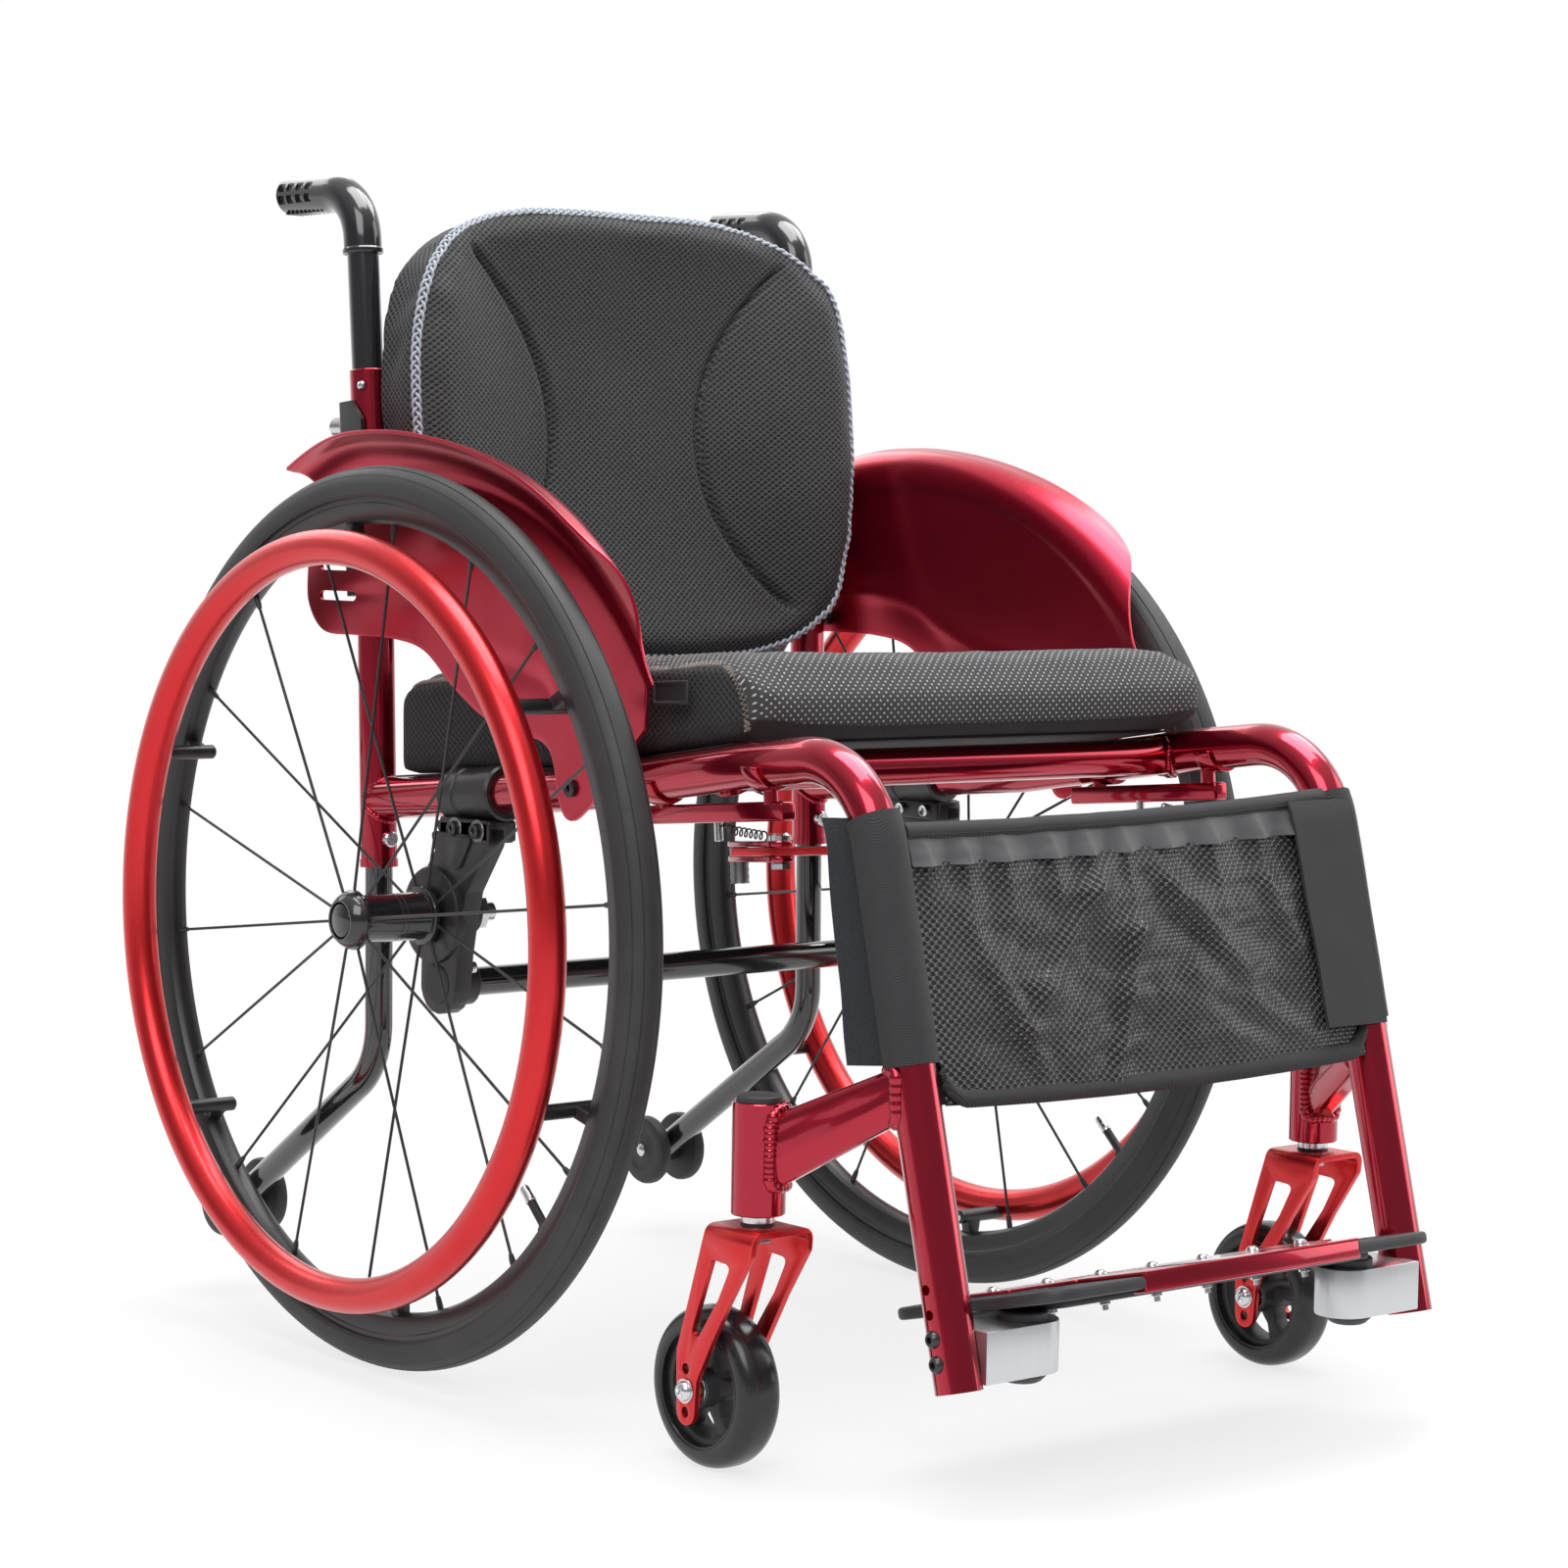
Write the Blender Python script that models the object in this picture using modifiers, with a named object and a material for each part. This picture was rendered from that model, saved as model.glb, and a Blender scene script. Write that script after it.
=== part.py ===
"""Active wheelchair: welded side frames, spoked rear wheels, casters and a fold-down backrest.

Metres, +Z up. The chair faces -Y and its left side is +X. Heights are above the floor, and Y values
are measured from the rear axle until centre_on_floor() puts the origin in the middle of the footprint.
Paired pieces are modelled for the left side and mirrored.
"""

import math

import bmesh
import bpy
from mathutils import Matrix, Vector

# Clearances
GAP = 0.0003                    # between pieces that touch
RUNNING = 0.0005                # round shafts that turn
SIDES = ((1, "left"), (-1, "right"))

# Frame tubes; a place in the side view is (y, z)
RAIL_X = 0.194                  # half the width between the side frames
TUBE_RADIUS = 0.0142
RAIL_REAR = (0.0920, 0.3716)
RAIL_MID = (-0.1427, 0.3927)
RAIL_FRONT = (-0.3147, 0.4187)
FRONT_CORNER = (-0.4236, 0.4313)
LEG_FOOT = (-0.5150, 0.0700)
CORNER_BEND = 0.062
RAIL_BEND = 0.30
UPRIGHT_RADIUS = 0.0127
UPRIGHT_FOOT = (0.0912, 0.3246)
UPRIGHT_LEAN = 0.0400           # rearward run for each metre of height
CROSS_Y = -0.3000
CROSS_RADIUS = 0.0122

# Rear wheels
WHEEL_RADIUS = 0.300            # 24 inch wheel; the axle's height too
WHEEL_STEPS = 32
TYRE_HEIGHT = 0.0200
RIM_HALF_WIDTH = 0.0108
RIM_DEPTH = 0.0185
TYRE_HALF_WIDTH = RIM_HALF_WIDTH + 0.0037
RIM_SEAT_RADIUS = WHEEL_RADIUS - TYRE_HEIGHT
RIM_INNER_RADIUS = RIM_SEAT_RADIUS - RIM_DEPTH
HANDRIM_TUBE = 0.0118
HANDRIM_RADIUS = RIM_INNER_RADIUS - 0.0156
FINGER_GAP = 0.0144
HANDRIM_OFFSET = TYRE_HALF_WIDTH + FINGER_GAP + HANDRIM_TUBE
TAB_COUNT = 6
TAB_FIRST = 23.0                # degrees from the rear, counted upwards
TAB_WIDTH = 0.009
TAB_DEPTH = 0.0085
SPOKE_COUNT = 18
SPOKE_FIRST = 13.0
SPOKE_RADIUS = 0.0012
VALVE_ANGLE = -137.0
VALVE_LENGTH = 0.034
VALVE_RADIUS = 0.0034
HUB_OUTER = 0.0316              # outboard of the wheel plane
HUB_INNER = 0.0376              # inboard of it
HUB_BARREL = 0.0160
HUB_FLANGE = 0.0200
HUB_STEPS = 14
FLANGE_OUT = HUB_OUTER - 0.0105
FLANGE_IN = 0.0046 - HUB_INNER
FLANGE_WIDTH = 0.0032
BUTTON_RADIUS = 0.0118
BUTTON_TRAVEL = 0.003
BUTTON_LENGTH = 0.006
AXLE_RADIUS = 0.00635           # half-inch quick-release axle

# Axle plates and camber tube
PLATE_INNER = RAIL_X + 0.0015
PLATE_OUTER = PLATE_INNER + 0.0140
BOSS_RADIUS = 0.033
BOSS_OUTER = PLATE_OUTER + 0.0050
HUB_CLEARANCE = 0.0010
WHEEL_X = BOSS_OUTER + HUB_CLEARANCE + HUB_INNER
RECEIVER_RADIUS = 0.0140
RECEIVER_INNER = PLATE_INNER - 0.0165
AXLE_INNER = RECEIVER_INNER - 0.0165
CLAMP_CENTRE_Y = -0.033
CLAMP_LENGTH = 0.058
CLAMP_WALL = 0.0045
CAMBER_Y = -0.004
CAMBER_DROP = 0.0465            # below the axle
CAMBER_Z = WHEEL_RADIUS - CAMBER_DROP
CAMBER_RADIUS = 0.0098
CAMBER_HALF = PLATE_OUTER - 0.0027
LOBE_RADIUS = CAMBER_RADIUS + 0.0102

# Fenders
FENDER_SHEET = 0.0025
FENDER_X = RAIL_X + 0.0200
CREASE_RADIUS = WHEEL_RADIUS - 0.0090
FENDER_RADIUS = WHEEL_RADIUS + 0.0250
FENDER_REACH = 0.0255           # how far the flange curls outboard
FENDER_REAR = 64.7              # degrees round the axle
FENDER_FRONT = 146.0
FENDER_BOLT_Y = -0.1630

# Casters
CASTER_RADIUS = 0.049
CASTER_WIDTH = 0.029
CASTER_STEPS = 20
CASTER_X = RAIL_X + 0.046
CASTER_Y = -0.386
CASTER_TRAIL = 0.037
CASTER_CORE_RADIUS = CASTER_RADIUS - 0.0150
CASTER_AXLE_RADIUS = 0.0040
FORK_PLATE = 0.004
FORK_INNER = CASTER_WIDTH + 0.0100    # between the blades
CORE_THICKNESS = 0.016
CORE_HUB_RADIUS = 0.0115
CORE_HUB_LENGTH = FORK_INNER - 0.0070
CORE_SPOKES = 5
CROWN_TOP = 2 * CASTER_RADIUS + 0.0545
HEAD_BOTTOM = CROWN_TOP + 0.0065
HEAD_TOP = HEAD_BOTTOM + 0.0670
HEAD_RADIUS = 0.01625
DUST_CAP = 0.0042
STEM_RADIUS = 0.006
ARM_WIDTH = 0.022
ARM_HEIGHT = 0.038
ARM_TIP_Z = HEAD_BOTTOM + 0.0325
ARM_ROOT = (-0.4745, ARM_TIP_Z + 0.0510)    # on the leg's axis

# Back hinge and canes
HINGE_Z = 0.555
CANE_LEAN = 0.0911
HANDLE_RADIUS = 0.0110
CANE_BORE = HANDLE_RADIUS + GAP
CANE_RADIUS = CANE_BORE + 0.0014
CANE_TOP = HINGE_Z + 0.112
HINGE_PIN_RADIUS = 0.0030
BRACKET_FOOT = HINGE_Z - 0.043
BRACKET_TOP = HINGE_Z + 0.091
BRACKET_WALL = 0.003
LOCK_HEIGHT = BRACKET_TOP - 0.018
LOCK_TRAVEL = 0.006
LOCK_RADIUS = 0.0032
KNOB_RADIUS = 0.0070
KNOB_LENGTH = 0.0265

# Push handles
HANDLE_FOOT = HINGE_Z + 0.020
HANDLE_CORNER_Z = 0.7835
HANDLE_BEND = 0.036
HANDLE_END = (0.222, HANDLE_CORNER_Z + 0.0030)
GRIP_WALL = 0.0018
GRIP_RADIUS = HANDLE_RADIUS + GAP + GRIP_WALL
GRIP_START = HANDLE_CORNER_Z - 0.0365
SNAP_HEIGHT = CANE_TOP - 0.011
SNAP_RADIUS = 0.0030
SNAP_PITCH = 0.020
SNAP_HOLES = 4

# Anti-tip bars
TIP_RADIUS = 0.0096
TIP_BEND = 0.055
TIP_CORNER = (0.0893, 0.1860)
TIP_AXLE = (0.2660, 0.0680)
TIP_AXLE_RADIUS = 0.0037
TIP_WHEEL_RADIUS = 0.0270
TIP_WHEEL_WIDTH = 0.011
TIP_INSERT = 0.045

# Brakes, modelled level about the lever's bolt and tilted with the rail
BRAKE_Y = -0.337
BRAKE_DROP = 0.0536             # of the bolt's centre below the rail's axis
BRAKE_INSET = 0.007             # of the bolt from the rail's axis
BRAKE_TILT = math.radians(-5.0)
BRAKE_BAR = (0.012, 0.140, 0.012)
BRAKE_ARM_LENGTH = 0.0655
BRAKE_ARM_STOWED = math.radians(106.3)
BRAKE_PLATE = 0.0035
BRAKE_LEVER = 0.0052
BRAKE_BOLT_RADIUS = 0.0030
STUB_RADIUS = 0.0060

# Seat
SLING_HALF = RAIL_X - 0.004
SLING_THICKNESS = 0.005
SEAT_REAR = UPRIGHT_FOOT[0] - UPRIGHT_RADIUS - 0.0010
SEAT_FRONT = -0.3230
CUSHION_HALF = RAIL_X - 0.004
CUSHION_TOP_REAR = 0.4560
CUSHION_TOP_FRONT = 0.4860

# Back pad, in the canes' frame: right, forward of the canes, up from the hinge
PAD_HALF = RAIL_X + 0.006
PAD_FOOT = CUSHION_TOP_REAR + 0.013 - HINGE_Z
PAD_HEAD = 0.243
PAD_THICKNESS = 0.053
PAD_WAIST = RAIL_X - 0.0175      # half width low down, so that it folds between the uprights
PAD_SHOULDER = 0.060

# Footrest
BLOCK_INNER = RAIL_X - 0.076
BLOCK_DEPTH = 0.040
BLOCK_HEIGHT = 0.031
BLOCK_Z = 0.0905
BLOCK_BOLT = 0.0040
SPACER_RADIUS = 0.0105
LEG_BOLTS = (BLOCK_Z - 0.0035, BLOCK_Z + 0.0105)
BOARD_CENTRE = (-0.4875, BLOCK_Z + BLOCK_HEIGHT / 2 + 0.0120)
BOARD_TILT = math.radians(-9.5)
BOARD_HALF = RAIL_X - TUBE_RADIUS - 0.0148
BOARD_DEPTH = 0.150
BOARD_THICKNESS = 0.0075
CHANNEL_HALF = 0.092
CHANNEL_SHEET = 0.0025
CHANNEL_LIP = 0.0032
SCREW_PITCH = 0.0442
SCREW_COUNT = 7
SCREW_Y = 0.0125

# Calf strap
POUCH_TOP = 0.400
POUCH_FOOT = ARM_ROOT[1] - 0.0065
STRAP_FOOT = ARM_ROOT[1] + 0.0195
STRAP_WALL = 0.0030
POUCH_AHEAD = 0.0060            # of the legs' axes
POUCH_THICKNESS = 0.0070

RED = ((0.55, 0.02, 0.05), 0.25, 0.7)
SATIN_RED = ((0.50, 0.03, 0.06), 0.45, 0.5)
BRIGHT_RED = ((0.75, 0.04, 0.04), 0.35, 0.6)
BLACK_METAL = ((0.02, 0.02, 0.02), 0.4, 0.6)
GLOSS_BLACK = ((0.01, 0.01, 0.012), 0.12, 0.0)
SOFT_BLACK = ((0.03, 0.03, 0.032), 0.85, 0.0)
RUBBER = ((0.04, 0.04, 0.042), 0.75, 0.0)
STEEL = ((0.75, 0.75, 0.77), 0.3, 1.0)

ORIGINS = {}


def new_collection(name):
    collection = bpy.data.collections.new(name)
    bpy.context.scene.collection.children.link(collection)
    return collection


def finish(name, look):
    colour, roughness, metallic = look
    material = bpy.data.materials.new(name)
    material.use_nodes = True
    shader = material.node_tree.nodes["Principled BSDF"]
    shader.inputs["Base Color"].default_value = (*colour, 1.0)
    shader.inputs["Roughness"].default_value = roughness
    shader.inputs["Metallic"].default_value = metallic
    return material


def pivot(name, place, parent=None, turn=(0.0, 0.0, 0.0)):
    """An empty at a joint, with its place and turn given in the chair's frame."""
    empty = bpy.data.objects.new(name, None)
    CHAIR.objects.link(empty)
    own = Matrix.Translation(place) @ Matrix.Rotation(turn[0], 4, "X")
    above = ORIGINS[parent.name] if parent else Matrix.Identity(4)
    empty.parent = parent
    empty.matrix_local = above.inverted() @ own
    ORIGINS[name] = own
    return empty


def put(name, mesh, look, parent, angle=35.0):
    """Name a mesh that is modelled in the chair's frame and hang it on its pivot."""
    mesh.transform(ORIGINS[parent.name].inverted())
    mesh.name = name
    obj = bpy.data.objects.new(name, mesh)
    CHAIR.objects.link(obj)
    obj.parent = parent
    mesh.materials.clear()
    mesh.materials.append(finish(name, look))
    mesh.shade_smooth()
    mesh.set_sharp_from_angle(angle=math.radians(angle))
    return obj


def from_bmesh(bm, weld=True):
    if weld:
        bmesh.ops.remove_doubles(bm, verts=bm.verts, dist=1e-6)
    bmesh.ops.recalc_face_normals(bm, faces=bm.faces)
    mesh = bpy.data.meshes.new("work")
    bm.to_mesh(mesh)
    bm.free()
    return mesh


def evaluated(obj):
    """The mesh of an object with its modifiers or bevel made real; the object goes."""
    bpy.context.view_layer.update()
    graph = bpy.context.evaluated_depsgraph_get()
    mesh = bpy.data.meshes.new_from_object(obj.evaluated_get(graph))
    bpy.data.objects.remove(obj, do_unlink=True)
    bm = bmesh.new()
    bm.from_mesh(mesh)
    return from_bmesh(bm)


def boolean(mesh, others, operation):
    base = bpy.data.objects.new("work", mesh)
    CUTTERS.objects.link(base)
    tools = []
    for other in others:
        tool = bpy.data.objects.new("tool", other)
        tool.display_type = "WIRE"
        tool.hide_render = True
        CUTTERS.objects.link(tool)
        tools.append(tool)
        step = base.modifiers.new(operation.lower(), "BOOLEAN")
        step.operation = operation
        step.solver = "EXACT"
        step.object = tool
    result = evaluated(base)
    for tool in tools:
        bpy.data.objects.remove(tool, do_unlink=True)
    return result


def fused(mesh, *others):
    return boolean(mesh, others, "UNION")


def carved(mesh, *cutters):
    return boolean(mesh, cutters, "DIFFERENCE")


def moved(mesh, matrix):
    copy = mesh.copy()
    copy.transform(matrix)
    if matrix.determinant() < 0:
        copy.flip_normals()
    return copy


def on_side(mesh, side):
    """The mesh itself for the left side, its mirror image for the right one."""
    return moved(mesh, Matrix.Diagonal((side, 1.0, 1.0, 1.0)))


def aimed(start, end):
    """A matrix that stands local Z on the line from start to end, at its middle."""
    start, end = Vector(start), Vector(end)
    turn = (end - start).to_track_quat("Z", "Y").to_matrix().to_4x4()
    return Matrix.Translation((start + end) / 2) @ turn


def rod(start, end, radius, sides=10, tip=None):
    """A round bar; with tip it tapers to that radius."""
    bm = bmesh.new()
    bmesh.ops.create_cone(
        bm,
        cap_ends=True,
        segments=sides,
        radius1=radius,
        radius2=radius if tip is None else tip,
        depth=(Vector(end) - Vector(start)).length,
        matrix=aimed(start, end) @ Matrix.Rotation(math.pi / sides, 4, "Z"),
    )
    return from_bmesh(bm)


def box(size, centre, bevel=0.0, turn=None):
    bm = bmesh.new()
    bmesh.ops.create_cube(bm, size=1.0, matrix=Matrix.Diagonal((*size, 1.0)))
    if bevel:
        bmesh.ops.bevel(bm, geom=bm.edges[:], offset=bevel, segments=1, affect="EDGES")
    place = Matrix.Translation(centre)
    bm.transform(place @ turn if turn else place)
    return from_bmesh(bm)


def rounded(points, radii, steps=5):
    """A path through points whose inner corners are arcs of the given radii."""
    points = [Vector(p) for p in points]
    path = [points[0]]
    for before, corner, after, radius in zip(points, points[1:], points[2:], radii):
        back = (before - corner).normalized()
        ahead = (after - corner).normalized()
        half = back.angle(ahead) / 2
        reach = radius / math.tan(half)
        centre = corner + (back + ahead).normalized() * (radius / math.sin(half))
        start = (corner + back * reach - centre).normalized()
        end = (corner + ahead * reach - centre).normalized()
        for i in range(steps + 1):
            path.append(centre + start.slerp(end, i / steps) * radius)
    path.append(points[-1])
    return path


def tube(path, radius, resolution=4):
    """A bar swept along a path: a poly spline with a round bevel and filled caps."""
    curve = bpy.data.curves.new("work", "CURVE")
    curve.dimensions = "3D"
    curve.bevel_depth = radius
    curve.bevel_resolution = resolution
    curve.use_fill_caps = True
    spline = curve.splines.new("POLY")
    spline.points.add(len(path) - 1)
    for point, place in zip(spline.points, path):
        point.co = (*place, 1.0)
    obj = bpy.data.objects.new("work", curve)
    CUTTERS.objects.link(obj)
    return evaluated(obj)


def slab(outline, thickness, holes=()):
    """A flat sheet in local XY, its thickness centred on Z = 0."""
    curve = bpy.data.curves.new("work", "CURVE")
    curve.dimensions = "2D"
    curve.fill_mode = "BOTH"
    curve.extrude = thickness / 2
    for loop in (outline, *holes):
        spline = curve.splines.new("POLY")
        spline.use_cyclic_u = True
        spline.points.add(len(loop) - 1)
        for point, place in zip(spline.points, loop):
            point.co = (place[0], place[1], 0.0, 1.0)
    obj = bpy.data.objects.new("work", curve)
    CUTTERS.objects.link(obj)
    return evaluated(obj)


def side_plane(x):
    """Stands a slab's XY in the chair's YZ plane at x."""
    return Matrix(((0, 0, 1, x), (1, 0, 0, 0), (0, 1, 0, 0), (0, 0, 0, 1)))


def circle(centre, radius, count, start=0.0, sweep=360.0):
    """Points round a centre; a part circle keeps both its ends."""
    spans = count if sweep == 360.0 else count - 1
    angles = [math.radians(start + sweep * i / spans) for i in range(count)]
    return [(centre[0] + radius * math.cos(a), centre[1] + radius * math.sin(a)) for a in angles]


def turned(profile, steps, closed=True):
    """Revolve (radius, height) points about Z with a Screw, flats at the four quarters."""
    half = math.pi / steps
    stretch = 1.0 / math.cos(half)
    mesh = bpy.data.meshes.new("work")
    points = [
        (r * stretch * math.cos(half), r * stretch * math.sin(half), z) for r, z in profile
    ]
    count = len(points)
    edges = [(i, i + 1) for i in range(count - 1)]
    if closed:
        edges.append((count - 1, 0))
    mesh.from_pydata(points, edges, [])
    obj = bpy.data.objects.new("work", mesh)
    CUTTERS.objects.link(obj)
    screw = obj.modifiers.new("turn", "SCREW")
    screw.steps = steps
    screw.render_steps = steps
    screw.use_merge_vertices = True
    screw.merge_threshold = 1e-5
    return evaluated(obj)


def across(place):
    """Lays a turned shape's axis along X at a place, its height pointing left."""
    return Matrix.Translation(place) @ Matrix.Rotation(math.pi / 2, 4, "Y")


def line_at(points, y):
    """Height of a polyline of (y, z) points at y."""
    for (y0, z0), (y1, z1) in zip(points, points[1:]):
        if min(y0, y1) <= y <= max(y0, y1):
            return z0 + (z1 - z0) * (y - y0) / (y1 - y0)
    (y0, z0), (y1, z1) = points[:2]
    return z0 + (z1 - z0) * (y - y0) / (y1 - y0)


def rail_z(y):
    return line_at((RAIL_REAR, RAIL_MID, RAIL_FRONT, FRONT_CORNER), y)


def leg_y(z):
    (y0, z0), (y1, z1) = FRONT_CORNER, LEG_FOOT
    return y0 + (y1 - y0) * (z - z0) / (z1 - z0)


def upright_y(z):
    return UPRIGHT_FOOT[0] + UPRIGHT_LEAN * (z - UPRIGHT_FOOT[1])


def cane_y(z):
    return upright_y(HINGE_Z) + CANE_LEAN * (z - HINGE_Z)


def leg_line(radius, sides=16):
    """A straight cutter along the front leg, longer than it at both ends."""
    low, high = LEG_FOOT[1] - 0.05, FRONT_CORNER[1]
    return rod((RAIL_X, leg_y(low), low), (RAIL_X, leg_y(high), high), radius, sides)


def upright_line(radius, low, high, sides=16):
    return rod((RAIL_X, upright_y(low), low), (RAIL_X, upright_y(high), high), radius, sides)


def rail_line(radius):
    path = [(RAIL_X, y, z) for y, z in ((RAIL_REAR, RAIL_MID, RAIL_FRONT, FRONT_CORNER))]
    return tube(path, radius)


# Frame

def side_path():
    """The side tube's axis: from the upright, along the seat, round the corner and down the leg."""
    corners = (RAIL_REAR, RAIL_MID, RAIL_FRONT, FRONT_CORNER, LEG_FOOT)
    return rounded([(RAIL_X, *c) for c in corners], (RAIL_BEND, RAIL_BEND, CORNER_BEND), steps=4)


def build_frame(root):
    top = HINGE_Z - CANE_RADIUS - RUNNING
    foot = UPRIGHT_FOOT[1]
    upright = upright_line(UPRIGHT_RADIUS, foot, top, 12)
    socket = upright_line(TIP_RADIUS + GAP, foot - 0.002, foot + TIP_INSERT + 0.002, 10)
    heads = []
    for z in LEG_BOLTS:
        face = RAIL_X + TUBE_RADIUS
        heads.append(rod((face - 0.003, leg_y(z), z), (face + 0.0034, leg_y(z), z), 0.0052, 8, tip=0.0040))
    clamp = foot + 0.0200
    front = upright_y(clamp) - UPRIGHT_RADIUS - 0.0050
    heads.append(rod((RAIL_X, front, clamp), (RAIL_X, front + 0.0100, clamp), 0.0055, 6))
    back = upright_y(clamp) + UPRIGHT_RADIUS + 0.0050
    heads.append(rod((RAIL_X, back, clamp), (RAIL_X, back - 0.0100, clamp), 0.0055, 6))
    frame_side = carved(fused(tube(side_path(), TUBE_RADIUS), upright, *heads), socket)
    for side, word in SIDES:
        put("side_frame_" + word, on_side(frame_side, side), RED, root)
    cross = carved(
        rod((-RAIL_X, CROSS_Y, rail_z(CROSS_Y)), (RAIL_X, CROSS_Y, rail_z(CROSS_Y)), CROSS_RADIUS, 16),
        rail_line(TUBE_RADIUS + GAP),
        on_side(rail_line(TUBE_RADIUS + GAP), -1),
    )
    put("front_cross_tube", largest_body(cross), RED, root)


def largest_body(mesh):
    """Drops the small offcuts that a cut leaves beyond a neighbour."""
    bm = bmesh.new()
    bm.from_mesh(mesh)
    bm.verts.ensure_lookup_table()
    islands, seen = [], set()
    for vert in bm.verts:
        if vert in seen:
            continue
        stack, island = [vert], []
        seen.add(vert)
        while stack:
            current = stack.pop()
            island.append(current)
            for edge in current.link_edges:
                other = edge.other_vert(current)
                if other not in seen:
                    seen.add(other)
                    stack.append(other)
        islands.append(island)
    islands.sort(key=span)
    for island in islands[:-1]:
        bmesh.ops.delete(bm, geom=island, context="VERTS")
    return from_bmesh(bm)


def span(island):
    lows = [min(v.co[i] for v in island) for i in range(3)]
    highs = [max(v.co[i] for v in island) for i in range(3)]
    return sum(high - low for low, high in zip(lows, highs))


def build_caster_arms(root):
    root_point = Vector((RAIL_X, *ARM_ROOT))
    tip_point = Vector((CASTER_X, CASTER_Y, ARM_TIP_Z))
    along = tip_point - root_point
    sideways = along.cross(Vector((0, 0, 1))).normalized()
    upwards = sideways.cross(along).normalized()
    turn = Matrix((sideways, along.normalized(), upwards)).transposed().to_4x4()
    arm = box(
        (ARM_WIDTH, along.length, ARM_HEIGHT), (root_point + tip_point) / 2, bevel=0.003, turn=turn
    )
    head = turned(
        (
            (0.0, HEAD_TOP + DUST_CAP), (HEAD_RADIUS - 0.0020, HEAD_TOP + DUST_CAP),
            (HEAD_RADIUS - 0.0006, HEAD_TOP + 0.0010), (HEAD_RADIUS, HEAD_TOP), (HEAD_RADIUS, HEAD_BOTTOM),
            (0.0, HEAD_BOTTOM),
        ),
        14,
        closed=False,
    )
    head = moved(head, Matrix.Translation((CASTER_X, CASTER_Y, 0.0)))
    bore = rod(
        (CASTER_X, CASTER_Y, HEAD_BOTTOM - 0.002),
        (CASTER_X, CASTER_Y, HEAD_TOP - 0.012),
        STEM_RADIUS + 2 * RUNNING,
        12,
    )
    arm = largest_body(carved(arm, leg_line(TUBE_RADIUS + GAP)))
    arm = carved(fused(head, arm), bore)
    for side, word in SIDES:
        put("caster_arm_" + word, on_side(arm, side), RED, root)


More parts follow.
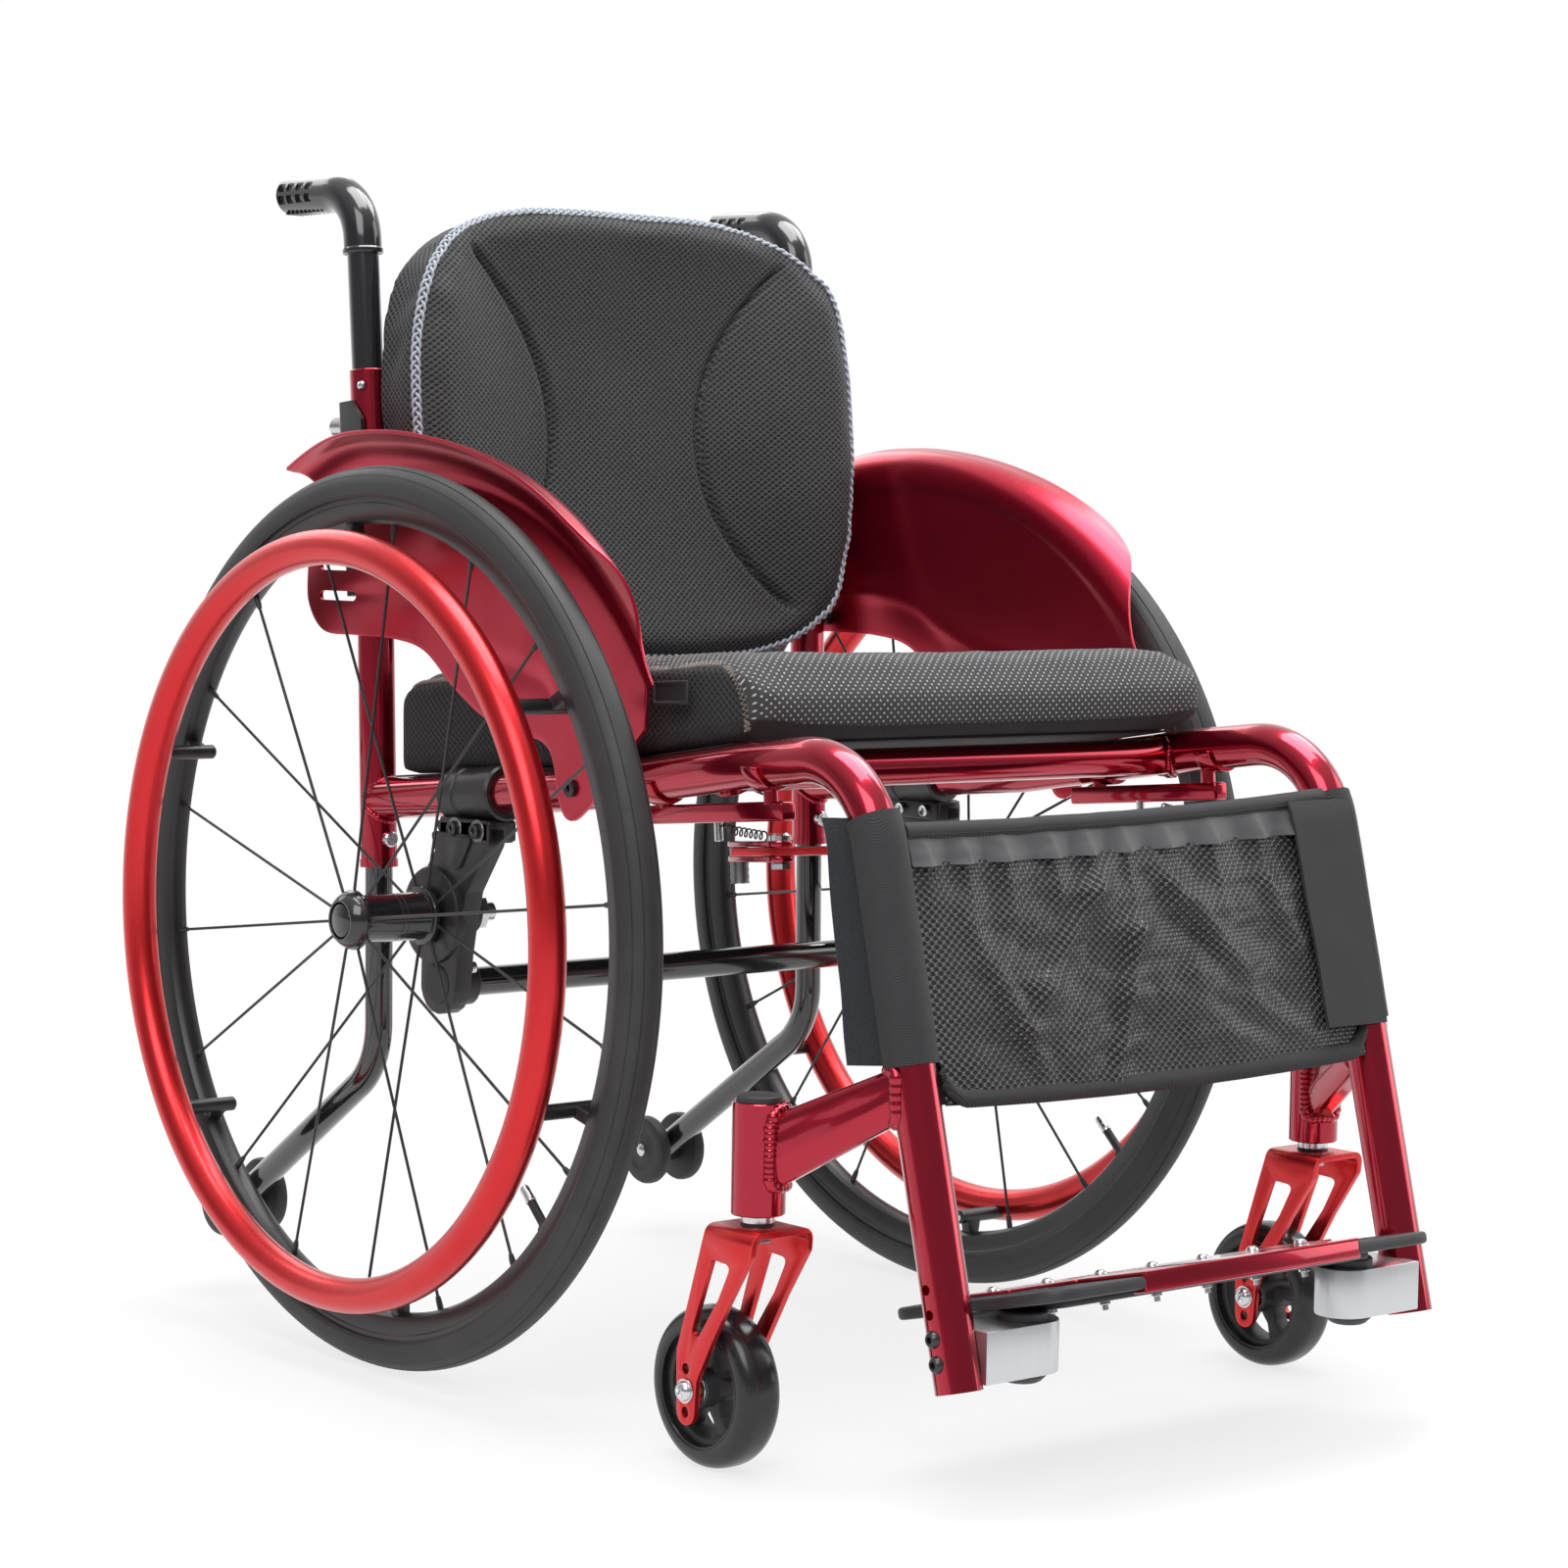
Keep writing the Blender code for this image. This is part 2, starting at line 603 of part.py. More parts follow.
def build_axle_plates(root):
    clamp_z = rail_z(CLAMP_CENTRE_Y)
    front, rear = CLAMP_CENTRE_Y - CLAMP_LENGTH / 2, CLAMP_CENTRE_Y + CLAMP_LENGTH / 2
    hip = RECEIVER_RADIUS + 0.0015
    outline = (
        [(front, clamp_z - 0.0145), (rear + 0.0060, clamp_z - 0.0185), (rear - 0.0020, clamp_z - 0.0300)]
        + [(hip - 0.0030, WHEEL_RADIUS + 0.0290), (hip, WHEEL_RADIUS + 0.0150), (hip, WHEEL_RADIUS - 0.0150)]
        + circle((CAMBER_Y, CAMBER_Z), LOBE_RADIUS, 7, -10.0, -160.0)
        + [(-0.0275, WHEEL_RADIUS - 0.0250), (-0.0320, WHEEL_RADIUS - 0.0040)]
        + [(-0.0380, WHEEL_RADIUS + 0.0180), (front, clamp_z - 0.0320)]
    )
    plate = moved(
        slab(outline, PLATE_OUTER - PLATE_INNER), side_plane((PLATE_OUTER + PLATE_INNER) / 2)
    )
    low, high = RAIL_MID, RAIL_REAR
    along = (Vector((0, *high)) - Vector((0, *low))).normalized()
    middle = Vector((RAIL_X, CLAMP_CENTRE_Y, clamp_z))
    half = along * CLAMP_LENGTH / 2
    clamp = rod(middle - half, middle + half, TUBE_RADIUS + CLAMP_WALL, 12)
    lug = box((0.0230, CLAMP_LENGTH, 0.0130), (RAIL_X + 0.0040, CLAMP_CENTRE_Y, clamp_z - TUBE_RADIUS - 0.0093))
    boss = rod((PLATE_OUTER - 0.001, 0, WHEEL_RADIUS), (BOSS_OUTER, 0, WHEEL_RADIUS), BOSS_RADIUS, 16)
    receiver = rod(
        (RECEIVER_INNER, 0, WHEEL_RADIUS), (PLATE_OUTER - 0.002, 0, WHEEL_RADIUS), RECEIVER_RADIUS, 10
    )
    socket = rod(
        (PLATE_INNER - 0.012, CAMBER_Y, CAMBER_Z), (PLATE_INNER + 0.001, CAMBER_Y, CAMBER_Z), CAMBER_RADIUS + 0.0052, 12
    )
    bolts = [
        rod((PLATE_OUTER - 0.002, y, clamp_z - 0.0230), (PLATE_OUTER + 0.003, y, clamp_z - 0.0230), 0.0060, 8)
        for y in (CLAMP_CENTRE_Y - 0.016, CLAMP_CENTRE_Y + 0.010)
    ]
    plate = carved(
        fused(plate, clamp, lug, boss, receiver, socket, *bolts),
        rod((RAIL_X, *low), (RAIL_X, *high), TUBE_RADIUS + 2 * GAP, 14),
        rod((AXLE_INNER, 0, WHEEL_RADIUS), (WHEEL_X, 0, WHEEL_RADIUS), AXLE_RADIUS + GAP, 10),
        rod((AXLE_INNER, CAMBER_Y, CAMBER_Z), (CAMBER_HALF + GAP, CAMBER_Y, CAMBER_Z), CAMBER_RADIUS + GAP, 12),
    )
    camber = rod((-CAMBER_HALF, CAMBER_Y, CAMBER_Z), (CAMBER_HALF, CAMBER_Y, CAMBER_Z), CAMBER_RADIUS, 12)
    put("camber_tube", camber, GLOSS_BLACK, root)
    outer = WHEEL_X + HUB_OUTER - BUTTON_LENGTH - BUTTON_TRAVEL - 0.001
    shaft = rod((AXLE_INNER, 0, WHEEL_RADIUS), (outer, 0, WHEEL_RADIUS), AXLE_RADIUS, 10)
    nut = rod(
        (RECEIVER_INNER - 0.0085, 0, WHEEL_RADIUS),
        (RECEIVER_INNER - GAP, 0, WHEEL_RADIUS),
        AXLE_RADIUS + 0.0052,
        6,
    )
    shaft = fused(shaft, nut)
    for side, word in SIDES:
        put("axle_plate_" + word, on_side(plate, side), BLACK_METAL, root)
        put("quick_release_axle_" + word, on_side(shaft, side), STEEL, root)


def fender_point(u, v, lower):
    """A point of the panel: u runs from rear to front, v from the lower edge to the flange's lip."""
    angle = math.radians(FENDER_REAR + (FENDER_FRONT - FENDER_REAR) * u)
    ray = Vector((math.cos(angle), math.sin(angle)))
    crease = Vector((0, WHEEL_RADIUS)) + ray * CREASE_RADIUS
    if v <= 1.0:
        flat = Vector(lower).lerp(crease, v)
        return (FENDER_X + FENDER_SHEET / 2, flat.x, flat.y)
    curl = (v - 1.0) * math.pi / 2
    front = max(0.0, (u - 0.9) / 0.1)
    radius = CREASE_RADIUS + (FENDER_RADIUS - CREASE_RADIUS) * math.sin(curl) * (1 - 0.35 * front)
    edge = Vector((0, WHEEL_RADIUS)) + ray * radius
    reach = FENDER_REACH * (1 - math.cos(curl)) * (1 - 0.25 * front)
    return (FENDER_X + FENDER_SHEET / 2 + reach, edge.x, edge.y)


def fender_fixings():
    """A spacer and a screw to the rail, and the same to the upright."""
    screw_z = 1.6533 * WHEEL_RADIUS
    places = (
        (RAIL_X + TUBE_RADIUS + GAP, FENDER_BOLT_Y, rail_z(FENDER_BOLT_Y)),
        (RAIL_X + UPRIGHT_RADIUS + GAP, upright_y(screw_z), screw_z),
    )
    face = FENDER_X + FENDER_SHEET
    return [rod((x, y, z), (face + 0.0030, y, z), 0.0060, 8) for x, y, z in places]


def build_fenders(root):
    lower_edge = (
        (0.5000, 1.7700), (0.4967, 1.6867), (0.4300, 1.6233), (0.2933, 1.6167), (0.1433, 1.6133),
        (0.0167, 1.5900), (-0.1000, 1.5133), (-0.2267, 1.4500), (-0.3533, 1.4267), (-0.4600, 1.3967),
        (-0.5000, 1.2833), (-0.5367, 1.2500), (-0.5867, 1.2700), (-0.6867, 1.3600), (-0.8267, 1.4333),
    )
    lower = [(y * WHEEL_RADIUS, z * WHEEL_RADIUS) for y, z in lower_edge]
    rows = (0.0, 0.20, 0.28, 0.36, 1.0, 1.5, 2.0)
    bead = {2: -0.0024}
    bm = bmesh.new()
    bmesh.ops.create_grid(bm, x_segments=len(lower) - 1, y_segments=len(rows) - 1, size=0.5)
    for vert in bm.verts:
        column = round((vert.co.x + 0.5) * (len(lower) - 1))
        row = round((vert.co.y + 0.5) * (len(rows) - 1))
        x, y, z = fender_point(column / (len(lower) - 1), rows[row], lower[column])
        ends = 2 <= column <= 9
        vert.co = (x + (bead.get(row, 0.0) if ends else 0.0), y, z)
    mesh = bpy.data.meshes.new("work")
    bm.to_mesh(mesh)
    bm.free()
    obj = bpy.data.objects.new("work", mesh)
    CUTTERS.objects.link(obj)
    shell = obj.modifiers.new("sheet", "SOLIDIFY")
    shell.thickness = FENDER_SHEET
    shell.offset = 0.0
    panel = evaluated(obj)
    slot_y = 0.373 * WHEEL_RADIUS
    brow = WHEEL_RADIUS + math.sqrt(CREASE_RADIUS ** 2 - slot_y ** 2)
    slots = [box((0.02, 0.044, 0.0065), (FENDER_X, slot_y, brow - drop)) for drop in (0.0571, 0.0386)]
    panel = fused(carved(panel, *slots), *fender_fixings())
    for side, word in SIDES:
        put("fender_" + word, on_side(panel, side), SATIN_RED, root)


def build_anti_tip(root):
    top = UPRIGHT_FOOT[1] + TIP_INSERT
    path = rounded(
        [
            (RAIL_X, upright_y(top), top),
            (RAIL_X, upright_y(UPRIGHT_FOOT[1]), UPRIGHT_FOOT[1]),
            (RAIL_X, *TIP_CORNER),
            (RAIL_X, *TIP_AXLE),
        ],
        (0.5, TIP_BEND),
        steps=3,
    )
    knuckle = rod(
        (RAIL_X - 0.0105, *TIP_AXLE), (RAIL_X + 0.0105, *TIP_AXLE), TIP_RADIUS + 0.0015, 12
    )
    bore = rod((RAIL_X - 0.02, *TIP_AXLE), (RAIL_X + 0.02, *TIP_AXLE), TIP_AXLE_RADIUS + RUNNING, 10)
    bar = carved(fused(tube(path, TIP_RADIUS, 3), knuckle), bore)
    profile = (
        (0.0, TIP_WHEEL_WIDTH), (TIP_WHEEL_RADIUS - 0.0025, TIP_WHEEL_WIDTH),
        (TIP_WHEEL_RADIUS, TIP_WHEEL_WIDTH - 0.0030), (TIP_WHEEL_RADIUS, 0.0030),
        (TIP_WHEEL_RADIUS - 0.0025, 0.0), (0.0, 0.0),
    )
    disc = turned(profile, 14, closed=False)
    start = 0.0113
    axle = rod((RAIL_X - start - 0.002, *TIP_AXLE), (RAIL_X + start + 0.002, *TIP_AXLE), TIP_AXLE_RADIUS, 8)
    outer = moved(disc, across((RAIL_X + start, *TIP_AXLE)))
    inner = moved(
        disc, across((RAIL_X - start, *TIP_AXLE)) @ Matrix.Rotation(math.pi, 4, "X")
    )
    pair = fused(axle, outer, inner)
    for side, word in SIDES:
        put("anti_tip_tube_" + word, on_side(bar, side), GLOSS_BLACK, root)
        hub = pivot("anti_tip_axle_" + word, (side * RAIL_X, *TIP_AXLE), root)
        put("anti_tip_wheels_" + word, on_side(pair, side), RUBBER, hub)


# Rear wheels

def ring_place(angle, radius, outboard):
    """A point in the left wheel, by its angle round the axle and its radius."""
    a = math.radians(angle)
    return Vector((outboard, radius * math.cos(a), radius * math.sin(a)))


def facet(radius, angle, steps):
    """How far a turned ring's flat sides lie from its axis in one direction; one flat faces the floor."""
    step = 360.0 / steps
    off = (angle + 90.0) % step
    return radius / math.cos(math.radians(min(off, step - off)))


def build_wheels(root):
    crown = WHEEL_RADIUS - 0.0050
    wall = WHEEL_RADIUS - 0.0145
    seat = RIM_SEAT_RADIUS + GAP
    tyre = turned(
        (
            (WHEEL_RADIUS, 0.0045), (crown, 0.0115), (wall, TYRE_HALF_WIDTH), (seat, RIM_HALF_WIDTH),
            (seat, -RIM_HALF_WIDTH), (wall, -TYRE_HALF_WIDTH), (crown, -0.0115), (WHEEL_RADIUS, -0.0045),
        ),
        WHEEL_STEPS,
    )
    brim = RIM_SEAT_RADIUS - 0.0110
    rim = turned(
        (
            (RIM_SEAT_RADIUS, -RIM_HALF_WIDTH), (RIM_SEAT_RADIUS, RIM_HALF_WIDTH),
            (brim, RIM_HALF_WIDTH - 0.0007), (RIM_INNER_RADIUS, 0.0060),
            (RIM_INNER_RADIUS, -0.0060), (brim, 0.0007 - RIM_HALF_WIDTH),
        ),
        WHEEL_STEPS,
    )
    section = circle((HANDRIM_RADIUS, 0.0), HANDRIM_TUBE / math.cos(math.pi / 8), 8, 22.5)
    grip = turned(section, WHEEL_STEPS)
    under = HANDRIM_RADIUS - HANDRIM_TUBE - GAP
    foot = under - TAB_DEPTH
    tab = slab(
        (
            (-0.0045, RIM_INNER_RADIUS + 0.0030), (0.0045, RIM_INNER_RADIUS + 0.0030), (0.0075, under + 0.0050),
            (0.0130, under), (HANDRIM_OFFSET + 0.0050, under), (HANDRIM_OFFSET + 0.0060, under - 0.0040),
            (HANDRIM_OFFSET + 0.0035, foot), (-0.0045, foot),
        ),
        TAB_WIDTH,
    )
    stand = Matrix(((1, 0, 0, 0), (0, 0, -1, 0), (0, 1, 0, 0), (0, 0, 0, 1)))
    tabs = [
        moved(tab, Matrix.Rotation(math.radians(TAB_FIRST + 360.0 * i / TAB_COUNT - 90.0), 4, "X") @ stand)
        for i in range(TAB_COUNT)
    ]
    mouth = RIM_INNER_RADIUS + 0.0030
    valve = rod(
        ring_place(VALVE_ANGLE, mouth, 0), ring_place(VALVE_ANGLE, mouth - VALVE_LENGTH, 0), VALVE_RADIUS, 6
    )
    spokes = []
    for i in range(SPOKE_COUNT):
        angle = SPOKE_FIRST + 360.0 * i / SPOKE_COUNT
        offset = FLANGE_OUT if i % 2 == 0 else FLANGE_IN
        nipple = facet(RIM_INNER_RADIUS, angle, WHEEL_STEPS) - 2 * GAP
        spokes.append(
            rod(ring_place(angle, HUB_FLANGE - 0.0020, offset), ring_place(angle, nipple, 0.0), SPOKE_RADIUS, 4)
        )
    lip = HUB_OUTER - 0.0004
    pocket = HUB_OUTER - BUTTON_LENGTH - BUTTON_TRAVEL - 0.0010
    half = FLANGE_WIDTH / 2
    hub = turned(
        (
            (AXLE_RADIUS + RUNNING, -HUB_INNER), (HUB_BARREL, -HUB_INNER),
            (HUB_FLANGE, FLANGE_IN - half), (HUB_FLANGE, FLANGE_IN + half), (HUB_BARREL, FLANGE_IN + half + 0.001),
            (HUB_BARREL, FLANGE_OUT - half - 0.001), (HUB_FLANGE, FLANGE_OUT - half),
            (HUB_FLANGE, FLANGE_OUT + half), (HUB_BARREL, FLANGE_OUT + half + 0.001), (BUTTON_RADIUS + 0.0052, lip),
            (BUTTON_RADIUS + GAP, lip), (BUTTON_RADIUS + GAP, pocket), (AXLE_RADIUS + RUNNING, pocket),
        ),
        HUB_STEPS,
    )
    button = turned(
        (
            (0.0, HUB_OUTER - BUTTON_LENGTH), (BUTTON_RADIUS, HUB_OUTER - BUTTON_LENGTH),
            (BUTTON_RADIUS, HUB_OUTER - 0.0012), (BUTTON_RADIUS - 0.0012, HUB_OUTER), (0.0, HUB_OUTER),
        ),
        HUB_STEPS,
        closed=False,
    )
    place = Matrix.Translation((WHEEL_X, 0, WHEEL_RADIUS))
    lay = Matrix.Rotation(math.pi / 2, 4, "Y")
    rim = fused(moved(rim, lay), valve, *tabs)
    hub = fused(moved(hub, lay), *spokes)
    for side, word in SIDES:
        centre = (side * WHEEL_X, 0, WHEEL_RADIUS)
        axle = pivot("wheel_axle_" + word, centre, root)
        put("tyre_" + word, on_side(moved(tyre, place @ lay), side), RUBBER, axle)
        put("rim_" + word, on_side(moved(rim, place), side), BLACK_METAL, axle)
        out = Matrix.Translation((HANDRIM_OFFSET, 0, 0))
        put("handrim_" + word, on_side(moved(grip, place @ out @ lay), side), BRIGHT_RED, axle)
        put("spoked_hub_" + word, on_side(moved(hub, place), side), GLOSS_BLACK, axle)
        press = pivot("wheel_button_pivot_" + word, centre, axle)
        put("wheel_button_" + word, on_side(moved(button, place @ lay), side), GLOSS_BLACK, press)


# Casters

def build_casters(root):
    axle_y = CASTER_Y + CASTER_TRAIL
    axle_z = CASTER_RADIUS
    half = FORK_INNER / 2
    outer = half + FORK_PLATE
    top = CROWN_TOP
    bend = 0.0050
    arch = (
        [(-outer, 0.02)]
        + circle((bend - outer, top - bend), bend, 3, 180.0, -90.0)
        + circle((outer - bend, top - bend), bend, 3, 90.0, -90.0)
        + [(outer, 0.02), (half, 0.02), (half, top - FORK_PLATE), (-half, top - FORK_PLATE), (-half, 0.02)]
    )
    stand = Matrix(((1, 0, 0, CASTER_X), (0, 0, -1, CASTER_Y), (0, 1, 0, 0), (0, 0, 0, 1)))
    arch = moved(slab(arch, 0.1), stand)
    lead, trail = CASTER_Y - 0.0245, CASTER_Y + 0.0215
    blade = (
        [(lead, top + 0.0050), (trail, top + 0.0050), (trail, top - 0.0065), (axle_y + 0.0090, axle_z + 0.0230)]
        + circle((axle_y, axle_z - 0.0125), 0.0083, 5, 0.0, -180.0)
        + [(axle_y - 0.0100, axle_z + 0.0070), (axle_y - 0.0220, axle_z + 0.0290)]
        + [(lead + 0.0220, top - 0.0445), (lead + 0.0020, top - 0.0145)]
    )
    window = [
        (trail - 0.0075, top - 0.0205), (axle_y - 0.0045, axle_z + 0.0360), (axle_y - 0.0115, axle_z + 0.0340),
        (lead + 0.0315, top - 0.0435), (lead + 0.0200, top - 0.0215),
    ]
    holes = [circle((axle_y, axle_z + 0.0135), 0.0034, 6), circle((axle_y, axle_z - 0.0128), 0.0034, 6)]
    axle_hole = circle((axle_y, axle_z), CASTER_AXLE_RADIUS + GAP, 10)
    outline = moved(slab(blade, 0.1, [window, axle_hole, *holes]), side_plane(CASTER_X))
    fork = boolean(arch, [outline], "INTERSECT")
    stem = turned(
        (
            (0.0, HEAD_TOP - 0.0140), (STEM_RADIUS, HEAD_TOP - 0.0140), (STEM_RADIUS, HEAD_BOTTOM - RUNNING),
            (0.0125, HEAD_BOTTOM - RUNNING), (0.0125, top - 0.0010), (0.0090, top - 0.0010),
            (0.0090, top - FORK_PLATE - 0.0060), (0.0, top - FORK_PLATE - 0.0060),
        ),
        10,
        closed=False,
    )
    fork = fused(fork, moved(stem, Matrix.Translation((CASTER_X, CASTER_Y, 0.0))))
    bolt = turned(
        (
            (0.0, outer + 0.0045), (0.0070, outer + 0.0045), (0.0070, outer + GAP), (CASTER_AXLE_RADIUS, outer + GAP),
            (CASTER_AXLE_RADIUS, -outer - GAP), (0.0070, -outer - GAP), (0.0070, -outer - 0.0045),
            (0.0, -outer - 0.0045),
        ),
        10,
        closed=False,
    )
    centre = across((CASTER_X, axle_y, axle_z))
    bolt = moved(bolt, centre)
    edge = CASTER_WIDTH / 2
    seat = CASTER_CORE_RADIUS + GAP
    tyre = turned(
        (
            (CASTER_RADIUS, -0.0070), (CASTER_RADIUS, 0.0070), (CASTER_RADIUS - 0.0060, edge),
            (seat + 0.0020, edge), (seat, edge - 0.0050), (seat, 0.0050 - edge), (seat + 0.0020, -edge),
            (CASTER_RADIUS - 0.0060, -edge),
        ),
        CASTER_STEPS,
    )
    core = slab(
        circle((0, 0), CASTER_CORE_RADIUS, 20, 9.0),
        CORE_THICKNESS,
        [core_window(360.0 * i / CORE_SPOKES) for i in range(CORE_SPOKES)],
    )
    hub = rod((0, 0, -CORE_HUB_LENGTH / 2), (0, 0, CORE_HUB_LENGTH / 2), CORE_HUB_RADIUS, 12)
    bore = rod((0, 0, -CORE_HUB_LENGTH), (0, 0, CORE_HUB_LENGTH), CASTER_AXLE_RADIUS + 2 * RUNNING, 10)
    core = carved(fused(core, hub), bore)
    for side, word in SIDES:
        swivel = pivot("caster_stem_" + word, (side * CASTER_X, CASTER_Y, CROWN_TOP), root)
        put("fork_" + word, on_side(fork, side), BRIGHT_RED, swivel)
        put("caster_axle_" + word, on_side(bolt, side), STEEL, swivel)
        spin = pivot("caster_spin_" + word, (side * CASTER_X, axle_y, axle_z), swivel)
        put("caster_tyre_" + word, on_side(moved(tyre, centre), side), RUBBER, spin)
        put("caster_core_" + word, on_side(moved(core, centre), side), BLACK_METAL, spin)


def core_window(start):
    """One gap between two spokes of the caster's core."""
    spacing = 360.0 / CORE_SPOKES
    inner = circle((0, 0), CORE_HUB_RADIUS + 0.003, 2, start + spacing * 0.28, spacing * 0.44)
    outer = circle((0, 0), CASTER_CORE_RADIUS - 0.005, 3, start + spacing * 0.86, -spacing * 0.72)
    return inner + outer


# Brakes

def build_brakes(root):
    """The lever and the arm share one bolt. Shapes are level here and tilt with the rail on their pivots."""
    bolt = Vector((RAIL_X - BRAKE_INSET, BRAKE_Y, rail_z(BRAKE_Y) - BRAKE_DROP))
    tilt = Matrix.Translation(bolt) @ Matrix.Rotation(BRAKE_TILT, 4, "X")
    top = BRAKE_LEVER / 2 + GAP + BRAKE_PLATE
    bar_low = top + 0.004
    bar = box(BRAKE_BAR, (0, BRAKE_BAR[1] / 2 - 0.010, bar_low + BRAKE_BAR[2] / 2), bevel=0.0015)
    pin = turned(
        (
            (0.0, bar_low + 0.0010), (0.0070, bar_low + 0.0010), (0.0070, top + GAP), (BRAKE_BOLT_RADIUS, top + GAP),
            (BRAKE_BOLT_RADIUS, -top - GAP), (0.0062, -top - GAP), (0.0062, -top - 0.0045), (0.0, -top - 0.0045),
        ),
        8,
        closed=False,
    )
    stop = rod((-0.0035, BRAKE_ARM_LENGTH - 0.002, top + GAP), (-0.0035, BRAKE_ARM_LENGTH - 0.002, bar_low + 0.001),
               0.0028, 6)
    rail_gap = [
        rod((0.002, along, bar_low + BRAKE_BAR[2] - 0.001), (0.002, along, bar_low + BRAKE_BAR[2] + 0.030), 0.0045, 8)
        for along in (0.004, 0.108)
    ]
    base = moved(fused(bar, pin, stop, *rail_gap), tilt)
    base = largest_body(carved(base, rail_line(TUBE_RADIUS + GAP)))
    lever_outline = [
        (-0.0070, 0.040), (0.0, 0.047), (0.0070, 0.040), (0.0078, 0.0), (0.0065, -0.030), (0.0090, -0.066),
        (0.0060, -0.078), (-0.0060, -0.078), (-0.0090, -0.066), (-0.0065, -0.030), (-0.0078, 0.0),
    ]
    bolt_hole = circle((0, 0), BRAKE_BOLT_RADIUS + 2 * RUNNING, 8)
    lever = moved(slab(lever_outline, BRAKE_LEVER, [bolt_hole]), tilt)
    reach = BRAKE_ARM_LENGTH
    link = (
        circle((0, 0), 0.0085, 5, 270.0, -180.0)
        + circle((reach, 0), STUB_RADIUS + 0.0008, 5, 90.0, -180.0)
    )
    turn = Matrix.Rotation(BRAKE_ARM_STOWED, 4, "Z")
    sheet = slab(link, BRAKE_PLATE, [bolt_hole])
    level = BRAKE_LEVER / 2 + GAP + BRAKE_PLATE / 2
    stub = rod((reach, 0, -level - 0.018), (reach, 0, level), STUB_RADIUS, 10)
    arm = fused(
        moved(sheet, Matrix.Translation((0, 0, level))), moved(sheet, Matrix.Translation((0, 0, -level))), stub
    )
    arm = moved(arm, tilt @ turn)
    for side, word in SIDES:
        place = (side * bolt.x, bolt.y, bolt.z)
        put("brake_bar_" + word, on_side(base, side), RED, root)
        lever_pivot = pivot("brake_lever_pivot_" + word, place, root, (BRAKE_TILT, 0, 0))
        put("brake_lever_" + word, on_side(lever, side), BRIGHT_RED, lever_pivot)
        arm_pivot = pivot("brake_arm_pivot_" + word, place, root, (BRAKE_TILT, 0, 0))
        put("brake_arm_" + word, on_side(arm, side), RED, arm_pivot)


# Seat

def sling_top(y):
    return rail_z(y) + TUBE_RADIUS + GAP + SLING_THICKNESS


def build_seat(root):
    stations = [SEAT_REAR, RAIL_MID[0], -0.235, RAIL_FRONT[0], SEAT_FRONT + 0.002]
    lower = [(y, sling_top(y) - SLING_THICKNESS) for y in stations]
    upper = [(y, sling_top(y)) for y in reversed(stations)]
    sheet = moved(slab(lower + upper, 2 * SLING_HALF), side_plane(0.0))
    notch = box((0.0440, CLAMP_LENGTH + 0.0040, 0.0600), (RAIL_X + 0.0020, CLAMP_CENTRE_Y, rail_z(CLAMP_CENTRE_Y)))
    put("seat_sling", carved(sheet, notch, on_side(notch, -1)), SOFT_BLACK, root)
    put("seat_cushion", seat_cushion(), SOFT_BLACK, root, angle=60.0)


def squared(a, b, power):
    """Pulls a point of the unit square towards a rounded square."""
    reach = max(abs(a), abs(b))
    if reach == 0.0:
        return a, b
    length = (abs(a) ** power + abs(b) ** power) ** (1.0 / power)
    return a * reach / length, b * reach / length


def soft_block(cells, shape):
    """A cube cut into cells along each axis, each point of it (from -1 to 1) placed by a formula."""
    bm = bmesh.new()
    bmesh.ops.create_cube(bm, size=2.0)
    for axis, count in enumerate(cells):
        along = [e for e in bm.edges if abs(e.verts[0].co[axis] - e.verts[1].co[axis]) > 1.0]
        bmesh.ops.subdivide_edges(bm, edges=along, cuts=count - 1, use_grid_fill=True)
    for vert in bm.verts:
        vert.co = shape(*vert.co)
    return from_bmesh(bm)


def seat_cushion():
    length = SEAT_REAR - SEAT_FRONT

    def shape(a, b, c):
        side, along = squared(a, b, 14)
        side *= 1.0 - 0.012 * (1 - c * c) * (1 - b ** 4)
        y = (SEAT_REAR + SEAT_FRONT) / 2 - along * length / 2
        low = sling_top(min(SEAT_REAR, max(RAIL_FRONT[0], y))) + GAP
        share = (SEAT_REAR - y) / length
        high = CUSHION_TOP_REAR + (CUSHION_TOP_FRONT - CUSHION_TOP_REAR) * share
        crown = 0.007 * (1 - a ** 4) * (1 - b ** 4)
        edge = max(abs(side), abs(along) * 0.985)
        inset = 0.010 * max(0.0, (edge - 0.90) / 0.10) ** 2
        nose = 0.020 * max(0.0, (along - 0.88) / 0.12) ** 2
        t = (c + 1) / 2
        z = low + (high + crown - low) * t
        z -= (inset + nose) * t
        z += (inset * 0.6 + nose * 0.8) * (1 - t)
        return Vector((side * CUSHION_HALF, y, z))

    return soft_block((10, 10, 3), shape)


# Backrest

def back_frame():
    """The canes' frame: X across, Y forward of the canes, Z up along them from the hinge."""
    up = Vector((0, CANE_LEAN, 1)).normalized()
    forward = Vector((0, -1, CANE_LEAN)).normalized()
    across_back = Vector((1, 0, 0))
    turn = Matrix((across_back, forward, up)).transposed().to_4x4()
    return Matrix.Translation((0, cane_y(HINGE_Z), HINGE_Z)) @ turn


def seam_x(height):
    """How far from the middle the pad's curved side seam runs at a height from -1 to 1."""
    return 0.085 + 0.088 * abs(height) ** 2.2


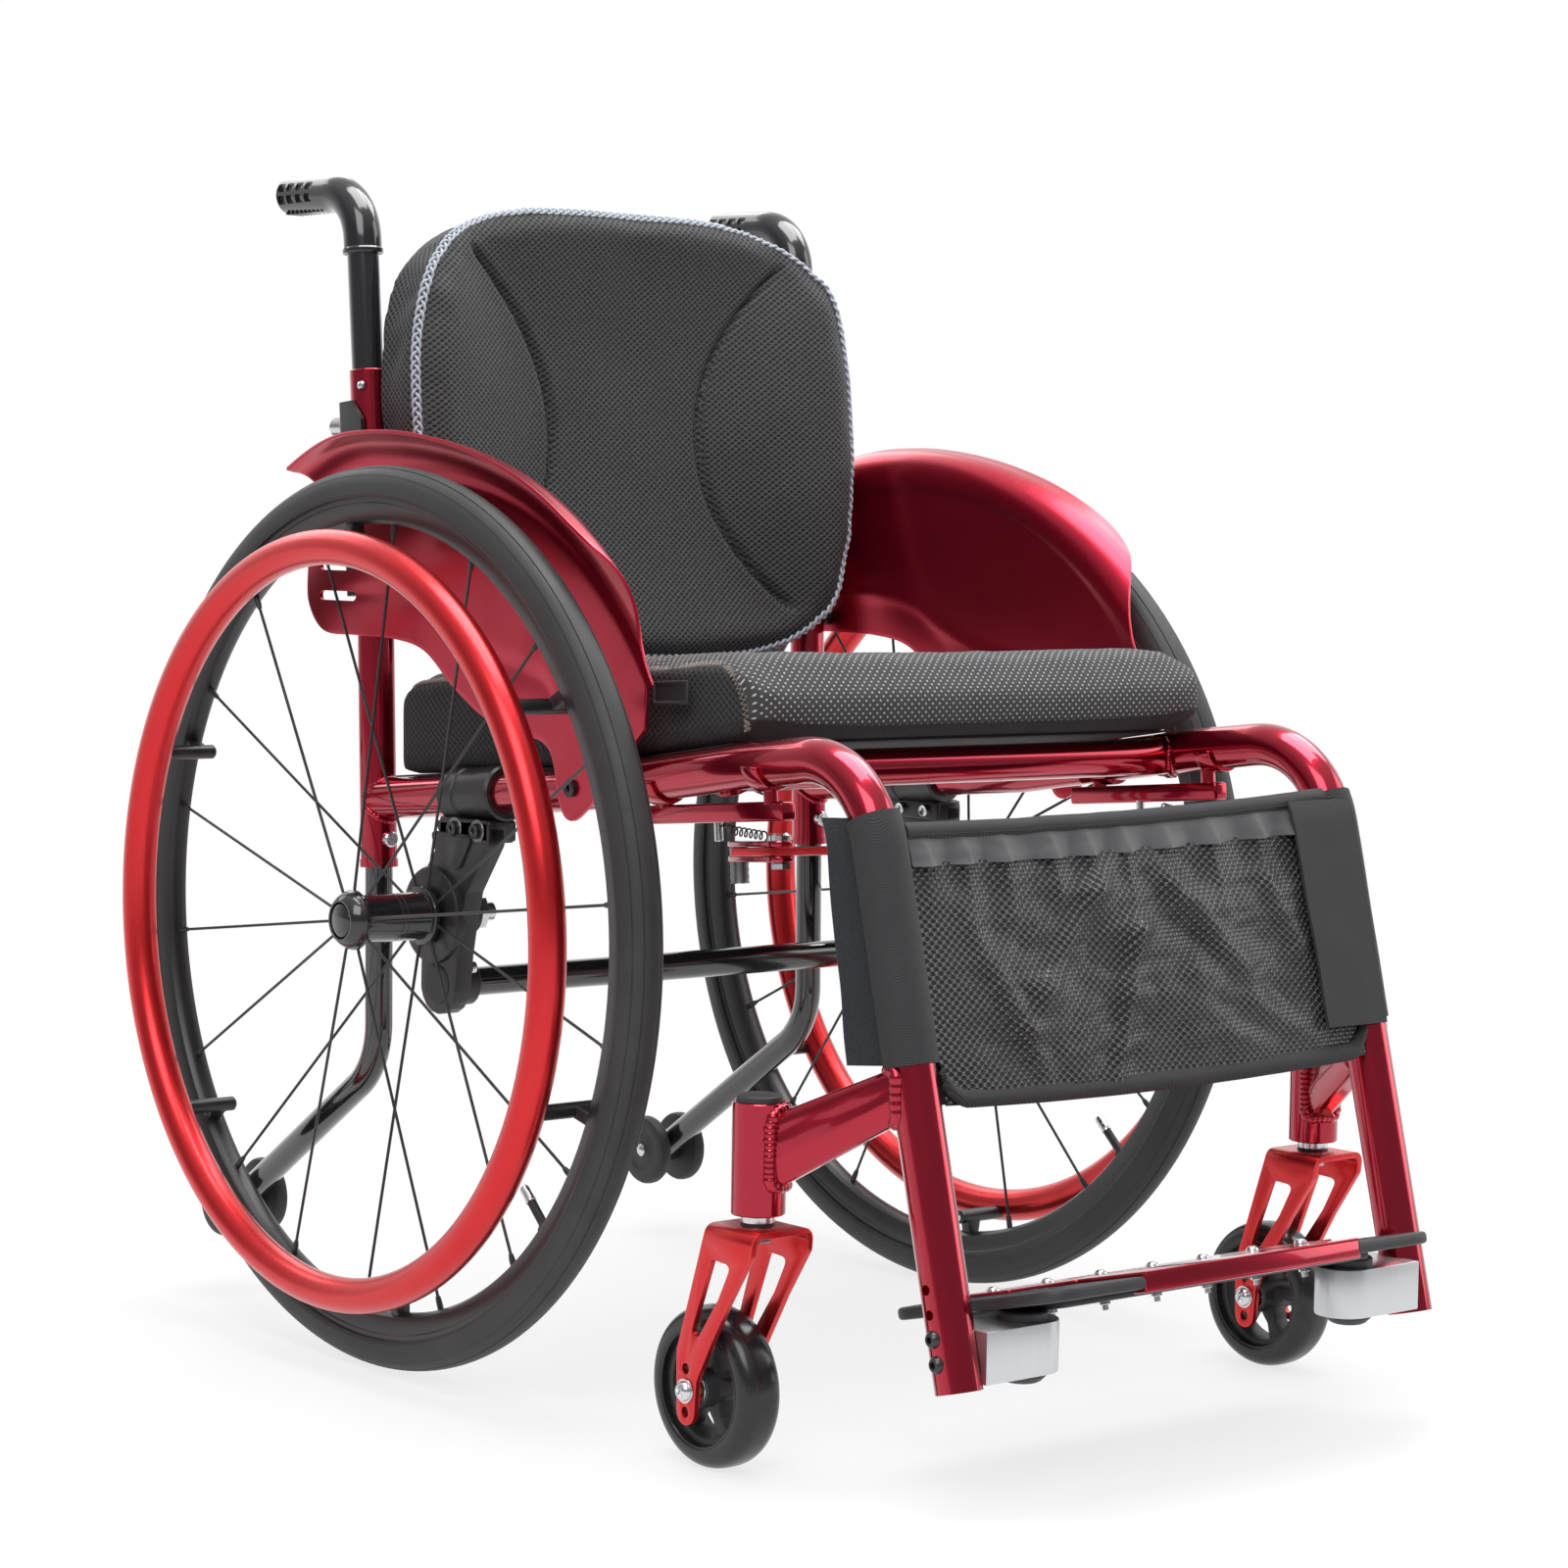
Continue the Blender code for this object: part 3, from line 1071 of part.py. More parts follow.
def back_pad():
    middle = (PAD_FOOT + PAD_HEAD) / 2
    half_height = (PAD_HEAD - PAD_FOOT) / 2
    rear = CANE_RADIUS + GAP

    def shape(a, b, c):
        groove_at = seam_x(b)
        knee = 6.0 / 14.0
        share = abs(a)
        if share <= knee:
            across_pad = groove_at * share / knee
        else:
            across_pad = groove_at + (PAD_HALF - groove_at) * (share - knee) / (1 - knee)
        across_pad = math.copysign(across_pad, a)
        x, h = squared(across_pad / PAD_HALF, b, 5.0)
        side_pull = 1.0 - 0.02 * (1 - c * c) * (1 - b ** 4)
        z = middle + h * half_height
        front = (c + 1) / 2
        crown = 0.006 * (1 - (across_pad / PAD_HALF) ** 4) * (1 - b ** 4)
        groove = 0.0
        if abs(share - knee) < 0.01 and abs(b) < 0.95:
            groove = 0.006
        edge = max(abs(x), abs(h))
        inset = 0.009 * max(0.0, (edge - 0.90) / 0.10) ** 2
        depth = rear + (PAD_THICKNESS + crown - groove - inset) * front
        rise = min(1.0, max(0.0, (z - rear) / PAD_SHOULDER))
        half_width = PAD_WAIST + (PAD_HALF - PAD_WAIST) * rise * rise * (3 - 2 * rise)
        return Vector((x * half_width * side_pull, depth, z))

    return soft_block((14, 10, 2), shape)


def build_backrest(root):
    frame = back_frame()
    hinge_y = cane_y(HINGE_Z)
    fold = pivot("back_hinge", (0, hinge_y, HINGE_Z), root)

    cane = fused(
        rod((RAIL_X, hinge_y, HINGE_Z), (RAIL_X, cane_y(CANE_TOP), CANE_TOP), CANE_RADIUS, 16),
        rod((RAIL_X - 0.0122, hinge_y, HINGE_Z), (RAIL_X + 0.0122, hinge_y, HINGE_Z), CANE_RADIUS - GAP, 16),
    )
    snap_out = Vector((0.80, -0.60, 0.0))
    cane = carved(
        cane,
        rod((RAIL_X, cane_y(HANDLE_FOOT - 0.004), HANDLE_FOOT - 0.004), (RAIL_X, cane_y(CANE_TOP + 0.01),
            CANE_TOP + 0.01), CANE_BORE, 16),
        rod((RAIL_X - 0.03, hinge_y, HINGE_Z), (RAIL_X + 0.03, hinge_y, HINGE_Z), HINGE_PIN_RADIUS + RUNNING, 8),
        snap_hole(SNAP_HEIGHT, snap_out, 0.004),
    )
    for side, word in SIDES:
        put("back_cane_" + word, on_side(cane, side), RED, fold)
    put("back_pad", moved(back_pad(), frame), SOFT_BLACK, fold, angle=60.0)

    build_brackets(root)
    build_lock_pins(root)
    build_handles(fold, snap_out)


def snap_hole(height, outward, depth_in):
    """A cutter through a tube's wall at a height, from depth_in inside the wall outwards."""
    centre = Vector((RAIL_X, cane_y(height), height))
    return rod(
        centre + outward * (CANE_BORE - depth_in), centre + outward * (CANE_RADIUS + 0.006), SNAP_RADIUS + GAP, 8
    )


def build_brackets(root):
    """A channel, open to the front, on the upright's top, with the pin that the cane folds on."""
    inner = CANE_RADIUS + GAP
    outer = inner + BRACKET_WALL
    lean = Matrix.Rotation(-math.atan(CANE_LEAN), 4, "X")
    height = BRACKET_TOP - BRACKET_FOOT
    section = [
        (-outer, -0.0085), (-inner, -0.0085), (-inner, inner), (inner, inner), (inner, -0.0085),
        (outer, -0.0085), (outer, outer - 0.002), (outer - 0.002, outer), (-outer + 0.002, outer),
        (-outer, outer - 0.002),
    ]
    middle = (BRACKET_TOP + BRACKET_FOOT) / 2
    channel = moved(
        slab(section, height), Matrix.Translation((RAIL_X, cane_y(middle), middle)) @ lean
    )
    hinge_y = cane_y(HINGE_Z)
    lock_y = cane_y(LOCK_HEIGHT)
    pin_hole = rod((RAIL_X, lock_y, LOCK_HEIGHT), (RAIL_X, lock_y + 0.03, LOCK_HEIGHT), LOCK_RADIUS + 2 * RUNNING, 8)
    relief = upright_line(UPRIGHT_RADIUS + GAP, BRACKET_FOOT - 0.02, HINGE_Z - CANE_RADIUS, 14)
    outside = outer + 0.0030
    pin = rod((RAIL_X - outside, hinge_y, HINGE_Z), (RAIL_X + outside, hinge_y, HINGE_Z), HINGE_PIN_RADIUS, 8)
    heads = [
        rod((RAIL_X + s * (outer - 0.001), hinge_y, HINGE_Z), (RAIL_X + s * outside, hinge_y, HINGE_Z), 0.0055, 8)
        for s in (-1, 1)
    ]
    channel = fused(carved(channel, relief, pin_hole), pin, *heads)
    for side, word in SIDES:
        put("back_bracket_" + word, on_side(channel, side), BLACK_METAL, root)


def build_lock_pins(root):
    """Pull pins behind the brackets: a knurled knob on a spring pin."""
    face = cane_y(LOCK_HEIGHT) + CANE_RADIUS + GAP + BRACKET_WALL
    knob = turned(
        (
            (0.0, KNOB_LENGTH), (KNOB_RADIUS - 0.0008, KNOB_LENGTH), (KNOB_RADIUS, KNOB_LENGTH - 0.0010),
            (KNOB_RADIUS, 0.0115), (KNOB_RADIUS - 0.0020, 0.0105), (KNOB_RADIUS - 0.0020, 0.0012),
            (LOCK_RADIUS, 0.0012), (LOCK_RADIUS, 0.0006 - BRACKET_WALL), (0.0, 0.0006 - BRACKET_WALL),
        ),
        10,
        closed=False,
    )
    place = Matrix.Translation((RAIL_X, face, LOCK_HEIGHT)) @ Matrix.Rotation(-math.pi / 2, 4, "X")
    knob = moved(knob, place)
    for side, word in SIDES:
        pull = pivot("lock_pin_pivot_" + word, (side * RAIL_X, face, LOCK_HEIGHT), root)
        put("lock_pin_" + word, on_side(knob, side), STEEL, pull)


def handle_path(low_z, end):
    """From a height on the cane's line, round the bend, back to end (y, z)."""
    corner = (RAIL_X, cane_y(HANDLE_CORNER_Z), HANDLE_CORNER_Z)
    points = [(RAIL_X, cane_y(low_z), low_z), corner, (RAIL_X, *end)]
    return rounded(points, (HANDLE_BEND,), steps=5)


def build_handles(fold, snap_out):
    rear_y, rear_z = HANDLE_END
    bar = tube(handle_path(HANDLE_FOOT, (rear_y - 0.012, rear_z)), HANDLE_RADIUS)
    bar = carved(bar, *[
        snap_hole(SNAP_HEIGHT - SNAP_PITCH * i, snap_out, 0.0045) for i in range(SNAP_HOLES)
    ])
    grip = tube(handle_path(GRIP_START, HANDLE_END), GRIP_RADIUS)
    bore = tube(handle_path(GRIP_START - 0.01, (rear_y - 0.0117, rear_z)), HANDLE_RADIUS + GAP)
    cells = []
    for row in (-1, 1):
        for column in range(4):
            y = rear_y - 0.010 - 0.0115 * column
            z = rear_z + 0.0040 * row
            cells.append(box((2 * GRIP_WALL - 0.0010, 0.0085, 0.0058), (RAIL_X + GRIP_RADIUS, y, z)))
    grip = carved(grip, bore, *cells)
    centre = Vector((RAIL_X, cane_y(SNAP_HEIGHT), SNAP_HEIGHT))
    button = rod(
        centre + snap_out * CANE_BORE, centre + snap_out * (CANE_RADIUS + 0.0022), SNAP_RADIUS, 8,
        tip=SNAP_RADIUS * 0.8,
    )
    for side, word in SIDES:
        slide = pivot("handle_slide_" + word, (side * RAIL_X, cane_y(CANE_TOP), CANE_TOP), fold)
        put("handle_tube_" + word, on_side(bar, side), GLOSS_BLACK, slide)
        put("handle_grip_" + word, on_side(grip, side), GLOSS_BLACK, slide)
        press = pivot("snap_button_pivot_" + word, (side * RAIL_X, cane_y(SNAP_HEIGHT), SNAP_HEIGHT), fold)
        put("snap_button_" + word, on_side(button, side), STEEL, press)


# Footrest

def board_frame():
    return Matrix.Translation((0, *BOARD_CENTRE)) @ Matrix.Rotation(BOARD_TILT, 4, "X")


def build_footrest(root):
    half, deep = BOARD_HALF, BOARD_DEPTH / 2
    frame = board_frame()
    corner = 0.014
    notch = CHANNEL_LIP + 0.0028
    outline = (
        circle((half - corner, deep - corner), corner, 4, 0.0, 90.0)
        + circle((corner - half, deep - corner), corner, 4, 90.0, 90.0)
        + circle((corner - half, corner - deep), corner, 4, 180.0, 90.0)
        + [(-CHANNEL_HALF, -deep), (-CHANNEL_HALF, notch - deep), (CHANNEL_HALF, notch - deep), (CHANNEL_HALF, -deep)]
        + circle((half - corner, corner - deep), corner, 4, 270.0, 90.0)
    )
    screws_x = [SCREW_PITCH * (i - (SCREW_COUNT - 1) / 2) for i in range(SCREW_COUNT)]
    low = -BOARD_THICKNESS - CHANNEL_SHEET
    board = moved(slab(outline, BOARD_THICKNESS), Matrix.Translation((0, 0, -CHANNEL_SHEET - BOARD_THICKNESS / 2)))
    put("footplate_board", moved(board, frame), SOFT_BLACK, root)

    wing = screws_x[-1] + 0.008
    plan = [
        (-wing, SCREW_Y + 0.030), (-wing, SCREW_Y - 0.022), (-CHANNEL_HALF, SCREW_Y - 0.030), (-CHANNEL_HALF, -deep),
        (CHANNEL_HALF, -deep), (CHANNEL_HALF, SCREW_Y - 0.030), (wing, SCREW_Y - 0.022), (wing, SCREW_Y + 0.030),
    ]
    sheet = moved(slab(plan, CHANNEL_SHEET - GAP), Matrix.Translation((0, 0, -(CHANNEL_SHEET - GAP) / 2)))
    lip = box((2 * CHANNEL_HALF - 2 * GAP, CHANNEL_LIP, -low + 0.001), (0, CHANNEL_LIP / 2 - deep, (low - 0.001) / 2))
    under = box((2 * CHANNEL_HALF - 2 * GAP, 0.012, 0.0022), (0, 0.006 - deep, low - 0.0014))

    heads = [rod((x, SCREW_Y, -0.0010), (x, SCREW_Y, 0.0020), 0.0040, 6) for x in screws_x]
    channel = fused(sheet, lip, under, *heads)
    put("footplate_channel", moved(channel, frame), RED, root)

    outer = RAIL_X - TUBE_RADIUS - GAP
    radius = BLOCK_DEPTH / 2
    leg_at = leg_y(BLOCK_Z)
    plan = (
        [(outer, leg_at + radius), (BLOCK_INNER + radius, leg_at + radius)]
        + circle((BLOCK_INNER + radius, leg_at), radius, 9, 90.0, 180.0)[1:-1]
        + [(BLOCK_INNER + radius, leg_at - radius), (outer, leg_at - radius)]
    )
    spacer_x = BLOCK_INNER + radius + 0.004
    block = moved(slab(plan, BLOCK_HEIGHT), Matrix.Translation((0, 0, BLOCK_Z)))
    block_top = BLOCK_Z + BLOCK_HEIGHT / 2
    block_foot = BLOCK_Z - BLOCK_HEIGHT / 2
    shelf = BOARD_CENTRE[1] + low + math.tan(BOARD_TILT) * (leg_at - BOARD_CENTRE[0])
    slant = SPACER_RADIUS * math.tan(-BOARD_TILT)
    spacer = turned(
        (
            (0.0, shelf - slant - GAP), (SPACER_RADIUS, shelf - slant - GAP), (SPACER_RADIUS, block_top - 0.0010),
            (BLOCK_BOLT, block_top - 0.0010), (BLOCK_BOLT, block_foot + 0.0010), (0.0130, block_foot + 0.0010),
            (0.0130, block_foot - 0.0020), (0.0105, block_foot - 0.0045), (0.0, block_foot - 0.0045),
        ),
        10,
        closed=False,
    )
    block = fused(block, moved(spacer, Matrix.Translation((spacer_x, leg_at, 0.0))))
    for side, word in SIDES:
        put("footplate_block_" + word, on_side(block, side), STEEL, root)


# Calf strap

def build_pouch(root):
    """A mesh pocket hung between two sleeves that wrap the legs and the start of their bends."""
    path = side_path()
    bend_start, bend_step = path[-2], path[-3]
    middle = (POUCH_TOP + POUCH_FOOT) / 2
    half = (POUCH_TOP - POUCH_FOOT) / 2

    def panel(a, b, c):
        sag = 0.006 * (1 - a * a) * max(0.0, b)
        billow = 0.006 * (1 - a ** 4) * (1 - b * b)
        z = middle + b * half - sag
        bent = max(0.0, z - bend_start.z) ** 2 / (2 * CORNER_BEND)
        depth = leg_y(z) + bent - POUCH_AHEAD - billow + c * (POUCH_THICKNESS / 2 + billow / 2)
        return Vector((a * (RAIL_X - TUBE_RADIUS + 0.0015), depth, z))

    sleeve = tube([(RAIL_X, leg_y(STRAP_FOOT), STRAP_FOOT), bend_start, bend_step], TUBE_RADIUS + GAP + STRAP_WALL)
    pouch = fused(soft_block((8, 6, 1), panel), sleeve, on_side(sleeve, -1))
    legs = tube(path, TUBE_RADIUS + GAP)
    pouch = carved(pouch, legs, on_side(legs, -1))
    put("calf_pouch", pouch, SOFT_BLACK, root, angle=50.0)


def centre_on_floor(root):
    """Moves the chair so that the origin is on the floor in the middle of its footprint."""
    bpy.context.view_layer.update()
    lows, highs = [], []
    for obj in CHAIR.objects:
        if obj.type != "MESH":
            continue
        ys = [(obj.matrix_world @ v.co).y for v in obj.data.vertices]
        lows.append(min(ys))
        highs.append(max(ys))
    root.location.y = -(min(lows) + max(highs)) / 2
    print("rear axle behind the origin by", round(root.location.y, 6))


for old in list(bpy.data.objects):
    bpy.data.objects.remove(old, do_unlink=True)
CHAIR = new_collection("wheelchair")
CUTTERS = new_collection("cutters")
chair = pivot("wheelchair_frame", (0, 0, 0))
build_frame(chair)
build_caster_arms(chair)
build_axle_plates(chair)
build_fenders(chair)
build_anti_tip(chair)
build_wheels(chair)
build_casters(chair)
build_brakes(chair)
build_seat(chair)
build_backrest(chair)
build_footrest(chair)
build_pouch(chair)
centre_on_floor(chair)
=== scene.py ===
"""The looks of a rigid-frame wheelchair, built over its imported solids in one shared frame."""

import math

import bpy
from mathutils import Matrix, Vector, noise
from mathutils.bvhtree import BVHTree


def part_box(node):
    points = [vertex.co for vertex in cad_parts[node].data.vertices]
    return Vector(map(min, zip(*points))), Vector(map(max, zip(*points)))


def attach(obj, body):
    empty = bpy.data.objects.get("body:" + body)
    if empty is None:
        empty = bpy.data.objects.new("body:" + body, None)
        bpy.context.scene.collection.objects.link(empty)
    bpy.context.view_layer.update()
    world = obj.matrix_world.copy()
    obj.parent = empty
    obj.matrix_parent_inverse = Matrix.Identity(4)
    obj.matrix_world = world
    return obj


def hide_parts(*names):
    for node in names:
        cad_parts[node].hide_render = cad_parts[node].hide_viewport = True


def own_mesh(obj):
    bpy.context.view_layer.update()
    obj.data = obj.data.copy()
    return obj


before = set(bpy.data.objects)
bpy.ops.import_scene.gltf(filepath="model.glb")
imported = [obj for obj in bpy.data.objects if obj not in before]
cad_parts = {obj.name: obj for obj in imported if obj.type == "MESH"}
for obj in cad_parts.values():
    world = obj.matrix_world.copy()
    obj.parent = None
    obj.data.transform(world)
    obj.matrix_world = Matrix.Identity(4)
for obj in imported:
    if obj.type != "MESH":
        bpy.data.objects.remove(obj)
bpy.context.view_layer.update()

axle_y = sum(corner.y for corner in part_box("tyre_left")) / 2


# Studio. The chair stands on a white floor that runs on into a white room. One broad lamp
# hangs ahead of it on the camera's left, with weaker ones on the right, behind and straight
# above, and a glint lamp high on the right that only glossy surfaces show. The camera is where
# the photograph was taken from.

def given_to(tree, sockets, values):
    """Gives sockets their values, or links them to the sockets that drive them."""
    for name, value in values.items():
        if isinstance(value, bpy.types.NodeSocket):
            tree.links.new(value, sockets[name])
        else:
            sockets[name].default_value = value


def feed(tree, kind, inputs=None, **settings):
    """Adds a shader node, sets it and feeds its inputs."""
    made = tree.nodes.new("ShaderNode" + kind)
    for name, value in settings.items():
        setattr(made, name, value)
    given_to(tree, made.inputs, inputs or {})
    return made


def calc(tree, operation, *values):
    return feed(tree, "Math", dict(enumerate(values)), operation=operation).outputs[0]


def mixed(tree, share, first, second):
    """A mix of two colours, each a socket or three numbers."""
    first, second = ((*tone, 1.0) if isinstance(tone, tuple) else tone for tone in (first, second))
    return feed(tree, "Mix", {0: share, 6: first, 7: second}, data_type="RGBA").outputs[2]


def ramp(tree, value, low, high, foot=0.0, top=1.0, soft=False):
    """How far a value is on its way from low to high, told as a number from foot to top."""
    kind = "SMOOTHSTEP" if soft else "LINEAR"
    given = {"Value": value, "From Min": low, "From Max": high, "To Min": foot, "To Max": top}
    return feed(tree, "MapRange", given, interpolation_type=kind).outputs["Result"]


def on_surface(tree):
    """The place on the piece in metres, for a texture to read."""
    return feed(tree, "TexCoord").outputs["Object"]


def nothing_selected():
    if bpy.context.object and bpy.context.object.mode != "OBJECT":
        bpy.ops.object.mode_set(mode="OBJECT")
    bpy.ops.object.select_all(action="DESELECT")


def aim_from(place, target):
    """A matrix that stands at a place and looks at a target along its own -Z."""
    turn = (Vector(target) - Vector(place)).to_track_quat("-Z", "Y").to_matrix().to_4x4()
    return Matrix.Translation(place) @ turn


scene = bpy.context.scene
scene.view_settings.view_transform = "Standard"

camera_place = (-1.6353, axle_y - 2.0951, 0.5640)
yaw, pitch, roll = math.radians(39.5228), math.radians(-3.9024), math.radians(0.9331)
ahead = Vector((math.sin(yaw) * math.cos(pitch), math.cos(yaw) * math.cos(pitch), math.sin(pitch)))
level = Vector((math.cos(yaw), -math.sin(yaw), 0.0))
above = level.cross(ahead)
rightwards = level * math.cos(roll) + above * math.sin(roll)
upwards = above * math.cos(roll) - level * math.sin(roll)
bpy.ops.object.camera_add()
camera = bpy.context.object
camera.name = "photographer"
camera_turn = Matrix((rightwards, upwards, -ahead)).transposed().to_4x4()
camera.matrix_world = Matrix.Translation(camera_place) @ camera_turn
camera.data.sensor_width = 36.0
camera.data.lens = 86.642
camera.data.clip_start = 0.1
camera.data.clip_end = 60.0
scene.camera = camera

for lamp_name, place, size, power in (
    ("key_lamp", (-2.3, -1.9, 2.7), (2.2, 2.2), 62.0),
    ("fill_lamp", (2.9, -1.6, 1.5), (1.6, 2.4), 26.0),
    ("back_lamp", (0.3, 3.0, 2.4), (3.2, 1.2), 24.0),
    ("top_lamp", (0.0, -0.1, 2.7), (1.7, 1.5), 58.0),
    ("glint_lamp", (1.45, 0.1, 2.5), (1.2, 1.5), 34.0),
):
    nothing_selected()
    bpy.ops.object.light_add(type="AREA")
    lamp = bpy.context.object
    lamp.name = lamp_name
    lamp.data.shape = "RECTANGLE"
    lamp.data.size, lamp.data.size_y = size
    lamp.data.energy = power
    lamp.matrix_world = aim_from(place, (0.0, 0.0, 0.35))
    lamp.visible_diffuse = lamp_name != "glint_lamp"

room = bpy.data.worlds.new("white_room")
room.use_nodes = True
scene.world = room
tree = room.node_tree
tree.nodes.clear()
ray = feed(tree, "LightPath").outputs
seen = calc(tree, "MAXIMUM", ray["Is Camera Ray"], ray["Is Transmission Ray"])
white_wall = feed(tree, "Background", {"Color": (1.0, 1.0, 1.0, 1.0), "Strength": 1.0}).outputs[0]
way = feed(tree, "TexCoord").outputs["Generated"]
towards_wall = feed(tree, "VectorMath", {0: way, 1: (0.62, 0.78, 0.06)},
                    operation="DOT_PRODUCT").outputs["Value"]
wall_share = ramp(tree, towards_wall, -0.10, 0.75, soft=True)
upwards_share = ramp(tree, feed(tree, "SeparateXYZ", {0: way}).outputs["Z"], 0.35, 0.95, top=0.85)
room_tone = mixed(tree, calc(tree, "MAXIMUM", wall_share, upwards_share),
                  (0.26, 0.265, 0.275), (1.0, 1.0, 1.0))
soft_light = feed(tree, "Background", {"Color": (0.95, 0.97, 1.0, 1.0), "Strength": 0.42}).outputs[0]
glossy_room = feed(tree, "Background", {"Color": room_tone, "Strength": 1.0}).outputs[0]
lit = feed(tree, "MixShader", {0: ray["Is Glossy Ray"], 1: soft_light, 2: glossy_room}).outputs[0]
either = feed(tree, "MixShader", {0: seen, 1: lit, 2: white_wall}).outputs[0]
feed(tree, "OutputWorld", {"Surface": either})

floor_look = bpy.data.materials.new("white_floor")
floor_look.use_nodes = True
tree = floor_look.node_tree
tree.nodes.clear()
away = feed(tree, "VectorMath", {0: on_surface(tree)}, operation="LENGTH").outputs["Value"]
far_off = ramp(tree, away, 0.3, 1.9, foot=0.76, soft=True)
mottle = feed(tree, "TexNoise", {"Scale": 1.4, "Detail": 2.0}).outputs["Fac"]
paper = mixed(tree, mottle, (0.93, 0.935, 0.945), (0.96, 0.96, 0.965))
matt = feed(tree, "BsdfPrincipled", {"Base Color": paper, "Roughness": 0.62}).outputs[0]
glow = feed(tree, "Emission", {"Color": (1.0, 1.0, 1.0, 1.0), "Strength": 1.0}).outputs[0]
ray = feed(tree, "LightPath").outputs
shown = calc(tree, "MAXIMUM", ray["Is Camera Ray"], ray["Is Glossy Ray"])
blend = feed(tree, "MixShader", {0: calc(tree, "MULTIPLY", far_off, shown), 1: matt, 2: glow}).outputs[0]
feed(tree, "OutputMaterial", {"Surface": blend})
nothing_selected()
bpy.ops.mesh.primitive_circle_add(vertices=96, radius=9.0, fill_type="NGON", location=(0.0, 0.0, -0.0004))
floor = bpy.context.object
floor.name = "white_floor"
floor.data.materials.append(floor_look)


# Side frames. Each is one 28.4 mm aluminium tube, bent from the rear of the seat round to the
# footrest, with an upright welded to its rear end and bolts for the footrest through its leg.
# The tube is polished, flake-coated and finished in a clear red lacquer.

def group(name, given, made):
    """A node group with named inputs, as (name, default), and outputs, as (name, kind)."""
    tree = bpy.data.node_groups.new(name, "ShaderNodeTree")
    kinds = {float: "NodeSocketFloat", tuple: "NodeSocketColor", Vector: "NodeSocketVector"}
    for label, value in given:
        socket = tree.interface.new_socket(label, in_out="INPUT", socket_type=kinds[type(value)])
        if type(value) is not Vector:
            socket.default_value = value
    for label, kind in made:
        tree.interface.new_socket(label, in_out="OUTPUT", socket_type=kinds[kind])
    return tree, tree.nodes.new("NodeGroupInput").outputs, tree.nodes.new("NodeGroupOutput").inputs


def noised(tree, place, scale, detail, roughness=0.5):
    """Cloudy noise, read at a place."""
    given = {"Vector": place, "Scale": scale, "Detail": detail, "Roughness": roughness}
    return feed(tree, "TexNoise", given).outputs["Fac"]


# Handling marks: a low, uneven change of gloss and tone, and fine hairline scratches.
handling, given, made = group(
    "handling",
    [("Vector", Vector()), ("Roughness", 0.3), ("Unevenness", 0.1), ("Scratches", 0.1)],
    [("Roughness", float), ("Tone", float)],
)
patch = noised(handling, given["Vector"], 22.0, 5.0, 0.62)
stretch = feed(handling, "Mapping", {
    "Vector": given["Vector"], "Rotation": (0.4, 0.9, 0.2), "Scale": (900.0, 35.0, 900.0)})
hair = noised(handling, stretch.outputs[0], 1.0, 1.0)
uneven = calc(handling, "MULTIPLY", calc(handling, "SUBTRACT", patch, 0.5), given["Unevenness"])
scratched = calc(handling, "MULTIPLY", ramp(handling, hair, 0.66, 0.74), given["Scratches"])
rough = calc(handling, "ADD", calc(handling, "ADD", given["Roughness"], uneven), scratched)
handling.links.new(rough, made["Roughness"])
handling.links.new(patch, made["Tone"])

# Edge wear and highlight: a mask of sharp edges, where a rounded normal leaves the flat one. On the black and
# silver finishes it lightens the edges as thin, worn coating; on the red ones it paints a pink highlight
# along them.
edge_wear_and_highlight, given, made = group("edge_wear_and_highlight", [("Width", 0.0008), ("Strength", 1.0)], [("Mask", float)])
shape = feed(edge_wear_and_highlight, "NewGeometry")
eased = feed(edge_wear_and_highlight, "Bevel", {"Radius": given["Width"]}, samples=4)
agree = feed(edge_wear_and_highlight, "VectorMath", {0: shape.outputs["Normal"], 1: eased.outputs["Normal"]},
             operation="DOT_PRODUCT")
edge_wear_and_highlight.links.new(ramp(edge_wear_and_highlight, agree.outputs["Value"], 0.985, 0.80, top=given["Strength"]),
                     made["Mask"])


def look(name, slot=None):
    """A material with one Principled shader, and the record's slot that it finishes."""
    made = bpy.data.materials.new(name)
    made.use_nodes = True
    if slot:
        made["slot"] = slot
    return made, made.node_tree, made.node_tree.nodes["Principled BSDF"]


def use(tree, built, **inputs):
    """Places a node group in a material, with its own values."""
    placed = tree.nodes.new("ShaderNodeGroup")
    placed.node_tree = built
    given_to(tree, placed.inputs, inputs)
    return placed.outputs


def set_shader(tree, shader, **values):
    """Sets or drives the shader's sockets by their names, with underscores for spaces."""
    given_to(tree, shader.inputs, {label.replace("_", " "): value for label, value in values.items()})


def bumped(tree, height, strength, distance):
    """A normal bent by a height."""
    return feed(tree, "Bump", {"Height": height, "Strength": strength, "Distance": distance}).outputs[0]


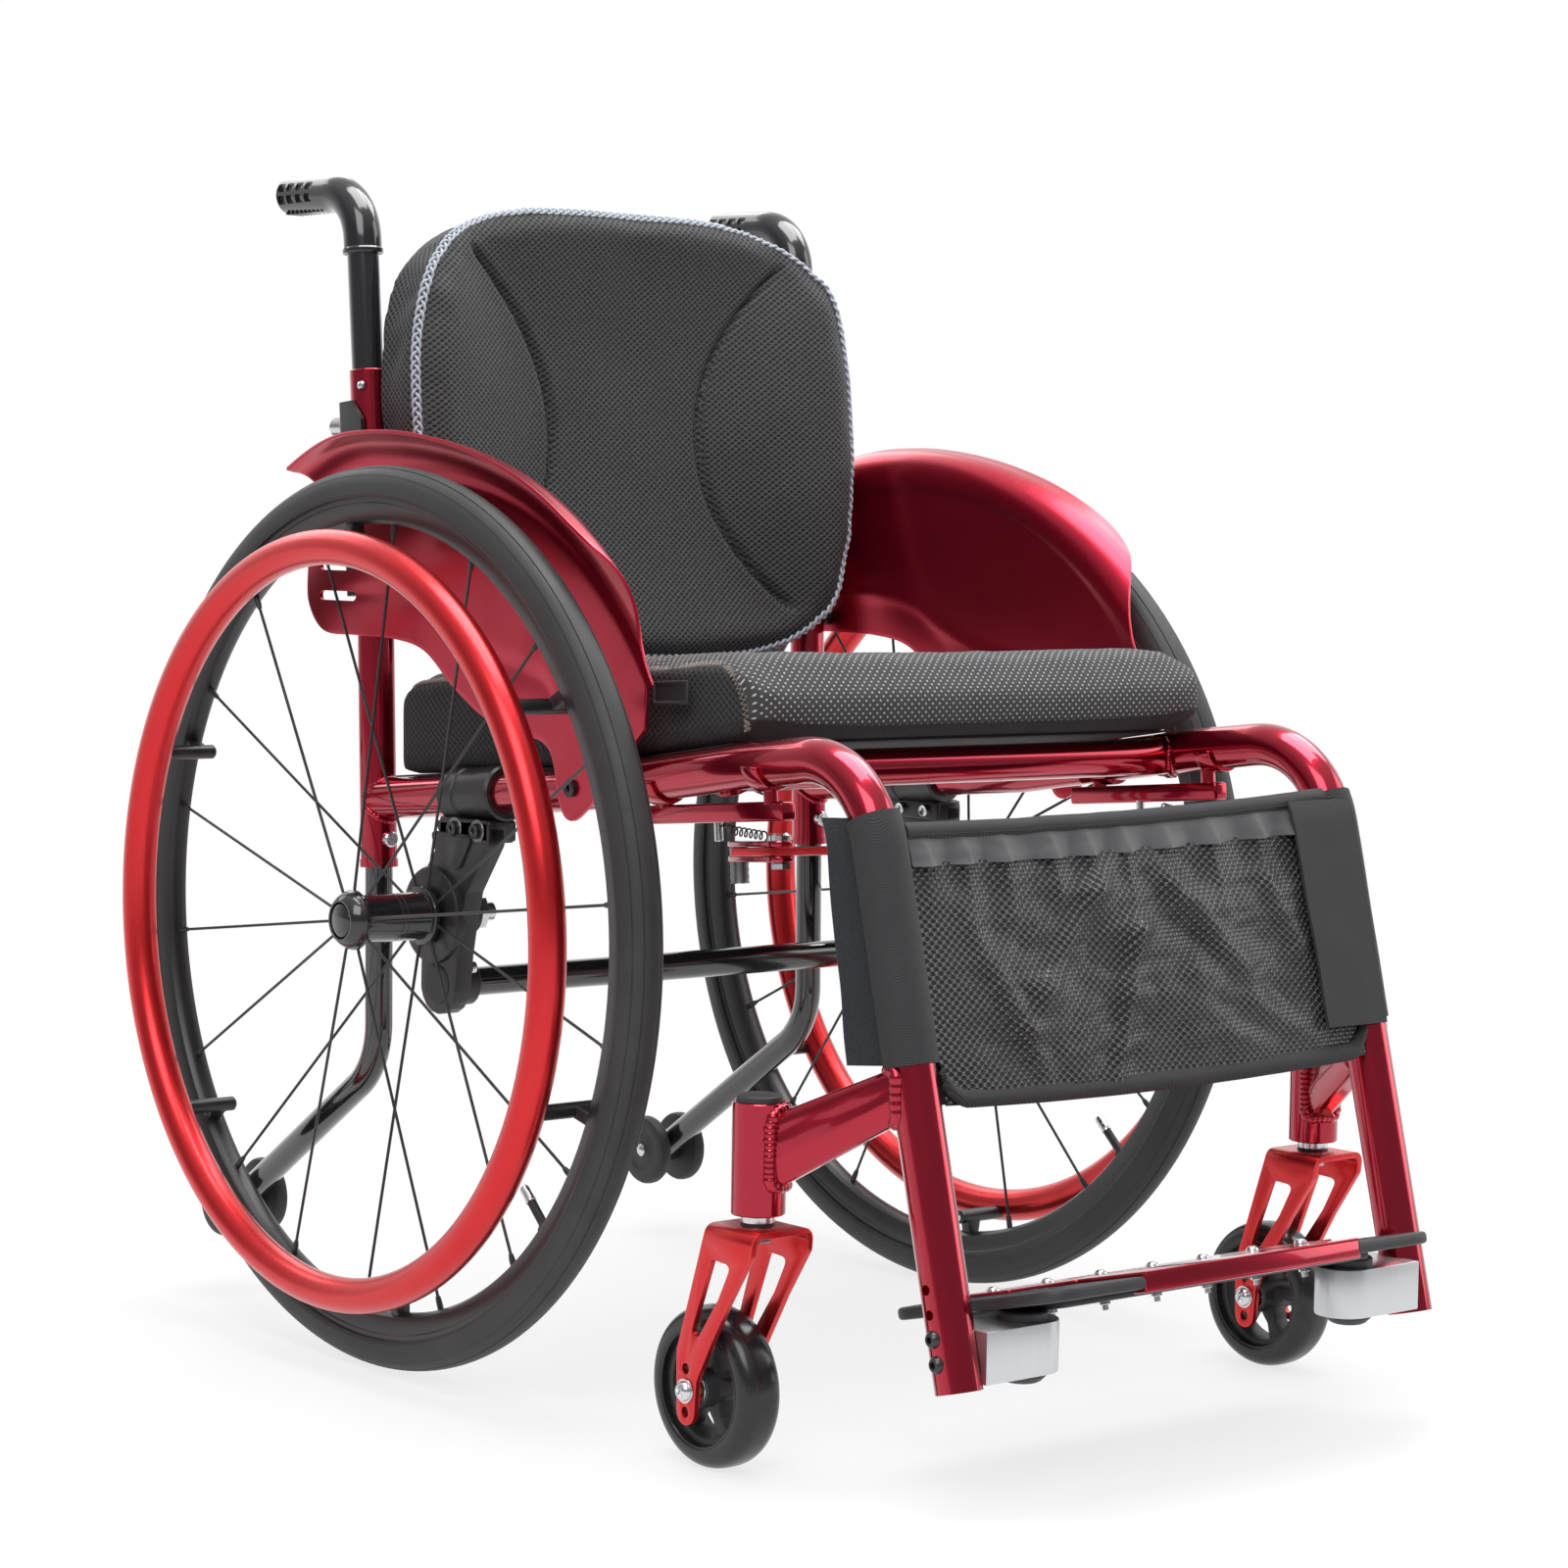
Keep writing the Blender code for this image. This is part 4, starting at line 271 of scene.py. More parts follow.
def coated(name, slot, tones, marks, dust=None, worn_and_lit_edges=None, grain=None, **values):
    """A painted, plated or moulded surface of two tones.

    marks is the roughness, its unevenness and the scratches; dust the scale, detail, roughness,
    low, high and share of a dusty layer, and its tone; the edge values the width, strength and tone
    that lighten sharp edges, as worn coating on the black finishes and as a painted highlight on
    the red ones; grain the scale, detail, strength and depth of the fine relief.
    """
    made, tree, shader = look(name, slot)
    spot = on_surface(tree)
    handled = use(tree, handling, Vector=spot, Roughness=marks[0], Unevenness=marks[1], Scratches=marks[2])
    tone = mixed(tree, handled["Tone"], *tones)
    if dust:
        scale, detail, roughness, low, high, share, grey = dust
        layer = ramp(tree, noised(tree, spot, scale, detail, roughness), low, high, top=share)
        tone = mixed(tree, layer, tone, grey)
    if worn_and_lit_edges:
        tone = mixed(tree, use(tree, edge_wear_and_highlight, Width=worn_and_lit_edges[0], Strength=worn_and_lit_edges[1])["Mask"], tone, worn_and_lit_edges[2])
    if grain:
        values["Normal"] = bumped(tree, noised(tree, spot, grain[0], grain[1]), grain[2], grain[3])
    set_shader(tree, shader, Base_Color=tone, Roughness=handled["Roughness"], **values)
    return made


candy_red = coated("candy_red_paint", "candy_red_paint", ((0.37, 0.002, 0.021), (0.44, 0.003, 0.028)),
                   (0.19, 0.04, 0.02), grain=(60.0, 0.0, 0.02, 0.0004),
                   Metallic=0.90, Coat_Weight=0.75, Coat_Roughness=0.04)

bolt_black = coated("blackened_bolts", None, ((0.035, 0.035, 0.038), (0.10, 0.10, 0.105)),
                    (0.34, 0.2, 0.2), Metallic=0.9)


def bent(points, radii, steps=16):
    """A path through points whose inner corners are arcs of the given radii."""
    points = [Vector(p) for p in points]
    path = [points[0]]
    for before, corner, after, radius in zip(points, points[1:], points[2:], radii):
        back = (before - corner).normalized()
        onward = (after - corner).normalized()
        half = back.angle(onward) / 2
        reach = radius / math.tan(half)
        centre = corner + (back + onward).normalized() * (radius / math.sin(half))
        first = (corner + back * reach - centre).normalized()
        last = (corner + onward * reach - centre).normalized()
        for i in range(steps + 1):
            path.append(centre + first.slerp(last, i / steps) * radius)
    path.append(points[-1])
    return path


def flat_ready(piece, angle=35.0):
    """Puts a piece's place in its mesh and smooths all but its sharp edges."""
    nothing_selected()
    piece.select_set(True)
    bpy.context.view_layer.objects.active = piece
    bpy.ops.object.transform_apply(location=True, rotation=True, scale=True)
    bpy.ops.object.shade_smooth_by_angle(angle=math.radians(angle))
    return piece


def drawn_tube(path, radius, sides=32, swell=None, loop=False):
    """A round bar along a path: a curve given a round bevel and made a mesh."""
    nothing_selected()
    bpy.ops.curve.primitive_bezier_curve_add()
    wire = bpy.context.object
    wire.data.splines.clear()
    line = wire.data.splines.new("POLY")
    line.points.add(len(path) - 1)
    for i, (point, place) in enumerate(zip(line.points, path)):
        point.co = (*place, 1.0)
        point.radius = swell(i) if swell else 1.0
    line.use_cyclic_u = loop
    wire.data.dimensions = "3D"
    wire.data.bevel_depth = radius
    wire.data.bevel_resolution = sides // 2 - 2
    wire.data.use_fill_caps = not loop
    bpy.ops.object.convert(target="MESH")
    return flat_ready(bpy.context.object, 50.0)


def wavy(place, scale, seed=0.0):
    return noise.noise(Vector(place) * scale + Vector((seed, seed * 1.7, -seed)))


def weld_bead(loop, size=0.0022, pitch=0.0032):
    """Overlapping weld pools laid round a closed loop of points, no two quite alike."""
    fine = []
    for a, b in zip(loop, loop[1:] + loop[:1]):
        a, b = Vector(a), Vector(b)
        steps = max(1, round((b - a).length / 0.0007))
        fine += [a.lerp(b, i / steps) for i in range(steps)]
    around_all = sum((b - a).length for a, b in zip(fine, fine[1:] + fine[:1]))
    pools = max(3, round(around_all / pitch)) / len(fine)

    def swell(i):
        uneven = 1 + 0.20 * wavy((int(i * pools) * 3.7, size * 900, around_all * 40), 1.0)
        return (0.84 + 0.17 * abs(math.sin(math.pi * i * pools)) ** 0.6) * uneven

    return drawn_tube(fine, size, 10, swell=swell, loop=True)


def settle(piece, name, finish, body, *nodes):
    """Names a piece, gives it its finish, seats it on a body and hides the nodes it stands for."""
    piece.name = name
    piece.data.name = name
    if finish:
        piece.data.materials.clear()
        piece.data.materials.append(finish)
    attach(piece, body)
    if nodes:
        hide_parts(*nodes)
    return piece


def both(piece, stem, finish, body, *nodes):
    """Settles a left-hand piece and its mirror image; a star in a name stands for the side."""
    twin = piece.copy()
    twin.data = piece.data.copy()
    scene.collection.objects.link(twin)
    twin.data.transform(Matrix.Diagonal((-1.0, 1.0, 1.0, 1.0)))
    twin.data.flip_normals()
    for each, word in ((piece, "left"), (twin, "right")):
        settle(each, f"{stem}_{word}", finish, body.replace("*", word),
               *[n.replace("*", word) for n in nodes])
    return piece, twin


def turned(profile, place=(0.0, 0.0, 0.0), towards=(0.0, 0.0, 1.0), steps=48, angle=35.0):
    """Draws a section of (radius, height) points vertex by vertex and spins it about an axis."""
    nothing_selected()
    bpy.ops.mesh.primitive_plane_add(size=0.02)
    piece = bpy.context.object
    bpy.ops.object.mode_set(mode="EDIT")
    bpy.ops.mesh.merge(type="CENTER")
    bpy.ops.transform.translate(value=(profile[0][0], 0.0, profile[0][1]))
    for (r0, z0), (r1, z1) in zip(profile, profile[1:]):
        bpy.ops.mesh.extrude_vertices_move(TRANSFORM_OT_translate={"value": (r1 - r0, 0.0, z1 - z0)})
    bpy.ops.mesh.select_all(action="SELECT")
    bpy.ops.mesh.spin(steps=steps, angle=math.tau, center=(0.0, 0.0, 0.0), axis=(0.0, 0.0, 1.0))
    bpy.ops.mesh.select_all(action="SELECT")
    bpy.ops.mesh.remove_doubles(threshold=2e-6)
    bpy.ops.mesh.normals_make_consistent(inside=False)
    bpy.ops.object.mode_set(mode="OBJECT")
    turn = Vector(towards).to_track_quat("Z", "Y").to_matrix().to_4x4()
    piece.data.transform(Matrix.Translation(place) @ turn)
    return flat_ready(piece, angle)


def joined(*pieces):
    """Several finished shapes as one piece."""
    nothing_selected()
    for piece in pieces:
        piece.select_set(True)
    bpy.context.view_layer.objects.active = pieces[0]
    bpy.ops.object.join()
    return pieces[0]


def cornered(points, radius, steps=5):
    """A closed outline, its corners rounded as far as its sides allow; a third value of 0 keeps one sharp."""
    loop = []
    for i, point in enumerate(points):
        corner = Vector(point[:2])
        if len(point) > 2:
            loop.append(corner)
            continue
        back = Vector(points[i - 1][:2]) - corner
        onward = Vector(points[(i + 1) % len(points)][:2]) - corner
        reach = min(radius / math.tan(back.angle(onward) / 2), 0.46 * back.length, 0.46 * onward.length)
        first, last = corner + back.normalized() * reach, corner + onward.normalized() * reach
        for k in range(steps + 1):
            t = k / steps
            loop.append(first * (1 - t) ** 2 + corner * 2 * t * (1 - t) + last * t ** 2)
    return loop


def circled(centre, radius, count=28):
    turns = [math.tau * i / count for i in range(count)]
    return [(centre[0] + radius * math.cos(a), centre[1] + radius * math.sin(a)) for a in turns]


def plate(outline, thickness, holes=(), stand=Matrix.Identity(4), edge=0.0006):
    """A flat part: an outline with holes in local XY, its thickness centred on Z = 0, its edges broken."""
    nothing_selected()
    bpy.ops.curve.primitive_bezier_circle_add()
    drawing = bpy.context.object
    drawing.data.splines.clear()
    drawing.data.dimensions = "2D"
    drawing.data.fill_mode = "BOTH"
    drawing.data.extrude = thickness / 2 - edge
    drawing.data.bevel_depth = edge
    drawing.data.bevel_resolution = 1
    drawing.data.offset = -edge
    for loop in (outline, *holes):
        line = drawing.data.splines.new("POLY")
        line.points.add(len(loop) - 1)
        for point, place in zip(line.points, loop):
            point.co = (place[0], place[1], 0.0, 1.0)
        line.use_cyclic_u = True
    bpy.ops.object.convert(target="MESH")
    piece = bpy.context.object
    bpy.ops.object.mode_set(mode="EDIT")
    bpy.ops.mesh.select_all(action="SELECT")
    bpy.ops.mesh.remove_doubles(threshold=2e-6)
    bpy.ops.mesh.normals_make_consistent(inside=False)
    bpy.ops.object.mode_set(mode="OBJECT")
    piece.data.transform(stand)
    return flat_ready(piece, 25.0)


def upright_sheet(x):
    """Stands a plate's XY in the side view, YZ, at x."""
    return Matrix(((0, 0, 1, x), (1, 0, 0, 0), (0, 1, 0, 0), (0, 0, 0, 1)))


def block(size, stand, edge, segments=3, along=None):
    """A cube of a size, its edges rounded; with along, only the edges that run on that axis."""
    nothing_selected()
    bpy.ops.mesh.primitive_cube_add(size=1.0)
    piece = bpy.context.object
    piece.scale = size
    bpy.ops.object.transform_apply(scale=True)
    bpy.ops.object.mode_set(mode="EDIT")
    bpy.ops.mesh.select_mode(type="EDGE")
    bpy.ops.mesh.select_all(action="DESELECT")
    bpy.ops.object.mode_set(mode="OBJECT")
    for line in piece.data.edges:
        run = piece.data.vertices[line.vertices[0]].co - piece.data.vertices[line.vertices[1]].co
        line.select = along is None or abs(run[along]) > 1e-6
    bpy.ops.object.mode_set(mode="EDIT")
    bpy.ops.mesh.bevel(offset=edge, segments=segments, affect="EDGES")
    bpy.ops.mesh.select_mode(type="VERT")
    bpy.ops.object.mode_set(mode="OBJECT")
    piece.data.transform(stand)
    return flat_ready(piece)


def bar(start, end, radius, sides=32, edge=0.0005):
    """A round bar between two points with its rims broken."""
    length = (Vector(end) - Vector(start)).length
    section = [(0.0, length), (radius - edge, length), (radius, length - edge), (radius, edge),
               (radius - edge, 0.0), (0.0, 0.0)]
    return turned(section, start, Vector(end) - Vector(start), sides)


def altered(piece, kind, **settings):
    """Puts a modifier on a piece, sets it and applies it."""
    nothing_selected()
    bpy.context.view_layer.objects.active = piece
    change = piece.modifiers.new(kind.lower(), kind)
    for name, value in settings.items():
        setattr(change, name, value)
    bpy.ops.object.modifier_apply(modifier=change.name)
    return piece


def cut_by(piece, *cutters, keep="DIFFERENCE"):
    """Takes cutters out of a piece with exact Booleans, or keeps what they share, then deletes them."""
    for cutter in cutters:
        altered(piece, "BOOLEAN", operation=keep, solver="EXACT", object=cutter)
        bpy.data.objects.remove(cutter, do_unlink=True)
    return piece


outboard = (1.0, 0.0, 0.0)
rail_x = 0.194
tube_radius, leg_wall = 0.0142, 0.0018
upright_radius, upright_foot_z, upright_lean = 0.0127, 0.3246, 0.0400
rail_rear = (axle_y + 0.0920, 0.3716)
rail_mid = (axle_y - 0.1427, 0.3927)
rail_front = (axle_y - 0.3147, 0.4187)
front_corner = (axle_y - 0.4236, 0.4313)
leg_foot = (axle_y - 0.5150, 0.0700)


def between(z_or_y, low, high, key):
    """The other coordinate of a point on the line from low to high in the side view."""
    other = 1 - key
    share = (z_or_y - low[key]) / (high[key] - low[key])
    return low[other] + (high[other] - low[other]) * share


def leg_y(z):
    return between(z, front_corner, leg_foot, 1)


def rail_z(y):
    if y > rail_mid[0]:
        return between(y, rail_rear, rail_mid, 0)
    return between(y, rail_mid, rail_front, 0) if y > rail_front[0] else between(y, rail_front,
                                                                                 front_corner, 0)


def upright_y(z):
    return axle_y + 0.0912 + upright_lean * (z - upright_foot_z)


def upright_at(z):
    return Vector((rail_x, upright_y(z), z))


side_line = bent([(rail_x, *p) for p in (rail_rear, rail_mid, rail_front, front_corner, leg_foot)],
                 (0.30, 0.30, 0.062))
side_tube = drawn_tube(side_line, tube_radius, 48)
leg_end = Vector((rail_x, *leg_foot))
leg_ahead = (leg_end - Vector((rail_x, *front_corner))).normalized()
foot_bore = drawn_tube([side_line[-1] - leg_ahead * 0.030, side_line[-1] + leg_ahead * 0.010],
                       tube_radius - leg_wall, 48)
bolt_holes = []
for z in (0.1145, 0.1285):
    place = Vector((rail_x, leg_y(z), z))
    bolt_holes.append(drawn_tube([place + Vector((0.008, 0, 0)), place + Vector((0.020, 0, 0))],
                                 0.0031, 16))
cut_by(side_tube, foot_bore, *bolt_holes)
flat_ready(side_tube, 30.0)
both(side_tube, "side_tube", candy_red, "chassis", "side_frame_*")

hinge_z = 0.555
upright = drawn_tube([upright_at(upright_foot_z), upright_at(hinge_z - 0.0129)], upright_radius, 40)
foot_ring = drawn_tube([upright_at(upright_foot_z), upright_at(0.3300)], 0.0134, 40)
both(joined(upright, foot_ring), "upright", candy_red, "chassis")

leg_bolts = []
for z in (0.0870, 0.1010):
    leg_bolts.append(turned(
        [(0.0, 0.0012), (0.0018, 0.0012), (0.0021, 0.0034), (0.0036, 0.0032), (0.0048, 0.0020),
         (0.0052, 0.0006), (0.0053, -0.003), (0.0, -0.003)],
        (rail_x + tube_radius - 0.0004, leg_y(z), z), outboard, 24))
both(joined(*leg_bolts), "leg_bolts", bolt_black, "chassis")

steel = coated("bright_steel", "bright_steel", ((0.56, 0.56, 0.58), (0.82, 0.82, 0.84)),
               (0.20, 0.16, 0.25), Metallic=1.0)

clamp_z = 0.3446
clamp_middle = upright_at(clamp_z)
clamp_bolt = drawn_tube([clamp_middle + Vector((0, s * 0.0177, 0)) for s in (-1, 1)], 0.0030, 16)
clamp_caps = [
    turned([(0.0, 0.0046), (0.0045, 0.0046), (0.0055, 0.0036), (0.0055, 0.0), (0.0, 0.0)],
           clamp_middle + Vector((0, s * 0.0125, 0)), (0.0, s, 0.0), 6 if s > 0 else 20)
    for s in (-1, 1)
]
both(joined(clamp_bolt, *clamp_caps), "clamp_bolt", steel, "chassis")

# Front cross tube: a 24 mm tube welded between the side tubes under the front of the seat,
# with a bead of weld round each end.
cross_y = axle_y - 0.2900
cross_drop = 0.0022
cross_z = rail_z(cross_y) - cross_drop
cross_radius, bead_reach = 0.0122, 0.0130
cross = drawn_tube([(s * rail_x, cross_y, cross_z) for s in (-1, 1)], cross_radius, 48)
settle(cross, "front_cross_tube_red", candy_red, "chassis", "front_cross_tube")
ring = []
for i in range(72):
    a = math.tau * i / 72
    lift = bead_reach * math.sin(a)
    inward = math.sqrt(max(0.0, (tube_radius + 0.0002) ** 2 - (lift - cross_drop) ** 2))
    ring.append((rail_x - inward - 0.0008, cross_y + bead_reach * math.cos(a), cross_z + lift))
both(weld_bead(ring), "cross_tube_weld", candy_red, "chassis")

ring = []
up_low = rail_z(rail_rear[0])
for i in range(84):
    a = math.tau * i / 84
    spread = 0.0136 * math.cos(a)
    depth = math.sqrt((upright_radius + 0.0006) ** 2 - min(0.0130, abs(spread)) ** 2)
    ring.append((rail_x + spread, upright_y(up_low) - depth - 0.0006, up_low + 0.0146 * math.sin(a)))
both(weld_bead(ring), "upright_weld", candy_red, "chassis")


# Rear wheels. Each is a deep black alloy rim with eighteen straight spokes, a black rubber
# tyre with a slick, finely lined crown, and a red anodised handrim held on six short tabs.
# The hub is a turned barrel, pulled through by a long axle that a button in its end lets go.

wheel_x = 0.2531
wheel_radius = 0.300
tyre_half = 0.0145
rim_seat = 0.280
rim_inner = 0.2615
rim_half = 0.0108
wheel_spot = (wheel_x, axle_y, wheel_radius)

tyre_rubber = coated("tyre_rubber", "tyre_rubber", ((0.020, 0.020, 0.021), (0.034, 0.034, 0.035)),
                     (0.56, 0.22, 0.06),
                     dust=(9.0, 6.0, 0.7, 0.42, 0.80, 0.55, (0.060, 0.059, 0.058)),
                     grain=(1500.0, 2.0, 0.16, 0.0003), Specular_IOR_Level=0.42)

satin_black = coated("satin_black_metal", "black_metal", ((0.009, 0.009, 0.010), (0.018, 0.018, 0.020)),
                     (0.36, 0.16, 0.16), worn_and_lit_edges=(0.0006, 0.5, (0.13, 0.13, 0.14)),
                     grain=(1900.0, 1.0, 0.09, 0.0003), Specular_IOR_Level=0.55)

# Its pink edge tone is a painted highlight along sharp edges, on the fork strap and hand lever too.
handrim_red = coated("handrim_red", "handrim_red", ((0.56, 0.012, 0.018), (0.70, 0.024, 0.028)),
                     (0.30, 0.14, 0.16),
                     worn_and_lit_edges=(0.0009, 0.6, (0.86, 0.20, 0.18)), grain=(2400.0, 1.0, 0.08, 0.0003),
                     Metallic=0.85, Coat_Weight=0.35, Coat_Roughness=0.22)

tyre_depth = wheel_radius - rim_seat
moulded_lines = (26.5, 52.5)
turns = [math.pi * (i / 36 - 0.5) for i in range(37)]
for line in moulded_lines:
    turns += [s * math.radians(line + step) for s in (-1, 1) for step in (-2.4, -1.3, 1.3, 2.4)]
crown = []
for a in sorted(turns):
    off_line = min(abs(abs(math.degrees(a)) - line) for line in moulded_lines)
    radius = rim_seat + 0.0012 + (tyre_depth - 0.0012) * max(0.0, math.cos(a)) ** 0.86
    crown.append((radius - (0.0007 if off_line < 1.6 else 0.0), math.sin(a) * tyre_half))
tyre_foot = [(rim_seat - 0.0010, tyre_half - 0.0012), (rim_seat - 0.0010, -tyre_half + 0.0012)]
tyre = turned(crown + tyre_foot + crown[:1], wheel_spot, outboard, 180, 28.0)

# A 3 mm step between tyre bead and rim wall, as on the real rim's hooked edge.
rim_section = [
    (rim_seat + 0.0002, -rim_half), (rim_seat + 0.0002, rim_half),
    (rim_seat - 0.0004, rim_half + 0.0004), (rim_seat - 0.0040, rim_half + 0.0002),
    (rim_seat - 0.0052, rim_half - 0.0008), (rim_seat - 0.0125, rim_half - 0.0014),
    (rim_inner + 0.0024, rim_half * 0.70), (rim_inner + 0.0006, rim_half * 0.45),
    (rim_inner, rim_half * 0.2), (rim_inner, -rim_half * 0.2), (rim_inner + 0.0006, -rim_half * 0.45),
    (rim_inner + 0.0024, -rim_half * 0.70), (rim_seat - 0.0125, -rim_half + 0.0014),
    (rim_seat - 0.0052, -rim_half + 0.0008), (rim_seat - 0.0040, -rim_half - 0.0002),
    (rim_seat - 0.0004, -rim_half - 0.0004), (rim_seat + 0.0002, -rim_half),
]
rim = turned(rim_section, wheel_spot, outboard, 180, 28.0)
both(tyre, "tyre_rubber", tyre_rubber, "wheel_*", "tyre_*")


def around(angle, radius, x):
    """A point at an angle round the axle, 0 behind and 90 above it, and x outboard of the wheel's middle."""
    a = math.radians(angle)
    return Vector((wheel_x + x, axle_y + radius * math.cos(a), wheel_radius + radius * math.sin(a)))


spoke_count = 18
spokes, nipples = [], []
for i in range(spoke_count):
    angle = 13.0 + 360.0 / spoke_count * i
    flange = -0.0330 if i % 2 else 0.0211
    foot, head = around(angle, 0.0165, flange), around(angle, rim_inner + 0.002, 0.0)
    spokes.append(drawn_tube([foot, head], 0.00105, 10))
    run = (foot - head).normalized()
    nipples.append(turned([(0.0, 0.0), (0.0021, 0.0), (0.0021, 0.0085), (0.0016, 0.0120), (0.0, 0.0122)],
                          head - run * 0.001, run, 10))
wire = joined(*spokes)
nipple = joined(*nipples)

# The hub is turned from bar: a domed outer end with the release button in a recess, a plain
# barrel with two fine ring lines, and two flanges that the spokes hook into.
hub_section = [
    (0.0, -0.0376), (0.0110, -0.0376), (0.0116, -0.0372), (0.0118, -0.0362), (0.0196, -0.0352),
    (0.0200, -0.0346), (0.0200, -0.0318), (0.0194, -0.0312), (0.0165, -0.0306), (0.0161, -0.0290),
    (0.0160, -0.0130), (0.0156, -0.0128), (0.0156, -0.0122), (0.0160, -0.0120), (0.0160, -0.0090),
    (0.0156, -0.0088), (0.0156, -0.0082), (0.0160, -0.0080), (0.0160, 0.0168), (0.0166, 0.0188),
    (0.0194, 0.0194), (0.0200, 0.0200), (0.0200, 0.0222), (0.0196, 0.0229), (0.0190, 0.0250),
    (0.0175, 0.0278), (0.0152, 0.0304), (0.0136, 0.0316), (0.0124, 0.0316), (0.0121, 0.0310),
    (0.0121, 0.0262), (0.0, 0.0262),
]
hub = turned(hub_section, wheel_spot, outboard, 72, 32.0)

gloss_black = coated("gloss_black", "gloss_black", ((0.006, 0.006, 0.007), (0.013, 0.013, 0.015)),
                     (0.16, 0.12, 0.16),
                     worn_and_lit_edges=(0.0007, 0.5, (0.11, 0.11, 0.12)), Coat_Weight=0.6, Coat_Roughness=0.07)

both(hub, "hub_barrel", gloss_black, "wheel_*", "spoked_hub_*")
both(rim, "rim_hoop", satin_black, "wheel_*", "rim_*")
both(joined(wire, nipple), "spokes", satin_black, "wheel_*", "spoked_hub_*")

# The tabs are black posts on lugs under the rim, each with the handrim's screw in its inner end.
tab_count = 6
handrim_radius, handrim_tube = 0.2459, 0.0118
handrim_x = 0.0407
post_radius = 0.2500
tab_pieces, tab_screws = [], []
for i in range(tab_count):
    angle = 23.0 + 360.0 / tab_count * i
    outward = (around(angle, 1.0, 0.0) - around(angle, 0.0, 0.0)).normalized()
    axes = Matrix((Vector(outboard), outward, Vector(outboard).cross(outward))).transposed().to_4x4()
    inner_end = around(angle, post_radius, -0.0100)
    post = [(0.0, 0.0), (0.0036, 0.0), (0.0050, 0.0014), (0.0050, 0.0455), (0.0, 0.0455)]
    tab_pieces.append(turned(post, inner_end, outboard, 24))
    lug_top = rim_inner + 0.0028 - post_radius
    lug = cornered([(-0.0040, 0.0), (0.0100, 0.0), (0.0060, lug_top), (-0.0030, lug_top)], 0.0016)
    tab_pieces.append(plate(lug, 0.0084, (), Matrix.Translation(around(angle, post_radius, 0.0)) @ axes,
                            0.0010))
    screw_head = [(0.0, 0.0014), (0.0016, 0.0013), (0.0029, 0.0), (0.0, 0.0)]
    tab_screws.append(turned(screw_head, inner_end, (-1.0, 0.0, 0.0), 20))
both(joined(*tab_pieces), "handrim_tabs", satin_black, "wheel_*")
both(joined(*tab_screws), "tab_screws", steel, "wheel_*")

ring = [around(i * 2.0, handrim_radius, handrim_x) for i in range(180)]
both(drawn_tube(ring, handrim_tube, 40, loop=True), "handrim_ring", handrim_red, "wheel_*", "handrim_*")

button = turned(
    [(0.0, 0.0060), (0.0085, 0.0058), (0.0108, 0.0048), (0.0116, 0.0034), (0.0116, -0.0030),
     (0.0, -0.0030)],
    around(0.0, 0.0, 0.0262), outboard, 48)
both(button, "release_button", gloss_black, "wheel_button_*", "wheel_button_*")

valve_angle = -137.0
valve_run = (around(valve_angle, 0.0, 0.0) - around(valve_angle, 1.0, 0.0)).normalized()
valve_foot = around(valve_angle, rim_inner + 0.001, 0.0)
stem = turned([(0.0, -0.002), (0.0052, -0.002), (0.0052, 0.0016), (0.0038, 0.0030), (0.0030, 0.0050),
               (0.0030, 0.0225), (0.0, 0.0225)],
              valve_foot, valve_run, 28)
both(stem, "valve_stem", tyre_rubber, "wheel_*")
cap_section = [(0.0, 0.0215), (0.0034, 0.0215), (0.0036, 0.0225), (0.0036, 0.0235), (0.0032, 0.0240),
               (0.0032, 0.0320), (0.0026, 0.0338), (0.0, 0.0340)]
both(turned(cap_section, valve_foot, valve_run, 28), "valve_cap", steel, "wheel_*")


# Caster arms. Each is a short rectangular tube with rounded corners, welded to the leg at one
# end and to the head tube at the other. A dust cap closes the head tube over its bearings.

caster_x = 0.240
caster_y = axle_y - 0.386
head_bottom, head_top, head_radius = 0.159, 0.226, 0.01625
arm_root = Vector((rail_x, axle_y - 0.4745, 0.2425))
arm_tip = Vector((caster_x, caster_y, 0.1915))
arm_way = (arm_tip - arm_root).normalized()
arm_side = arm_way.cross(Vector((0.0, 0.0, 1.0))).normalized()
arm_up = arm_side.cross(arm_way).normalized()
arm_axes = Matrix((arm_side, arm_way, arm_up)).transposed().to_4x4()
arm_size = (0.022, (arm_tip - arm_root).length, 0.038)


def arm_rise(along):
    """How tall the arm is at a place along it, -0.5 at the leg to 0.5 at the head, as a share."""
    return 0.94 + 0.36 * along


arm = block(arm_size, Matrix.Identity(4), 0.0062, 5, along=1)
bpy.ops.object.mode_set(mode="EDIT")
bpy.ops.mesh.select_all(action="SELECT")
bpy.ops.mesh.subdivide(number_cuts=14)
bpy.ops.object.mode_set(mode="OBJECT")
for vertex in arm.data.vertices:
    across, along = vertex.co.x / arm_size[0] * 2, vertex.co.y / arm_size[1]
    rise = vertex.co.z / arm_size[2] * 2
    dent = 0.0007 * wavy((across, along * 2.2, rise * 0.7), 1.6, 3.0)
    dent += 0.0004 * wavy((across, along * 5.0, rise * 1.6), 2.0, 6.0)
    lean = 0.36 * max(0.0, -rise - 0.25) + 0.14 * max(0.0, rise + 0.15)
    vertex.co.x *= 1 - lean + dent * 60 * (1 - rise * rise)
    vertex.co.z *= arm_rise(along)
arm.data.transform(Matrix.Translation((arm_root + arm_tip) / 2) @ arm_axes)
